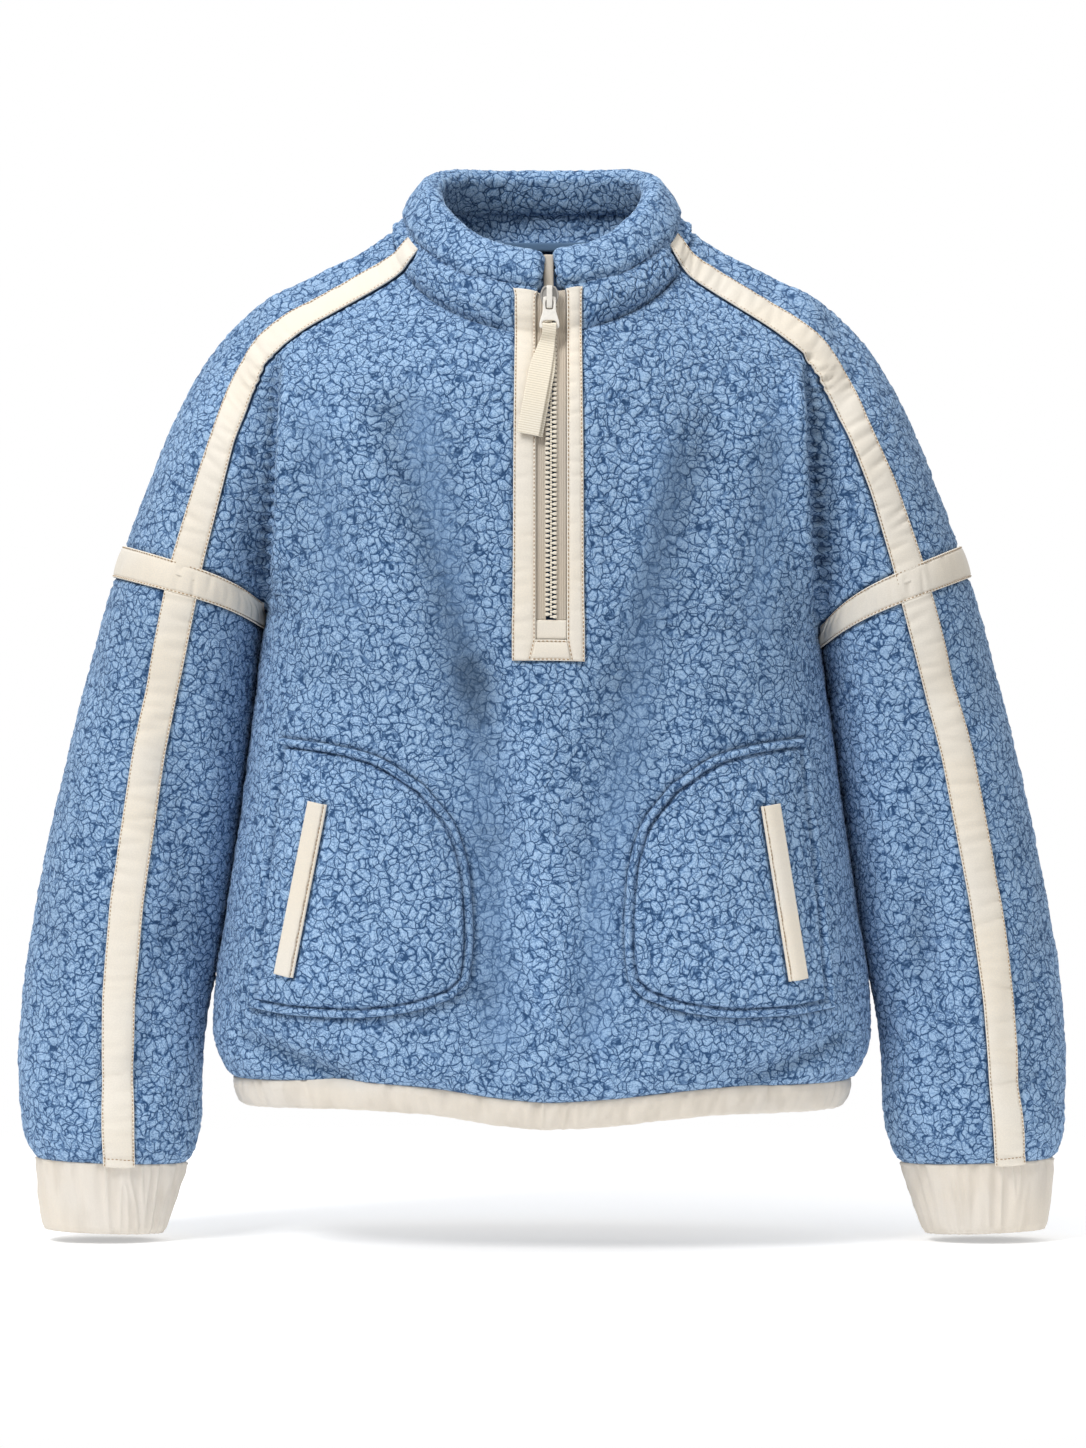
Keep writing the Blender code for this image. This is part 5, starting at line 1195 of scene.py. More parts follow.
def pile_up(obj, points, normals, inner, pile, inner_pile=None, shade=0.0):
    """Gives a panel what its pile needs to know, on its outer and its inner points: its place and
    its way out, how full the pile is, how far it is combed and how deep it lies in a fold, with any
    extra shade added to that depth, from which the material paints shade and highlight into its colour."""
    plain = np.zeros(len(inner))
    if inner_pile is None:
        inner_pile, inner_way = plain - 1.0, np.zeros_like(inner)
    else:
        inner_way = -normals
    depth = shade + sum(folded(folds, points, normals) for folds in (FOLDS, CREASES, SHARP))
    for name, kind, outside, inside in (
        ("rest", "FLOAT_VECTOR", points, inner),
        ("dir", "FLOAT_VECTOR", normals, inner_way),
        ("pile", "FLOAT", pile, inner_pile),
        ("comb", "FLOAT", comb_share(points, normals), plain),
        ("fold", "FLOAT", depth, plain),
    ):
        set_values(obj, name, kind, np.concatenate([outside, inside]))
    obj.modifiers.new("pile", "NODES").node_group = PILE_TREE
    apply_modifiers(obj)
    return obj


# Each piece as it was cut: its width and length in metres, its area in square metres where it isn't
# a rectangle, how it is held, and what it is sewn to.
BODIES, STRIPS = "front_body back_body", "shoulder_strip_left shoulder_strip_right"
SHEETS = {
    "front_body": (0.79, 0.72, 0.312, "hung", f"collar_stand back_body {STRIPS}"),
    "back_body": (1.17, 0.71, 0.411, "hung", f"collar_stand front_body {STRIPS}"),
    "collar_stand": (0.658, 0.039, 0.0173, "folded", BODIES),
    "collar_roll": (0.500, 0.085, None, "folded", "collar_stand"),
    "hem_band_front": (0.616, 0.0256, 0.0130, "gathered", "front_body"),
    "hem_band_back": (0.602, 0.0236, 0.0128, "gathered", "back_body"),
    "placket_foot": (0.0167, 0.0279, 0.0004, "laid", "front_body placket_left placket_right"),
    "neck_tape": (0.0100, 0.338, 0.0020, "laid", "back_body collar_stand"),
    "zip_end_patch": (0.0137, 0.0216, None, "laid", "zip_tape_left zip_tape_right"),
    "zip_guard": (0.0100, 0.057, 0.0004, "laid", "collar_stand"),
    "pull_ribbon": (0.0158, 0.177, 0.0025, "folded", "zip_pull_tab"),
}
# The pieces that come in twos: what the left one measures, and the right one. A star stands for
# the side.
SLEEVES = "sleeve_front_* sleeve_back_*"
PAIRS = {
    "sleeve_front": ((0.111, 0.426, 0.0410), (0.125, 0.426, 0.0481), "hung", "front_body armband_*"),
    "sleeve_back": ((0.316, 0.440, 0.1307), (0.314, 0.439, 0.1212), "hung", "back_body armband_*"),
    "cuff": ((0.341, 0.054, 0.0155), (0.348, 0.054, 0.0157), "gathered", SLEEVES),
    "pocket": ((0.183, 0.206, 0.0321), (0.174, 0.205, 0.0303), "laid", "front_body"),
    "welt": ((0.0200, 0.1235, 0.0023), (0.0200, 0.1240, 0.0023), "laid", "pocket_*"),
    "shoulder_strip": ((0.0300, 0.321, 0.0080), (0.0303, 0.325, 0.0082), "laid", BODIES),
    "sleeve_strip": ((0.0262, 0.420, 0.0106), (0.0263, 0.421, 0.0106), "laid", SLEEVES),
    "armband": ((0.0240, 0.399, 0.0088), (0.0240, 0.409, 0.0087), "laid", f"{BODIES} {SLEEVES}"),
    "placket": ((0.0191, 0.269, 0.0046), (0.0142, 0.271, 0.0035), "laid", "front_body zip_tape_*"),
    "zip_tape": ((0.0100, 0.236, 0.0020), (0.0100, 0.238, 0.0020), "laid", "placket_*"),
}
for name, (left, right, held, sewn_to) in PAIRS.items():
    for side, size in (("left", left), ("right", right)):
        SHEETS[f"{name}_{side}"] = (*size, held, sewn_to.replace("*", side))


def finish_piece(obj, body="garment"):
    name = obj.name.removesuffix(SUFFIX)
    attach(obj, body)
    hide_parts(name)
    name in SHEETS
    return obj


def finish_stitches(stitches, name, body="garment"):
    """Stitches stand for no node: they are only here."""
    obj = stitches.piece(name, THREAD_TAN)
    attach(obj, body)
    return obj


def across(grid, places):
    """The grid with its columns resampled at these shares of its width."""
    columns = grid.points.shape[1] - 1
    at = np.asarray(places) * columns
    low = np.minimum(at.astype(int), columns - 1)
    t = (at - low)[None, :, None]
    points, normals = (v[:, low] * (1 - t) + v[:, low + 1] * t for v in (grid.points, grid.normals))
    return Grid(points, unit(normals), 1, grid.flip)


def edge_places(width, marks):
    """Shares of a width: marks, in millimetres in from one edge, and the same from the other."""
    first = np.array([m / 1000 / width for m in marks])
    return np.concatenate([first, [0.5], 1 - first[::-1]])


EDGE_MARKS = (0.0, 0.2, 0.5, 0.9, 1.3, 1.7, 2.2, 3.0, 4.5, 6.5)


def puckers(length, width, depth):
    """A function of how far along and across a strip a point is, for the small transverse dents
    that the stitching pulls into it."""
    dents = []
    at = 0.004
    while at < length:
        slant, deep = rng.uniform(-0.25, 0.25), rng.uniform(0.35, 1.0) * depth
        dents.append((at, slant, deep, rng.uniform(0.0014, 0.0030), rng.choice([-1, 0, 1])))
        at += rng.uniform(0.006, 0.014)

    def at_point(v, u):
        total = np.zeros(np.broadcast(v, u).shape)
        for place, slant, deep, wide, side in dents:
            fade = 1.0 if side == 0 else ease(0.75 + side * (u - 0.5) * 1.6)
            total -= deep * fade * fading(v - place - slant * (u - 0.5) * width, wide)
        return total

    return at_point


def between_columns(grid, a, b, count):
    """The grid between two columns, given for each of its rows as fine column numbers."""
    at = a[:, None] + (b - a)[:, None] * np.linspace(0, 1, count)[None, :]
    low = np.clip(at.astype(int), 0, grid.points.shape[1] - 2)
    t = (at - low)[..., None]
    rows = np.arange(len(at))[:, None]
    points, normals = (v[rows, low] * (1 - t) + v[rows, low + 1] * t for v in (grid.points, grid.normals))
    return Grid(points, unit(normals), 1, grid.flip)


def from_edge(points):
    """How far each point of a strip is from its first column, along its own row."""
    step = np.linalg.norm(np.diff(points, axis=1), axis=2)
    return np.concatenate([np.zeros((len(step), 1)), np.cumsum(step, axis=1)], axis=1)


def turned(grid):
    """The grid with its rows as columns."""
    return Grid(np.swapaxes(grid.points, 0, 1), np.swapaxes(grid.normals, 0, 1), grid.k, not grid.flip)


STITCH_IN = 0.0016  # how far the stitching is inside an edge
GROOVE, PILLOW = 0.0007, 0.0006  # how deep a strip is pressed in along it, and how full its middle is


def tape(name, grid, width, lift=0.0003, thick=0.0015, stitched=(1, 1), pucker=0.0015, tab=0.0):
    """A sewn-on strip: turned edges, a groove along the stitching, puckers between, and at its end
    a tab of this length. Returns the object and the grid of its outside."""
    places = edge_places(width, [m for m in EDGE_MARKS if m < width * 480])
    g = across(grid, places)
    u = places[None, :]
    run = along(g.points[:, g.points.shape[1] // 2])
    v = run[:, None]
    local = from_edge(g.points)
    d = np.minimum(local, local[:, -1:] - local)
    dents = puckers(run[-1], width, pucker)(v, u)
    seam = GROOVE * np.where(u < 0.5, *stitched) * fading(d - STITCH_IN, 0.00045)
    height = lift + thick * (0.35 + 0.65 * rolled(d, 0.0011)) + PILLOW * ease(d / (width * 0.45)) - seam
    height = height + dents * ease(d / 0.002)
    if tab:
        to_tab = run[-1] - v - tab
        height = height + 0.0009 * ease(-to_tab / 0.0012) - 0.0010 * fading(to_tab - 0.0008, 0.0007)
    return slab(name, g, height, lift, TWILL), g.moved(height)


def times(colour, *shares):
    """A colour with each of its parts multiplied."""
    return tuple(c * k for c, k in zip(colour, shares)) + (1.0,)


def cloth_material(name, colour, weave=0.0009, gathered=0.0, ribs=0.0):
    """Smooth woven or knitted cloth: a fine weave in its bump and colour, a soft mottling, painted
    shade of gathers of this scale that run up and down, and painted shade between ribs across it at this
    pitch."""
    material, n, shader = fresh_material(name, 0.85, Specular_IOR_Level=0.25, Sheen_Weight=0.08)
    shader.inputs["Sheen Tint"].default_value = (1.0, 0.97, 0.92, 1.0)
    at = n.make("ShaderNodeTexCoord", (), "Object")
    grain = n.noise(at, 1.2 / weave, 1.0)
    base = linear(*colour)
    tone = n.mix(n.between(n.noise(at, 14.0), 0.35, 0.65), base, times(base, 1.03, 1.0, 0.95))
    shade = n.mix(n.between(grain, 0.35, 0.65) * 0.5, tone, times(base, 0.90, 0.90, 0.90))
    if gathered:
        down = n.noise(at * (1.0, 1.0, 0.28), gathered, 1.5)
        # Painted shade in the gathers, in streaks that run up and down.
        shade = n.mix(n.between(down, 0.32, 0.54, 0.26, 0.0), shade, times(base, 0.70, 0.67, 0.62))
    if ribs:
        x, z = (n.make("ShaderNodeSeparateXYZ", {0: at}, axis) for axis in "XZ")
        wave = n.maths("SINE", (z + x * math.tan(math.radians(RIBBON_LEAN))) * (math.tau / ribs))
        # Painted shade between the ribs.
        shade = n.mix(n.between(wave, -1.0, 0.2, 0.75, 0.0), shade, times(base, 0.74, 0.70, 0.62))
    shade.to(shader.inputs["Base Color"])
    bump = n.make("ShaderNodeBump", {"Strength": 0.25, "Distance": 0.0004, "Height": grain}, 0)
    bump.to(shader.inputs["Normal"])
    return material


def hard_material(name, colour, rough):
    """Moulded plastic or enamelled metal: smooth, with a faint mottling and a softer sheen in places."""
    material, n, shader = fresh_material(name, rough, Specular_IOR_Level=0.5, Coat_Weight=0.15)
    at = n.make("ShaderNodeTexCoord", (), "Object")
    base = linear(*colour)
    mottled = n.mix(n.between(n.noise(at, 420.0, 3.0), 0.35, 0.65), base, times(base, 0.93, 0.93, 0.93))
    mottled.to(shader.inputs["Base Color"])
    n.between(n.noise(at, 260.0), 0.3, 0.7, rough * 0.9, rough * 1.25).to(shader.inputs["Roughness"])
    return material


# The gathers of a knitted band are three waves: how long each is and how it leans.
GATHERS = ((0.013, 1.2), (0.021, -1.6), (0.034, 0.9))
GATHER_DEPTH, BAND_PUFF = 0.0022, 0.0016


def knit_band(name, grids):
    """A doubled band of smooth knit, gathered where it is sewn to the fleece, its edge rolled."""
    made = []
    for g in grids:
        rows = g.points.shape[0]
        down = np.linspace(0, 1, rows)[:, None]
        run = along(g.points[0])[None, :]
        wave = rng.uniform(0, 6.28, 6)
        waves = (np.sin(run / long * 2 * math.pi + p + down * lean) for p, (long, lean) in zip(wave, GATHERS))
        # The folds between the gathers are sharper than the gathers are round.
        gather = 1 - 2 * np.abs(sum(waves) / 3) ** 0.7
        swell = GATHER_DEPTH * gather * (1 - 0.6 * down)
        swell = swell + BAND_PUFF * np.sin(math.pi * down) - BAND_PUFF * fading(down, 0.10)
        edge = -BAND_PUFF * ease((down - 0.86) / 0.14) ** 2
        made.append(g.moved(swell + edge))
    return shell(name, made, BAND_WALL, JERSEY)[0]


def collar_stand(grids):
    """Two layers of fleece, piled outside and inside. It swells out between the neck seam, which is
    pulled in, and the roll, and its top edge reaches up into the roll."""
    made = []
    for g in grids:
        down = along(g.points[:, g.points.shape[1] // 2])
        share = (down / down[-1])[:, None]
        free = ease((nearness(g.flat(), covers) - 0.002) / 0.012).reshape(g.points.shape[:2])
        swell = (0.0022 * np.sin(math.pi * share) + 0.0016 * (1 - share)) * free
        g = g.moved(swell - 0.0026 * free * fading((1 - share) * down[-1], 0.0032))
        g.points[..., 2] += 0.0040 * np.clip(1 - share / 0.3, 0, 1)
        made.append(g)
    obj, points, normals, inner = shell("collar_stand", made, COLLAR_WALL, FLEECE, inner_fine=True)
    edges = border(*[g.points[row] for row in (0, -1) for g in made])
    pile = 0.3 + 0.7 * ease(nearness(points, edges) / 0.005)
    pile = np.minimum(pile, ease((nearness(points, covers) - 0.0004) / 0.0022))
    return pile_up(obj, points, normals, inner, pile, np.full(len(inner), 0.8))


ROLL_STATIONS, ROLL_SIDES, ROLL_INNER_STEP = 240, 40, 4  # the inside takes every fourth point
ROLL_CAP = 0.0042  # how far its round ends reach past its first and last station


def roll_lines(angle):
    """Lower and upper line of the roll at an angle from the middle of the front, in degrees."""
    turn, side = abs(angle), 1 if angle >= 0 else -1
    points = []
    for sizes, heights in ((ROLL_LOW, "low_z"), (ROLL_RIM, "rim_z")):
        depth = sizes["front"] if turn <= 90 else sizes["back"]
        a = math.radians(turn)
        z = float(smooth(COLLAR["angle"], COLLAR[heights], turn))
        points.append(np.array([side * sizes["half_width"] * math.sin(a), -depth * math.cos(a), z]))
    return points


def collar_roll():
    """The fat band that the collar's edge is rolled into, round at its two ends at the front."""
    first = math.degrees(math.asin((ROLL_GAP[1] + ROLL_CAP) / ROLL_RIM["half_width"]))
    last = 360 + math.degrees(math.asin((ROLL_GAP[0] - ROLL_CAP) / ROLL_RIM["half_width"]))
    angles = np.linspace(first, last, ROLL_STATIONS)
    rings = []
    caps = np.sin(np.linspace(0.12, 1.0, 6) * math.pi / 2)
    stations = [(angles[0], c, i) for i, c in enumerate(caps[:-1])] + [(a, 1.0, None) for a in angles]
    stations += [(angles[-1], c, -1 - i) for i, c in list(enumerate(caps[:-1]))[::-1]]
    for angle, size, cap in stations:
        turned = angle if angle <= 180 else angle - 360
        low, rim = roll_lines(turned)
        ahead = roll_lines(turned + 1.0 if turned + 1 <= 180 else turned - 359)[0]
        onward = ahead - low
        onward /= np.linalg.norm(onward)
        up = rim - low
        up -= onward * np.dot(up, onward)
        up /= np.linalg.norm(up)
        out = np.cross(onward, up)
        push = 0.0 if cap is None else math.sqrt(1 - size**2) * 0.0050 * (-1 if cap >= 0 else 1)
        squeeze = 1 - size
        ring = []
        for k in range(ROLL_SIDES):
            # Half of the sides go round the rim, half round the lower line.
            a = 2 * math.pi * (k + 0.5) / ROLL_SIDES
            centre = rim + (low - rim) * (0.5 - 0.5 * np.clip(math.sin(a) * 2.2, -1, 1))
            centre = centre + (((low + rim) / 2) - centre) * squeeze * 0.5
            way = out * math.cos(a) + up * math.sin(a)
            ring.append(centre + onward * push + ROLL * (0.25 + 0.75 * size) * way)
        rings.append(ring)
    points = np.array(rings)
    closed = np.concatenate([points, points[:, :1]], axis=1)
    normals = np.cross(np.gradient(closed, axis=0), np.gradient(closed, axis=1))
    normals[:, 0] = normals[:, -1] = normals[:, 0] + normals[:, -1]
    normals = unit(normals)
    middle = closed[:, :-1].mean(axis=1)[:, None]
    if ((closed - middle) * normals).sum() < 0:
        normals = -normals
    return roll_shell(closed, normals)


def roll_shell(points, normals):
    """The roll as a closed skin with a plain one inside it."""
    rows, columns = points.shape[0], points.shape[1] - 1
    outer, ways = points[:, :-1].reshape(-1, 3), normals[:, :-1].reshape(-1, 3)
    index = np.arange(rows * columns).reshape(rows, columns)
    index = np.concatenate([index, index[:, :1]], axis=1)
    cells = quads_between(index)
    some = cells[len(cells) // 2]
    a, b, c = outer[some[:3]]
    flip = np.dot(np.cross(b - a, c - a), ways[some[0]]) < 0
    cells = quads_between(index, flip)
    ends = [index[0, :-1].tolist(), index[-1, :-1].tolist()]
    ends[1 if flip else 0].reverse()
    rough = np.arange(0, rows, ROLL_INNER_STEP)
    rough = np.append(rough[rough < rows - 1], rows - 1)
    picked = index[rough][:, ::ROLL_INNER_STEP]
    used = np.unique(picked)
    place = np.full(len(outer), -1)
    place[used] = len(outer) + np.arange(len(used))
    inside = place[quads_between(picked, not flip)]
    inner = outer[used] - ways[used] * WALL
    inner_ends = [place[picked[0, :-1]].tolist(), place[picked[-1, :-1]].tolist()]
    faces = [*cells.tolist(), *ends, *inside.tolist(), *inner_ends]
    obj = add_piece("collar_roll", np.concatenate([outer, inner]), faces, FLEECE)
    edited(obj, lambda edit: bmesh.ops.triangulate(edit, faces=[f for f in edit.faces if len(f.verts) > 4]))
    return pile_up(obj, outer, ways, inner, np.ones(len(outer)))


# ---------------------------------------------------------------- pockets and welts
def edge_curve(points, count):
    """Evenly spaced points on a smooth curve through the given ones."""
    points = np.array(points, float)
    t = along(points)
    fine = np.linspace(0, t[-1], 200)
    curve = np.stack([smooth(t, points[:, k], fine) for k in range(2)], axis=1)
    run = along(curve)
    return at_distance(curve, np.linspace(0, run[-1], count), run)


def pocket_flat(side):
    """Points over a pocket as seen from the front, spread between its four edges, and its outline."""
    n, m = POCKET_CELLS
    top, bottom = edge_curve(POCKET_TOP, n + 1), edge_curve(POCKET_BOTTOM, n + 1)
    outer, inner = edge_curve(POCKET_OUTER, m + 1), edge_curve(POCKET_INNER, m + 1)
    u, v = np.linspace(0, 1, n + 1)[None, :, None], np.linspace(0, 1, m + 1)[:, None, None]
    flat = (1 - v) * top[None] + v * bottom[None] + (1 - u) * outer[:, None] + u * inner[:, None]
    flat -= (1 - u) * (1 - v) * top[0] + u * (1 - v) * top[-1] + (1 - u) * v * bottom[0] + u * v * bottom[-1]
    line = np.concatenate([top, inner[1:], bottom[::-1][1:], outer[::-1][1:-1]])
    hinge = POCKET_OUTER[1][0]
    for places in (flat, line):
        places[..., 0] = side * (hinge - (hinge - places[..., 0]) * POCKET_REACH[side])
    return flat, line


def to_line(line, flat, closed=True):
    """The distance from points to a line in the same plane."""
    ends = np.roll(line, -1, axis=0) if closed else line[1:]
    best = np.full(flat.shape[:-1], np.inf)
    for p, q in zip(line, ends):
        t = np.clip((flat - p) @ (q - p) / max((q - p) @ (q - p), 1e-12), 0, 1)
        best = np.minimum(best, np.linalg.norm(flat - p - t[..., None] * (q - p), axis=-1))
    return best


def cast(grid, flat):
    """Where points seen from the front lie on a grid."""
    index = np.arange(grid.points.shape[0] * grid.points.shape[1]).reshape(grid.points.shape[:2])
    tree = BVHTree.FromPolygons(grid.flat().tolist(), quads_between(index).tolist())
    places = np.zeros((*flat.shape[:2], 3))
    for i, j in np.ndindex(flat.shape[:2]):
        x, z = flat[i, j]
        hit = tree.ray_cast(Vector((x, -1.0, z)), Vector((0, 1, 0)))[0]
        places[i, j] = hit or tree.find_nearest(Vector((x, 0.0, z)))[0]
    return places


def oriented(places, normals):
    """A grid over given places, its faces turned as its normals are."""
    cell = np.cross(places[1, 0] - places[0, 0], places[1, 1] - places[0, 0])
    return Grid(places, normals, 1, np.dot(cell, normals[0, 0]) < 0)


def patch_grid(places):
    """A grid over given places, with normals that face the front."""
    normals = np.cross(np.gradient(places, axis=1), np.gradient(places, axis=0))
    return oriented(places, unit(normals * -np.sign(normals[..., 1:2])))


POCKET_CELLS, WELT_ROWS, WELT_COLUMNS = (108, 134), 110, 9
RIM = 0.0066  # how far inside its edge a pocket is topstitched
RIM_GROOVE, RIM_GROOVE_HALF, SHADE_HALF = 0.0032, 0.0013, 0.0018
SLIT, SLIT_HALF, SLIT_BESIDE = 0.0028, 0.0010, 0.0006  # its depth, half its width, how far off the welt


def welt_frame(side):
    """A welt's middle line and the way across it, seen from the front."""
    a, b = np.array(WELT[side])
    lean = (b - a) / np.linalg.norm(b - a)
    return a, b, np.array([-lean[1], lean[0]])


def pocket(side):
    """The grid of a pocket's outside, with a rolled rim, a stitched groove inside it, a full middle
    and a slit beside its welt; the grid under it; and how far inside the outline each point is."""
    flat, line = pocket_flat(side)
    grid = patch_grid(cast(fine["front_lower"], flat))
    d = to_line(line, flat)
    roll = 0.0010 + 0.0044 * rolled(d, RIM * 0.52)
    full = POCKET_LIFT + POCKET_THICK + POCKET_PUFF * ease(d / 0.030)
    height = np.where(d < RIM, roll, full) - RIM_GROOVE * fading(d - RIM, RIM_GROOVE_HALF)
    a, b, sideways = welt_frame(side)
    slit = np.array([a, b]) - sideways * side * (WELT_WIDTH / 2 + SLIT_BESIDE)
    cut = to_line(slit, flat, closed=False)
    height -= SLIT * fading(cut, SLIT_HALF)
    return grid.moved(height), grid.moved(POCKET_LIFT), d, cut


def welt_grid(side, top):
    """The place of a welt on the outside of its pocket."""
    a, b, sideways = welt_frame(side)
    run = np.linspace(0, 1, WELT_ROWS)[:, None] * (b - a) + a
    flat = np.stack([run + sideways * WELT_WIDTH * k for k in np.linspace(-0.5, 0.5, WELT_COLUMNS)], axis=1)
    places = cast(top, flat)
    # The slit beside the welt doesn't pull the welt in with it.
    u = np.linspace(0, 1, WELT_COLUMNS)[None, :, None]
    y = places[..., 1:2]
    level = np.minimum(y, y[:, 1:2] * (1 - u) + y[:, -2:-1] * u)
    return patch_grid(np.concatenate([places[..., :1], 0.5 * level + 0.5 * y, places[..., 2:]], axis=2))


def pocket_piece(side, top, under, d, cut, welt_top):
    """A pocket, its pile held down under the welt and in the groove, with painted shade, given as
    fold depth, there, along its edge and down in the slit, and a painted highlight over its full middle."""
    name = f"pocket_{SIDE_NAME[side]}"
    obj, points, normals, inner = shell(name, [top], 0.0, FLEECE, under=[under])
    first, _ = merged(top.flat())
    away = d.reshape(-1)[first]
    pile = ease((nearness(points, welt_top.flat()) - 0.0012) / 0.0022)
    pile = np.minimum(pile, 1 - 0.92 * fading(away - RIM, RIM_GROOVE_HALF))
    from_groove = away - RIM
    # Painted shade in the groove, along the edge and down the slit, and a painted highlight over the full
    # middle, all given as fold depth.
    shade = 0.0085 * fading(from_groove, SHADE_HALF) + 0.0075 * fading(away, SHADE_HALF)
    shade = shade - 0.004 * ease(from_groove / 0.02)
    shade = shade + 0.018 * fading(cut.reshape(-1)[first], 0.0012)
    return pile_up(obj, points, normals, inner, pile * (0.05 + 0.95 * ease(away / 0.0024)), shade=shade)


# ---------------------------------------------------------------- stitches
STITCH_PITCH, STITCH_LENGTH, THREAD = 0.0029, 0.0021, 0.00038
# Along a stitch: the share of its length, how far its thread rises and how thick it is, in threads.
STITCH = ((0, -0.5, 0.6), (0.5, 0.35, 1.0), (1, -0.5, 0.6))


class Solids:
    """Collects small solids, such as rows of stitches, which become one piece."""

    def __init__(self):
        self.points, self.faces, self.count = [], [], 0

    def line(self, path, normals):
        """One row along a line on the cloth. A stitch is a short thread that dives in at both ends."""
        run = along(path)
        ring = np.arange(6) * math.tau / 6
        wide, tall = np.cos(ring)[:, None], np.sin(ring)[:, None]
        for start in np.arange(STITCH_PITCH * 0.5, run[-1] - STITCH_LENGTH, STITCH_PITCH):
            places = [at_distance(path, start + STITCH_LENGTH * t, run) for t, _, _ in STITCH]
            up = at_distance(normals, start + STITCH_LENGTH / 2, run)
            up /= np.linalg.norm(up)
            onward = (places[2] - places[0]) / np.linalg.norm(places[2] - places[0])
            side = np.cross(onward, up)
            round_it = wide * side * 1.1 + tall * up * 0.8
            rises = [(place + up * THREAD * rise, size) for place, (_, rise, size) in zip(places, STITCH)]
            self.add(*loft([centre + THREAD * size * round_it for centre, size in rises]))

    def add(self, points, faces):
        self.points.append(points)
        self.faces += [tuple(i + self.count for i in face) for face in faces]
        self.count += len(points)

    def beside(self, grid, inset, edge):
        """A row at this distance inside one edge of a sewn-on strip: 0 its first column, 1 its last."""
        local = from_edge(grid.points)
        at = np.full(len(local), inset) if edge == 0 else local[:, -1] - inset
        path, ways = (
            np.array([at_distance(row, a, run) for row, a, run in zip(values, at, local)])
            for values in (grid.points, grid.normals)
        )
        self.line(path, ways)

    def over(self, grid, v):
        """A row across a strip at a share of its length."""
        row = int(round(v * (len(grid.points) - 1)))
        self.line(grid.points[row], grid.normals[row])

    def piece(self, name, material, **options):
        return outward(add_piece(name, np.concatenate(self.points), self.faces, material, **options))


def loft(rings):
    """The points and faces of a closed solid through rings with the same number of points."""
    rings = np.asarray(rings, float)
    index = np.arange(rings.shape[0] * rings.shape[1]).reshape(rings.shape[:2])
    closed = np.concatenate([index, index[:, :1]], axis=1)
    faces = [tuple(q) for q in quads_between(closed).tolist()]
    faces += [tuple(index[0].tolist()), tuple(index[-1, ::-1].tolist())]
    return rings.reshape(-1, 3), faces


def edited(obj, change):
    edit = bmesh.new()
    edit.from_mesh(obj.data)
    change(edit)
    edit.to_mesh(obj.data)
    edit.free()
    return obj


def outward(obj):
    """Turns the faces of separate closed solids so that they face out."""
    return edited(obj, lambda edit: bmesh.ops.recalc_face_normals(edit, faces=edit.faces))


# ---------------------------------------------------------------- zip
# Stations of a tooth from its foot on the tape to its head: across from the zip's middle, half its
# size along the zip, and half its depth.
TOOTH = table(
    "across long deep",
    (0.0041, 0.00080, 0.0007),
    (0.0036, 0.00120, 0.0012),
    (0.0020, 0.00115, 0.0014),
    (0.0010, 0.00060, 0.0011),
    (0.0001, 0.00085, 0.0012),
    (-0.0007, 0.00060, 0.0009),
)
TOOTH_PITCH, TOOTH_CORNER = 0.0034, 0.55
TAPE_FOOT = -0.0021  # the underside of the zip's tape, from the cloth's outside


def zip_chain(grid):
    """Two rows of moulded teeth that reach in between each other."""
    teeth = Solids()
    middle = grid.points.shape[1] // 2
    line, ways = grid.points[:, middle], grid.normals[:, middle]
    run = along(line)
    corner = [(-1, -1), (1, -1), (1, 1), (-1, 1)]
    cut = [(a * ka, b * kb) for a, b in corner for ka, kb in ((1, TOOTH_CORNER), (TOOTH_CORNER, 1))]
    cut = sorted(cut, key=lambda c: math.atan2(c[1], c[0]))
    for side, first in ((LEFT, 0.0012), (RIGHT, 0.0012 + TOOTH_PITCH / 2)):
        for s in np.arange(first, run[-1] - 0.001, TOOTH_PITCH):
            centre, up = at_distance(line, s, run), at_distance(ways, s, run)
            ahead, behind = (at_distance(line, d, run) for d in (min(s + 0.001, run[-1]), max(s - 0.001, 0)))
            onward = (ahead - behind) / np.linalg.norm(ahead - behind)
            up /= np.linalg.norm(up)
            out = np.cross(up, onward)
            out *= side * np.sign(out[0])
            rings = [
                [centre + out * x + onward * long * a + up * (deep * b - 0.0001) for a, b in cut]
                for x, long, deep in zip(TOOTH["across"], TOOTH["long"], TOOTH["deep"])
            ]
            teeth.add(*loft(rings))
    return teeth.piece("zip_chain", PLASTIC, smooth_angle=35)


def zip_tape(name, grid, side):
    """Half of the zip's tape: fine ridges along it, and a round cord beside the teeth."""
    u = np.linspace(0, 1, 25)
    g = across(grid, u)
    to_teeth = (1 - u if side == LEFT else u)[None, :]
    ridges = 0.00020 * np.cos(u * math.tau * 4.5)[None, :] * ease((to_teeth - 0.1) / 0.1)
    cord = 0.0009 * fading(to_teeth - 0.08, 0.10)
    return slab(name, g, ridges + cord - 0.0010, TAPE_FOOT, TAUPE)


def plain_strip(name, grid, high, low, material):
    """A smooth narrow strip of cloth with turned edges."""
    u = np.linspace(0, 1, 13)
    edge = np.minimum(u, 1 - u)[None, :]
    return slab(name, across(grid, u), high - 0.0004 * (1 - ease(edge / 0.12)), low, material)


def rounded(loop, times=3):
    """An outline with its corners cut back again and again, which rounds them."""
    loop = np.array(loop, float)
    for _ in range(times):
        after = np.roll(loop, -1, axis=0)
        loop = np.stack([loop * 0.75 + after * 0.25, loop * 0.25 + after * 0.75], axis=1).reshape(-1, 2)
    return loop


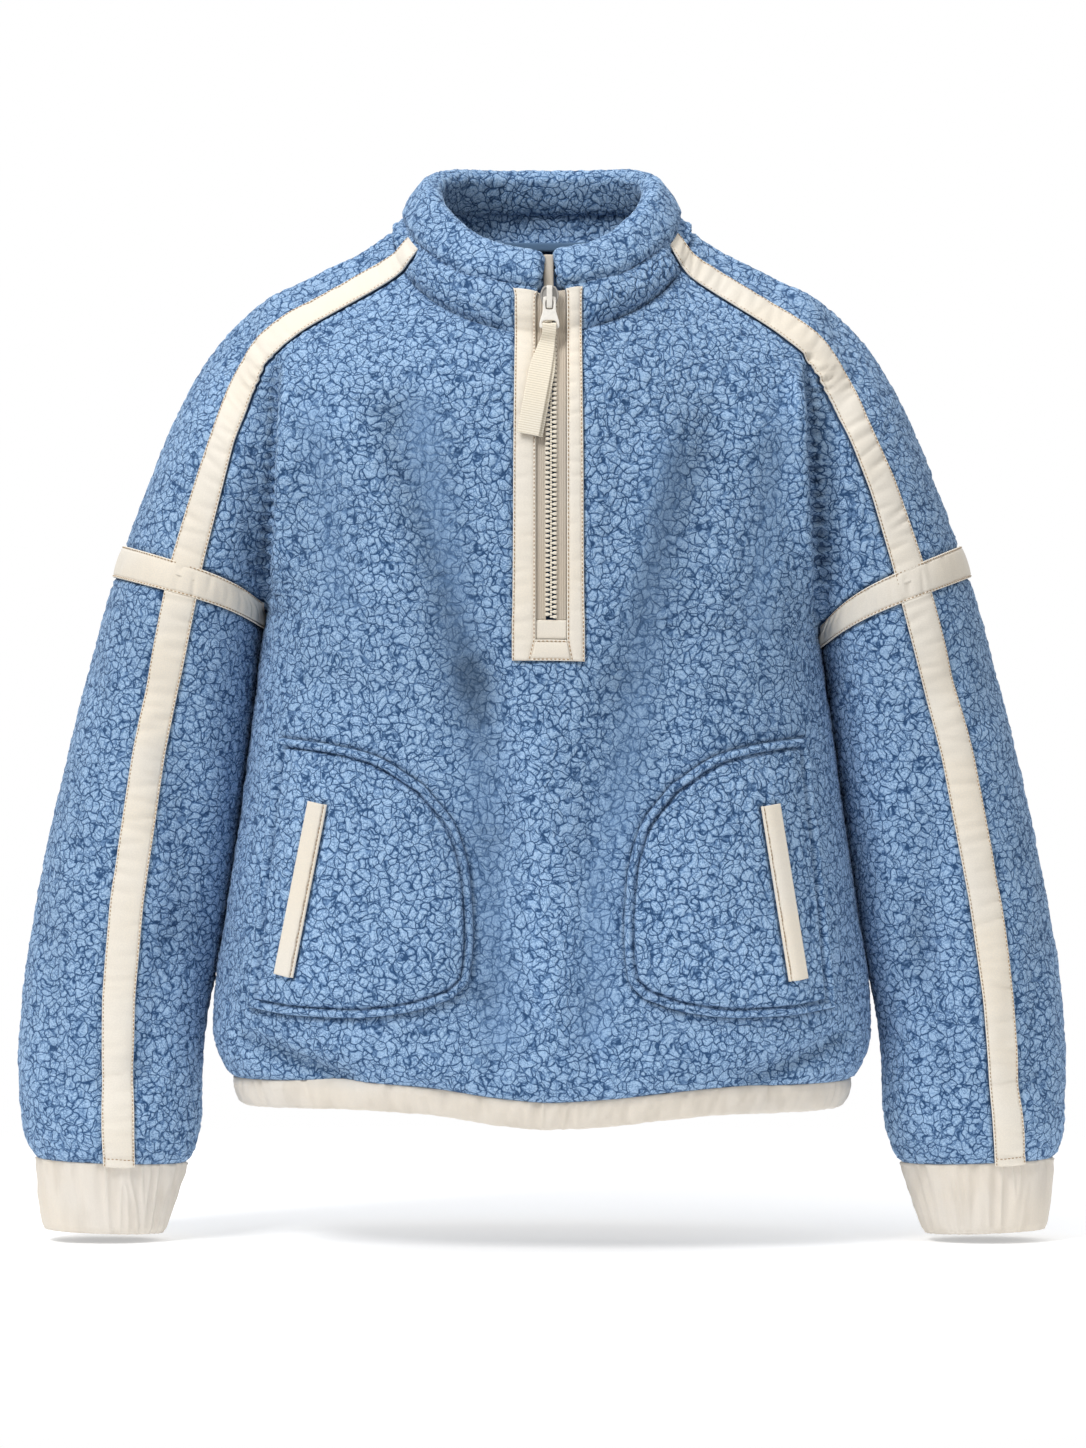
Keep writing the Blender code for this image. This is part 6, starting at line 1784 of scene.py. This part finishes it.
def plate(outlines, thick, edge):
    """An edit mesh of an upright plate with rounded edges, from an outline and its holes as x and z."""
    curve = bpy.data.curves.new("plate", "CURVE")
    curve.dimensions, curve.fill_mode = "2D", "BOTH"
    curve.extrude, curve.bevel_depth, curve.bevel_resolution, curve.offset = thick / 2 - edge, edge, 3, -edge
    for loop in outlines:
        spline = curve.splines.new("POLY")
        spline.points.add(len(loop) - 1)
        for place, (x, z) in zip(spline.points, loop):
            place.co = (x, z, 0, 1)
        spline.use_cyclic_u = True
    flat = new_object("plate", curve)
    mesh = evaluated(flat)
    bpy.data.objects.remove(flat, do_unlink=True)
    edit = bmesh.new()
    edit.from_mesh(mesh)
    bmesh.ops.remove_doubles(edit, verts=edit.verts, dist=1e-6)
    return placed(edit, turn=90)


def placed(edit, at=(0, 0, 0), turn=0.0):
    """An edit mesh turned about x by an angle in degrees, and then moved."""
    if turn:
        matrix = Matrix.Rotation(math.radians(turn), 3, "X")
        bmesh.ops.rotate(edit, verts=edit.verts, cent=(0, 0, 0), matrix=matrix)
    bmesh.ops.translate(edit, verts=edit.verts, vec=at)
    return edit


def from_edit(name, edit, material):
    """A piece from an edit mesh."""
    bmesh.ops.recalc_face_normals(edit, faces=edit.faces)
    edit.verts.index_update()
    points = np.array([v.co for v in edit.verts])
    faces = [tuple(v.index for v in f.verts) for f in edit.faces]
    edit.free()
    return add_piece(name, points, faces, material, smooth_angle=40)


def both_sides(half):
    """A closed outline from half widths down its length, as x and z."""
    down = [(w, -d) for d, w in zip(half["down"], half["half"])]
    return rounded(down + [(-w, z) for w, z in down[::-1]], 2)


def joined(edits):
    whole = bmesh.new()
    for edit in edits:
        part = bpy.data.meshes.new("part")
        edit.to_mesh(part)
        edit.free()
        whole.from_mesh(part)
        bpy.data.meshes.remove(part)
    return whole


SLIDER_FRONT_Y = -0.10494
SLIDER_FORM = table(
    "down half",
    (0.0388, 0.0034),
    (0.0404, 0.0052),
    (0.0452, 0.0068),
    (0.0478, 0.0062),
    (0.0516, 0.0046),
    (0.0553, 0.0042),
)


def slider():
    """A shield-shaped plate with a raised rim, its lower plate behind it, and the bail in front."""
    outline = both_sides(SLIDER_FORM)
    inner = outline * (0.80, 1.0)
    middle = -0.0470
    inner[:, 1] = middle + (inner[:, 1] - middle) * 0.84
    base = placed(plate([outline], 0.0017, 0.00045), (SLIDER_X, SLIDER_FRONT_Y + 0.0012, 0))
    rim = plate([outline * (0.98, 1.0), inner], 0.0009, 0.00022)
    rim = placed(rim, (SLIDER_X, SLIDER_FRONT_Y + 0.0002, 0))
    return from_edit("zip_slider", joined([base, rim, bail()]), ENAMEL)


def bail():
    """The bar in front of the plate, on a foot at each end, as an edit mesh."""
    foot, top = PIN_Z + BAIL_Z[0], PIN_Z + BAIL_Z[1]
    far, mid = SLIDER_FRONT_Y - BAIL_ROOM - BAIL_THICK / 2, BAIL_THICK / 2
    # From the plate round the corner at the foot, as y from the bar or the plate and height.
    corner = [(SLIDER_FRONT_Y + 0.0006, 0.0), (far + 0.0012, 0.0), (far + 0.0003, 0.0003), (far, 0.0012)]
    path = [(y, foot + mid + z) for y, z in corner]
    path += [(far, z) for z in np.linspace(foot + 0.0030, top - 0.0030, 4)]
    path += [(y, top - mid - z) for y, z in corner[::-1]]
    path = np.array(path)
    ahead = np.gradient(path, axis=0)
    ahead /= np.linalg.norm(ahead, axis=1, keepdims=True)
    rings = []
    angle = np.arange(16) * math.tau / 16
    wide = BAIL_WIDTH / 2 * np.sign(np.cos(angle)) * np.abs(np.cos(angle)) ** 0.35
    deep = BAIL_THICK / 2 * np.sign(np.sin(angle)) * np.abs(np.sin(angle)) ** 0.35
    for (y, z), (ay, az) in zip(path, ahead):
        rings.append([(SLIDER_X + w, y + d * -az, z + d * ay) for w, d in zip(wide, deep)])
    edit = bmesh.new()
    points, faces = loft(rings)
    made = [edit.verts.new(p) for p in points]
    for face in faces:
        edit.faces.new([made[i] for i in face])
    return edit


def pull_tab():
    """The tab, with a window that goes round the bail and an eye that the ribbon goes through."""
    edit = plate([both_sides(TAB), both_sides(WINDOW), both_sides(EYE)], TAB_THICK, 0.0004)
    return from_edit("zip_pull_tab", placed(edit, (SLIDER_X, PIN_Y, PIN_Z), turn=-TAB_TILT), ENAMEL)


PIN_Y = SLIDER_FRONT_Y - BAIL_ROOM / 2


def front_depth(z):
    """How far forward the middle of the front is at this height."""
    line = skin.points[skin.blocks["front_upper"][:, UP["chain_left"]]]
    return np.interp(z, line[::-1, 2], line[::-1, 1])


# Where the two layers of the ribbon lie, from its middle: how much of its width each takes, and
# how far it is shifted to the side at its foot.
RIBBON_LAYERS = {"front": (0.86, -0.0012), "back": (0.84, 0.0014)}
RIBBON_RIB, RIBBON_COLUMNS = 0.0012, 17


def pull_ribbon():
    """A ribbon folded over the bar of the tab, its two layers a little apart at the foot, each with
    fine ribs across it."""
    tilt = math.radians(TAB_TILT)
    bar_y, bar_z = PIN_Y - math.sin(tilt) * TAB_BAR, PIN_Z - math.cos(tilt) * TAB_BAR
    reach = TAB_THICK / 2 + RIBBON_CLEAR + RIBBON_THICK / 2
    run = np.linspace(0.0034, RIBBON_LENGTH, 200)
    lying = front_depth(bar_z - run) - SEAM_GAP - STRIP_THICK - RIBBON_CLEAR - RIBBON_THICK / 2
    settle_in = ease((run - 0.002) / 0.012)
    apart = RIBBON_THICK + RIBBON_APART
    back_y = np.minimum((bar_y + reach) * (1 - settle_in) + lying * settle_in, lying)
    front_y = np.minimum((bar_y - reach) * (1 - settle_in) + (lying - apart) * settle_in, back_y - apart)
    front_y = front_y - 0.0012 * ease((run - 0.020) / 0.05)  # the upper layer lifts off towards its foot
    turn = np.linspace(math.pi, 0, 26)
    over = [(bar_y + math.cos(a) * reach, -0.0012 - math.sin(a) * (RIBBON_LOOP - 0.0012)) for a in turn]
    path = [(y, down, "front") for y, down in zip(front_y[::-1], run[::-1])]
    path += [(y, down, "front") for y, down in over]
    path += [(y, down, "back") for y, down in zip(back_y, run)]
    lean = math.tan(math.radians(RIBBON_LEAN))
    grid = np.zeros((len(path), RIBBON_COLUMNS, 3))
    share = np.linspace(-0.5, 0.5, RIBBON_COLUMNS)
    for i, (y, down, layer) in enumerate(path):
        below = max(down - 0.003, 0)
        part, shift = RIBBON_LAYERS[layer]
        opened = float(ease(below / 0.030))
        wide = RIBBON_TOP + (RIBBON_FOOT - RIBBON_TOP) * opened
        wide *= 1 + (part - 1) * opened
        slope = lean * float(ease(below / 0.012))
        x = share * wide + shift * opened
        grid[i, :, 0] = SLIDER_X + x - below * lean
        grid[i, :, 1] = y
        grid[i, :, 2] = bar_z - down - x * slope
    g = oriented(grid, unit(np.cross(np.gradient(grid, axis=0), np.gradient(grid, axis=1))))
    rib = 0.00009 * np.cos(along(grid[:, RIBBON_COLUMNS // 2])[:, None] / RIBBON_RIB * math.tau)
    bar = 0.0007 * fading(np.array([p[1] for p in path]) - RIBBON_BAR, 0.0010)[:, None]
    half = RIBBON_THICK / 2
    obj = slab("pull_ribbon", g, half + rib - bar, -half, GROSGRAIN, inner_fine=True)
    return obj, Grid(g.moved(half + 0.0001).points[: len(run)], g.normals[: len(run)], 1, g.flip)


RIBBON_BAR = 0.0115  # from the tab's bar to the stitching across the ribbon


def zip_guard():
    """A narrow strip behind the zip that stands up between the ends of the collar roll."""
    line = np.array(GUARD_LINE)
    y, z = at_distance(line, np.linspace(0, along(line)[-1], 40)).T
    x = np.linspace(GUARD_X[0] - GUARD_BESIDE, GUARD_X[1] + GUARD_BESIDE, GUARD_COLUMNS)
    places = np.stack([np.stack([x, np.full_like(x, b), np.full_like(x, c)], axis=1) for b, c in zip(y, z)])
    u = np.linspace(0, 1, GUARD_COLUMNS)[None, :]
    return slab("zip_guard", patch_grid(places), -0.0005 * (np.abs(u * 2 - 1) ** 4), -GUARD_THICK, TAUPE)


# ---------------------------------------------------------------- building it
def front_fine(block, flip=False):
    """A grid with the sharper folds over a block of point numbers, as fine as the front."""
    return sharpened(fine_grid(skin, block, FRONT_FINE, flip=flip))


def border(*lines):
    return np.concatenate([line.reshape(-1, 3) for line in lines])


rng = np.random.default_rng(7)
skin = build_skin()
fine = fine_grids(skin)
up_names = ("placket_left", "opening_left", "chain_left", "chain_right", "opening_right", "placket_right")
UP = {name: ARM + CELLS["chest"] + CELLS["band"] * i for i, name in enumerate(up_names)}
LOW = {name: CELLS["chest"] + CELLS["band"] * i for i, name in enumerate(up_names)}
LAST_UP, LAST_LOW = skin.blocks["front_upper"].shape[1] - 1, skin.blocks["front_lower"].shape[1] - 1
BACK_LAST, BACK_LAST_LOW = skin.blocks["back_upper"].shape[1] - 1, skin.blocks["back_lower"].shape[1] - 1

FLEECE = fleece_material()
PILE_TREE = pile_modifier()
TWILL = cloth_material("cream_twill", (233, 226, 214))
JERSEY = cloth_material("cream_jersey", (224, 217, 207), weave=0.0006, gathered=80.0)
GROSGRAIN = cloth_material("cream_grosgrain", (240, 233, 218), weave=0.0012, ribs=0.0017)
LINING = cloth_material("blue_tape", (96, 126, 160), weave=0.0008)
TAUPE = cloth_material("taupe_tape", (196, 186, 172), weave=0.0006)
PLASTIC = hard_material("cream_plastic", (236, 228, 212), 0.42)
ENAMEL = hard_material("cream_enamel", (238, 234, 226), 0.30)
GREY = hard_material("grey_enamel", (176, 173, 169), 0.34)
# A darker copy of the grey enamel: painted shade for the sides of the slider's rim.
PAINTED_RIM_SHADE = hard_material("grey_enamel_edge", (112, 108, 103), 0.40)
THREAD_TAN = cloth_material("tan_thread", (172, 144, 112), weave=0.0004)

# Sewn-on strips first, because the fleece lies lower under them.
fu, bu = skin.blocks["front_upper"], skin.blocks["back_upper"]
tapes = {}


def add_tape(name, *sizes, **options):
    tapes[name] = tape(name, *sizes, **options)
    return tapes[name][1]


for side in (LEFT, RIGHT):
    name, n = SIDE_NAME[side], CELLS["strip"]
    if side == LEFT:
        block = np.concatenate([bu[:, -n - 1 : -1], fu[:, : n + 1]], axis=1)
    else:
        block = np.concatenate([fu[:, -n - 1 :], bu[:, 1 : n + 1]], axis=1)
    grid = front_fine(block[: ARMHOLE_ROW + 1])
    add_tape(f"shoulder_strip_{name}", grid, 0.0245)
    grid = fine[f"sleeve_{name}"].part(2, SLEEVE_END, CELLS["arm_front"], CELLS["arm_front"] + 2 * n)
    add_tape(f"sleeve_strip_{name}", grid, STRIP_WIDTH, tab=0.0085)
    rows = []
    for r in (ARMHOLE_ROW - 2, ARMHOLE_ROW - 1):
        rows.append(over_arm(fu[r], bu[r], side))
    ring = np.stack([*rows, *skin.blocks[f"sleeve_{name}"][:3]])[:, 1:-2]
    grid = turned(front_fine(ring, flip=side == LEFT))
    add_tape(f"armband_{name}", grid, STRIP_WIDTH, lift=0.0006)

fl = skin.blocks["front_lower"].copy()
fl[0] = fu[ARMHOLE_ROW, ARM:-ARM]
above = fu[: ARMHOLE_ROW + 1, UP["placket_left"] : UP["placket_right"] + 1]
below = fl[1 : FOOT_ROW + 1, LOW["placket_left"] : LOW["placket_right"] + 1]
middle = np.concatenate([above, below])
B, END, MITRE_SHARE = CELLS["band"], len(middle) - 1, 0.26
front_middle = front_fine(middle)
# The plackets' inner edges lean out over the foot, so that the seams there are mitred.
fine_rows = np.arange(END * FRONT_FINE + 1)
mitre = np.clip((fine_rows / FRONT_FINE - (END - 2)) / 2, 0, 1) * MITRE_SHARE * B * FRONT_FINE
zero, step = np.zeros(len(fine_rows)), B * FRONT_FINE
grid = between_columns(front_middle, zero, zero + step - mitre, 9)
add_tape("placket_left", grid, 0.0170, pucker=0.0008)
grid = between_columns(front_middle, zero + 4 * step + mitre, zero + 5 * step, 9)
add_tape("placket_right", grid, 0.0118, pucker=0.0008)
foot_rows = slice((END - 2) * FRONT_FINE, None)
foot = between_columns(front_middle, zero + step - mitre, zero + 4 * step + mitre, 25)
foot = Grid(foot.points[foot_rows], foot.normals[foot_rows], 1, foot.flip)
add_tape("placket_foot", turned(foot), 0.0145, pucker=0.0001)

STRIP_CORE = 0.0015  # how far under the outside of a strip the pile under it is held down
pocket_covers = []
covers = [top.moved(-STRIP_CORE).flat() for _, top in tapes.values()]
for side in (LEFT, RIGHT):
    name = SIDE_NAME[side]
    top, under, d, cut = pocket(side)
    pocket_covers.append(under.points[d > 0.0004])
    inner_edge = (0, 1) if side == LEFT else (1, 0)
    place = welt_grid(side, top)
    welt_top = add_tape(f"welt_{name}", place, WELT_WIDTH, WELT_LIFT, WELT_THICK, inner_edge, pucker=0.0002)
    finish_piece(pocket_piece(side, top, under, d, cut, welt_top))
for obj, _ in tapes.values():
    finish_piece(obj)
covers, pocket_covers = np.concatenate(covers), np.concatenate(pocket_covers)

# The fleece panels.
f_up, f_low, b_up, b_low = (fine[k] for k in ("front_upper", "front_lower", "back_upper", "back_lower"))
front_parts = [
    f_up.part(NECK_ROW, ARMHOLE_ROW, 0, UP["opening_left"]),
    f_up.part(NECK_ROW, ARMHOLE_ROW, UP["opening_right"], LAST_UP),
    f_low.part(0, FOOT_TOP_ROW, 0, LOW["opening_left"]),
    f_low.part(0, FOOT_TOP_ROW, LOW["opening_right"], LAST_LOW),
    f_low.part(FOOT_TOP_ROW, HEM_ROW, 0, LAST_LOW),
]
neck_front, neck_back = f_up.points[NECK_ROW * FRONT_FINE], b_up.points[NECK_ROW * BACK_FINE]
hem_front, hem_back = f_low.points[HEM_ROW * FRONT_FINE], b_low.points[HEM_ROW * BACK_FINE]
sides = [f_low.points[: HEM_ROW * FRONT_FINE, c] for c in (0, -1)]
finish_piece(fleece("front_body", front_parts, border(neck_front, hem_front, *sides)))
back_parts = [b_up.part(NECK_ROW, ARMHOLE_ROW, 0, BACK_LAST), b_low.part(0, HEM_ROW, 0, BACK_LAST_LOW)]
finish_piece(fleece("back_body", back_parts, border(neck_back, hem_back, *sides)))
for side in (LEFT, RIGHT):
    name = SIDE_NAME[side]
    front, back = fine[f"sleeve_{name}"], fine[f"sleeve_{name}_back"]
    end = skin.blocks[f"sleeve_{name}"].shape[1] - 1
    sewn = border(front.points[: SLEEVE_END * FRONT_FINE, 0], front.points[SLEEVE_END * FRONT_FINE])
    for part, grid, a, b in (("front", front, 0, ARM), ("back", back, ARM, end)):
        finish_piece(fleece(f"sleeve_{part}_{name}", [grid.part(0, SLEEVE_END, a, b)], sewn))
    whole = front.part(SLEEVE_END, SLEEVE_END + len(CUFF_ROWS), 0, end)
    finish_piece(knit_band(f"cuff_{name}", [whole]))
for part, low, last in (("front", f_low, LAST_LOW), ("back", b_low, BACK_LAST_LOW)):
    band = low.part(HEM_ROW, HEM_ROW + BAND_ROWS, 0, last)
    finish_piece(knit_band(f"hem_band_{part}", [band]))

# The collar: stand, roll and neck tape.
whole_back = front_fine(bu)
stand = [
    f_up.part(0, NECK_ROW, UP["opening_right"], LAST_UP),
    f_up.part(0, NECK_ROW, 0, UP["opening_left"]),
    whole_back.part(0, NECK_ROW, 0, BACK_LAST),
]
finish_piece(collar_stand(stand))
finish_piece(collar_roll())
g = whole_back.part(NECK_ROW - 1, NECK_ROW, 0, BACK_LAST)
inside = Grid(g.points, -g.normals, g.k, not g.flip)
depth = COLLAR_WALL + 4 * SEAM_GAP
finish_piece(slab("neck_tape", inside, depth + NECK_TAPE_THICK, depth, LINING))

# The zip.
chain = front_middle.part(0, ARMHOLE_ROW, 2 * B, 3 * B)
finish_piece(zip_chain(chain))
for side, first in ((LEFT, B), (RIGHT, 3 * B)):
    grid = front_middle.part(0, ARMHOLE_ROW, first, first + B)
    finish_piece(zip_tape(f"zip_tape_{SIDE_NAME[side]}", grid, side))
patch = turned(front_middle.part(ARMHOLE_ROW, END - 2, B, 4 * B))
finish_piece(plain_strip("zip_end_patch", patch, -0.0001, TAPE_FOOT, TWILL))
finish_piece(zip_guard())
plate_piece = slider()
for material in (GREY, PAINTED_RIM_SHADE):
    plate_piece.data.materials.append(material)
# The slider's front faces: those facing forward are grey enamel, the others a darker copy of it, painted
# shade on the sides of the rim.
for face in plate_piece.data.polygons:
    if face.center[1] > SLIDER_FRONT_Y - 0.0011:
        face.material_index = 1 if face.normal[1] < -0.75 else 2
finish_piece(plate_piece)
finish_piece(pull_tab(), body="pull")
ribbon, ribbon_front = pull_ribbon()
finish_piece(ribbon, body="pull")

# The stitching.
seams = Solids()
ONE_EDGE = {"welt_left": (1,), "welt_right": (0,)}  # a welt is stitched along its inner edge only
for name, (_, top) in tapes.items():
    for edge in ONE_EDGE.get(name, (0, 1)):
        seams.beside(top, STITCH_IN, edge)
for name in ("sleeve_strip_left", "sleeve_strip_right"):
    seams.over(tapes[name][1], 0.985)
finish_stitches(seams, "strip_stitches")
across_ribbon = Solids()
stitched_z = PIN_Z - math.cos(math.radians(TAB_TILT)) * TAB_BAR - RIBBON_BAR
row = int(np.argmin(np.abs(ribbon_front.points[:, RIBBON_COLUMNS // 2, 2] - stitched_z)))
across_ribbon.line(ribbon_front.points[row], ribbon_front.normals[row])
finish_stitches(across_ribbon, "ribbon_stitches", body="pull")


# ---------------------------------------------------------------- stage, light and camera
CAMERA_AWAY, METRES_PER_PIXEL, PICTURE_WIDTH = 3.5, 0.72e-3, 1086
SENSOR = 36.0
FLOOR_Z, FLOOR_HALF = -0.7165, 6
FLOOR_ENDS = (0.95, 1.25)  # the floor fades away between these distances from the middle
AMBIENT = 0.36
WHITE = (1.0, 1.0, 1.0, 1.0)
# Name, place, what it points at, size, power.
LIGHTS = (
    ("key", (-1.5, -1.9, 1.9), (0, 0, -0.35), 1.1, 68.0),
    ("fill", (1.9, -2.2, 0.3), (0, 0, -0.35), 2.0, 10.0),
    ("top", (0.0, -0.3, 2.2), (0, 0, -0.3), 1.8, 22.0),
    ("back_left", (-1.8, 2.2, 0.8), (0, 0, -0.35), 1.8, 20.0),
    ("back_right", (1.8, 2.2, 0.8), (0, 0, -0.35), 1.8, 20.0),
)


def add_floor():
    floor = bpy.data.meshes.new("floor")
    corners = [(a * FLOOR_HALF, b * FLOOR_HALF, FLOOR_Z) for a, b in ((-1, -1), (1, -1), (1, 1), (-1, 1))]
    floor.from_pydata(corners, [], [(0, 1, 2, 3)])
    obj = new_object("floor", floor)
    material, n, shader = fresh_material("floor", 0.9, Specular_IOR_Level=0.0, Emission_Strength=0.42)
    shader.inputs["Base Color"].default_value = (0.80, 0.80, 0.80, 1)
    shader.inputs["Emission Color"].default_value = WHITE
    at = n.make("ShaderNodeTexCoord", (), "Object")
    far = n.make("ShaderNodeVectorMath", {0: at}, "Value", operation="LENGTH")
    clear = n.make("ShaderNodeBsdfTransparent", (), 0)
    shown = {0: n.between(far, *FLOOR_ENDS), 1: Field(n, shader.outputs[0]), 2: clear}
    n.make("ShaderNodeMixShader", shown, 0).to(n.tree.nodes["Material Output"].inputs[0])
    floor.materials.append(material)


def add_world():
    """Soft light from all round, and plain white behind the garment."""
    world = bpy.data.worlds.new("studio")
    bpy.context.scene.world = world
    world.use_nodes = True
    n = Nodes(world.node_tree)
    back = n.tree.nodes["Background"]
    back.inputs["Color"].default_value = WHITE
    back.inputs["Strength"].default_value = AMBIENT
    shown = n.make("ShaderNodeBackground", {"Color": WHITE, "Strength": 1.0}, 0)
    camera_ray = n.make("ShaderNodeLightPath", (), "Is Camera Ray")
    both = n.make("ShaderNodeMixShader", {0: camera_ray, 1: Field(n, back.outputs[0]), 2: shown}, 0)
    both.to(n.tree.nodes["World Output"].inputs[0])


def add_lights():
    for name, place, aim, size, power in LIGHTS:
        light = bpy.data.lights.new(name, "AREA")
        light.shape, light.size, light.energy = "SQUARE", size, power
        lamp = new_object(name, light)
        lamp.location = place
        lamp.rotation_euler = (Vector(aim) - Vector(place)).to_track_quat("-Z", "Y").to_euler()


def add_camera():
    camera = bpy.data.cameras.new("camera")
    camera.sensor_fit, camera.sensor_width = "HORIZONTAL", SENSOR
    camera.lens = SENSOR * CAMERA_AWAY / (PICTURE_WIDTH * METRES_PER_PIXEL)
    view = new_object("camera", camera)
    view.location = (0.00072, -CAMERA_AWAY, -0.345)
    view.rotation_euler = (math.radians(90), 0, 0)
    scene = bpy.context.scene
    scene.camera = view
    scene.view_settings.view_transform, scene.view_settings.look = "Standard", "None"


add_floor()
add_world()
add_lights()
add_camera()
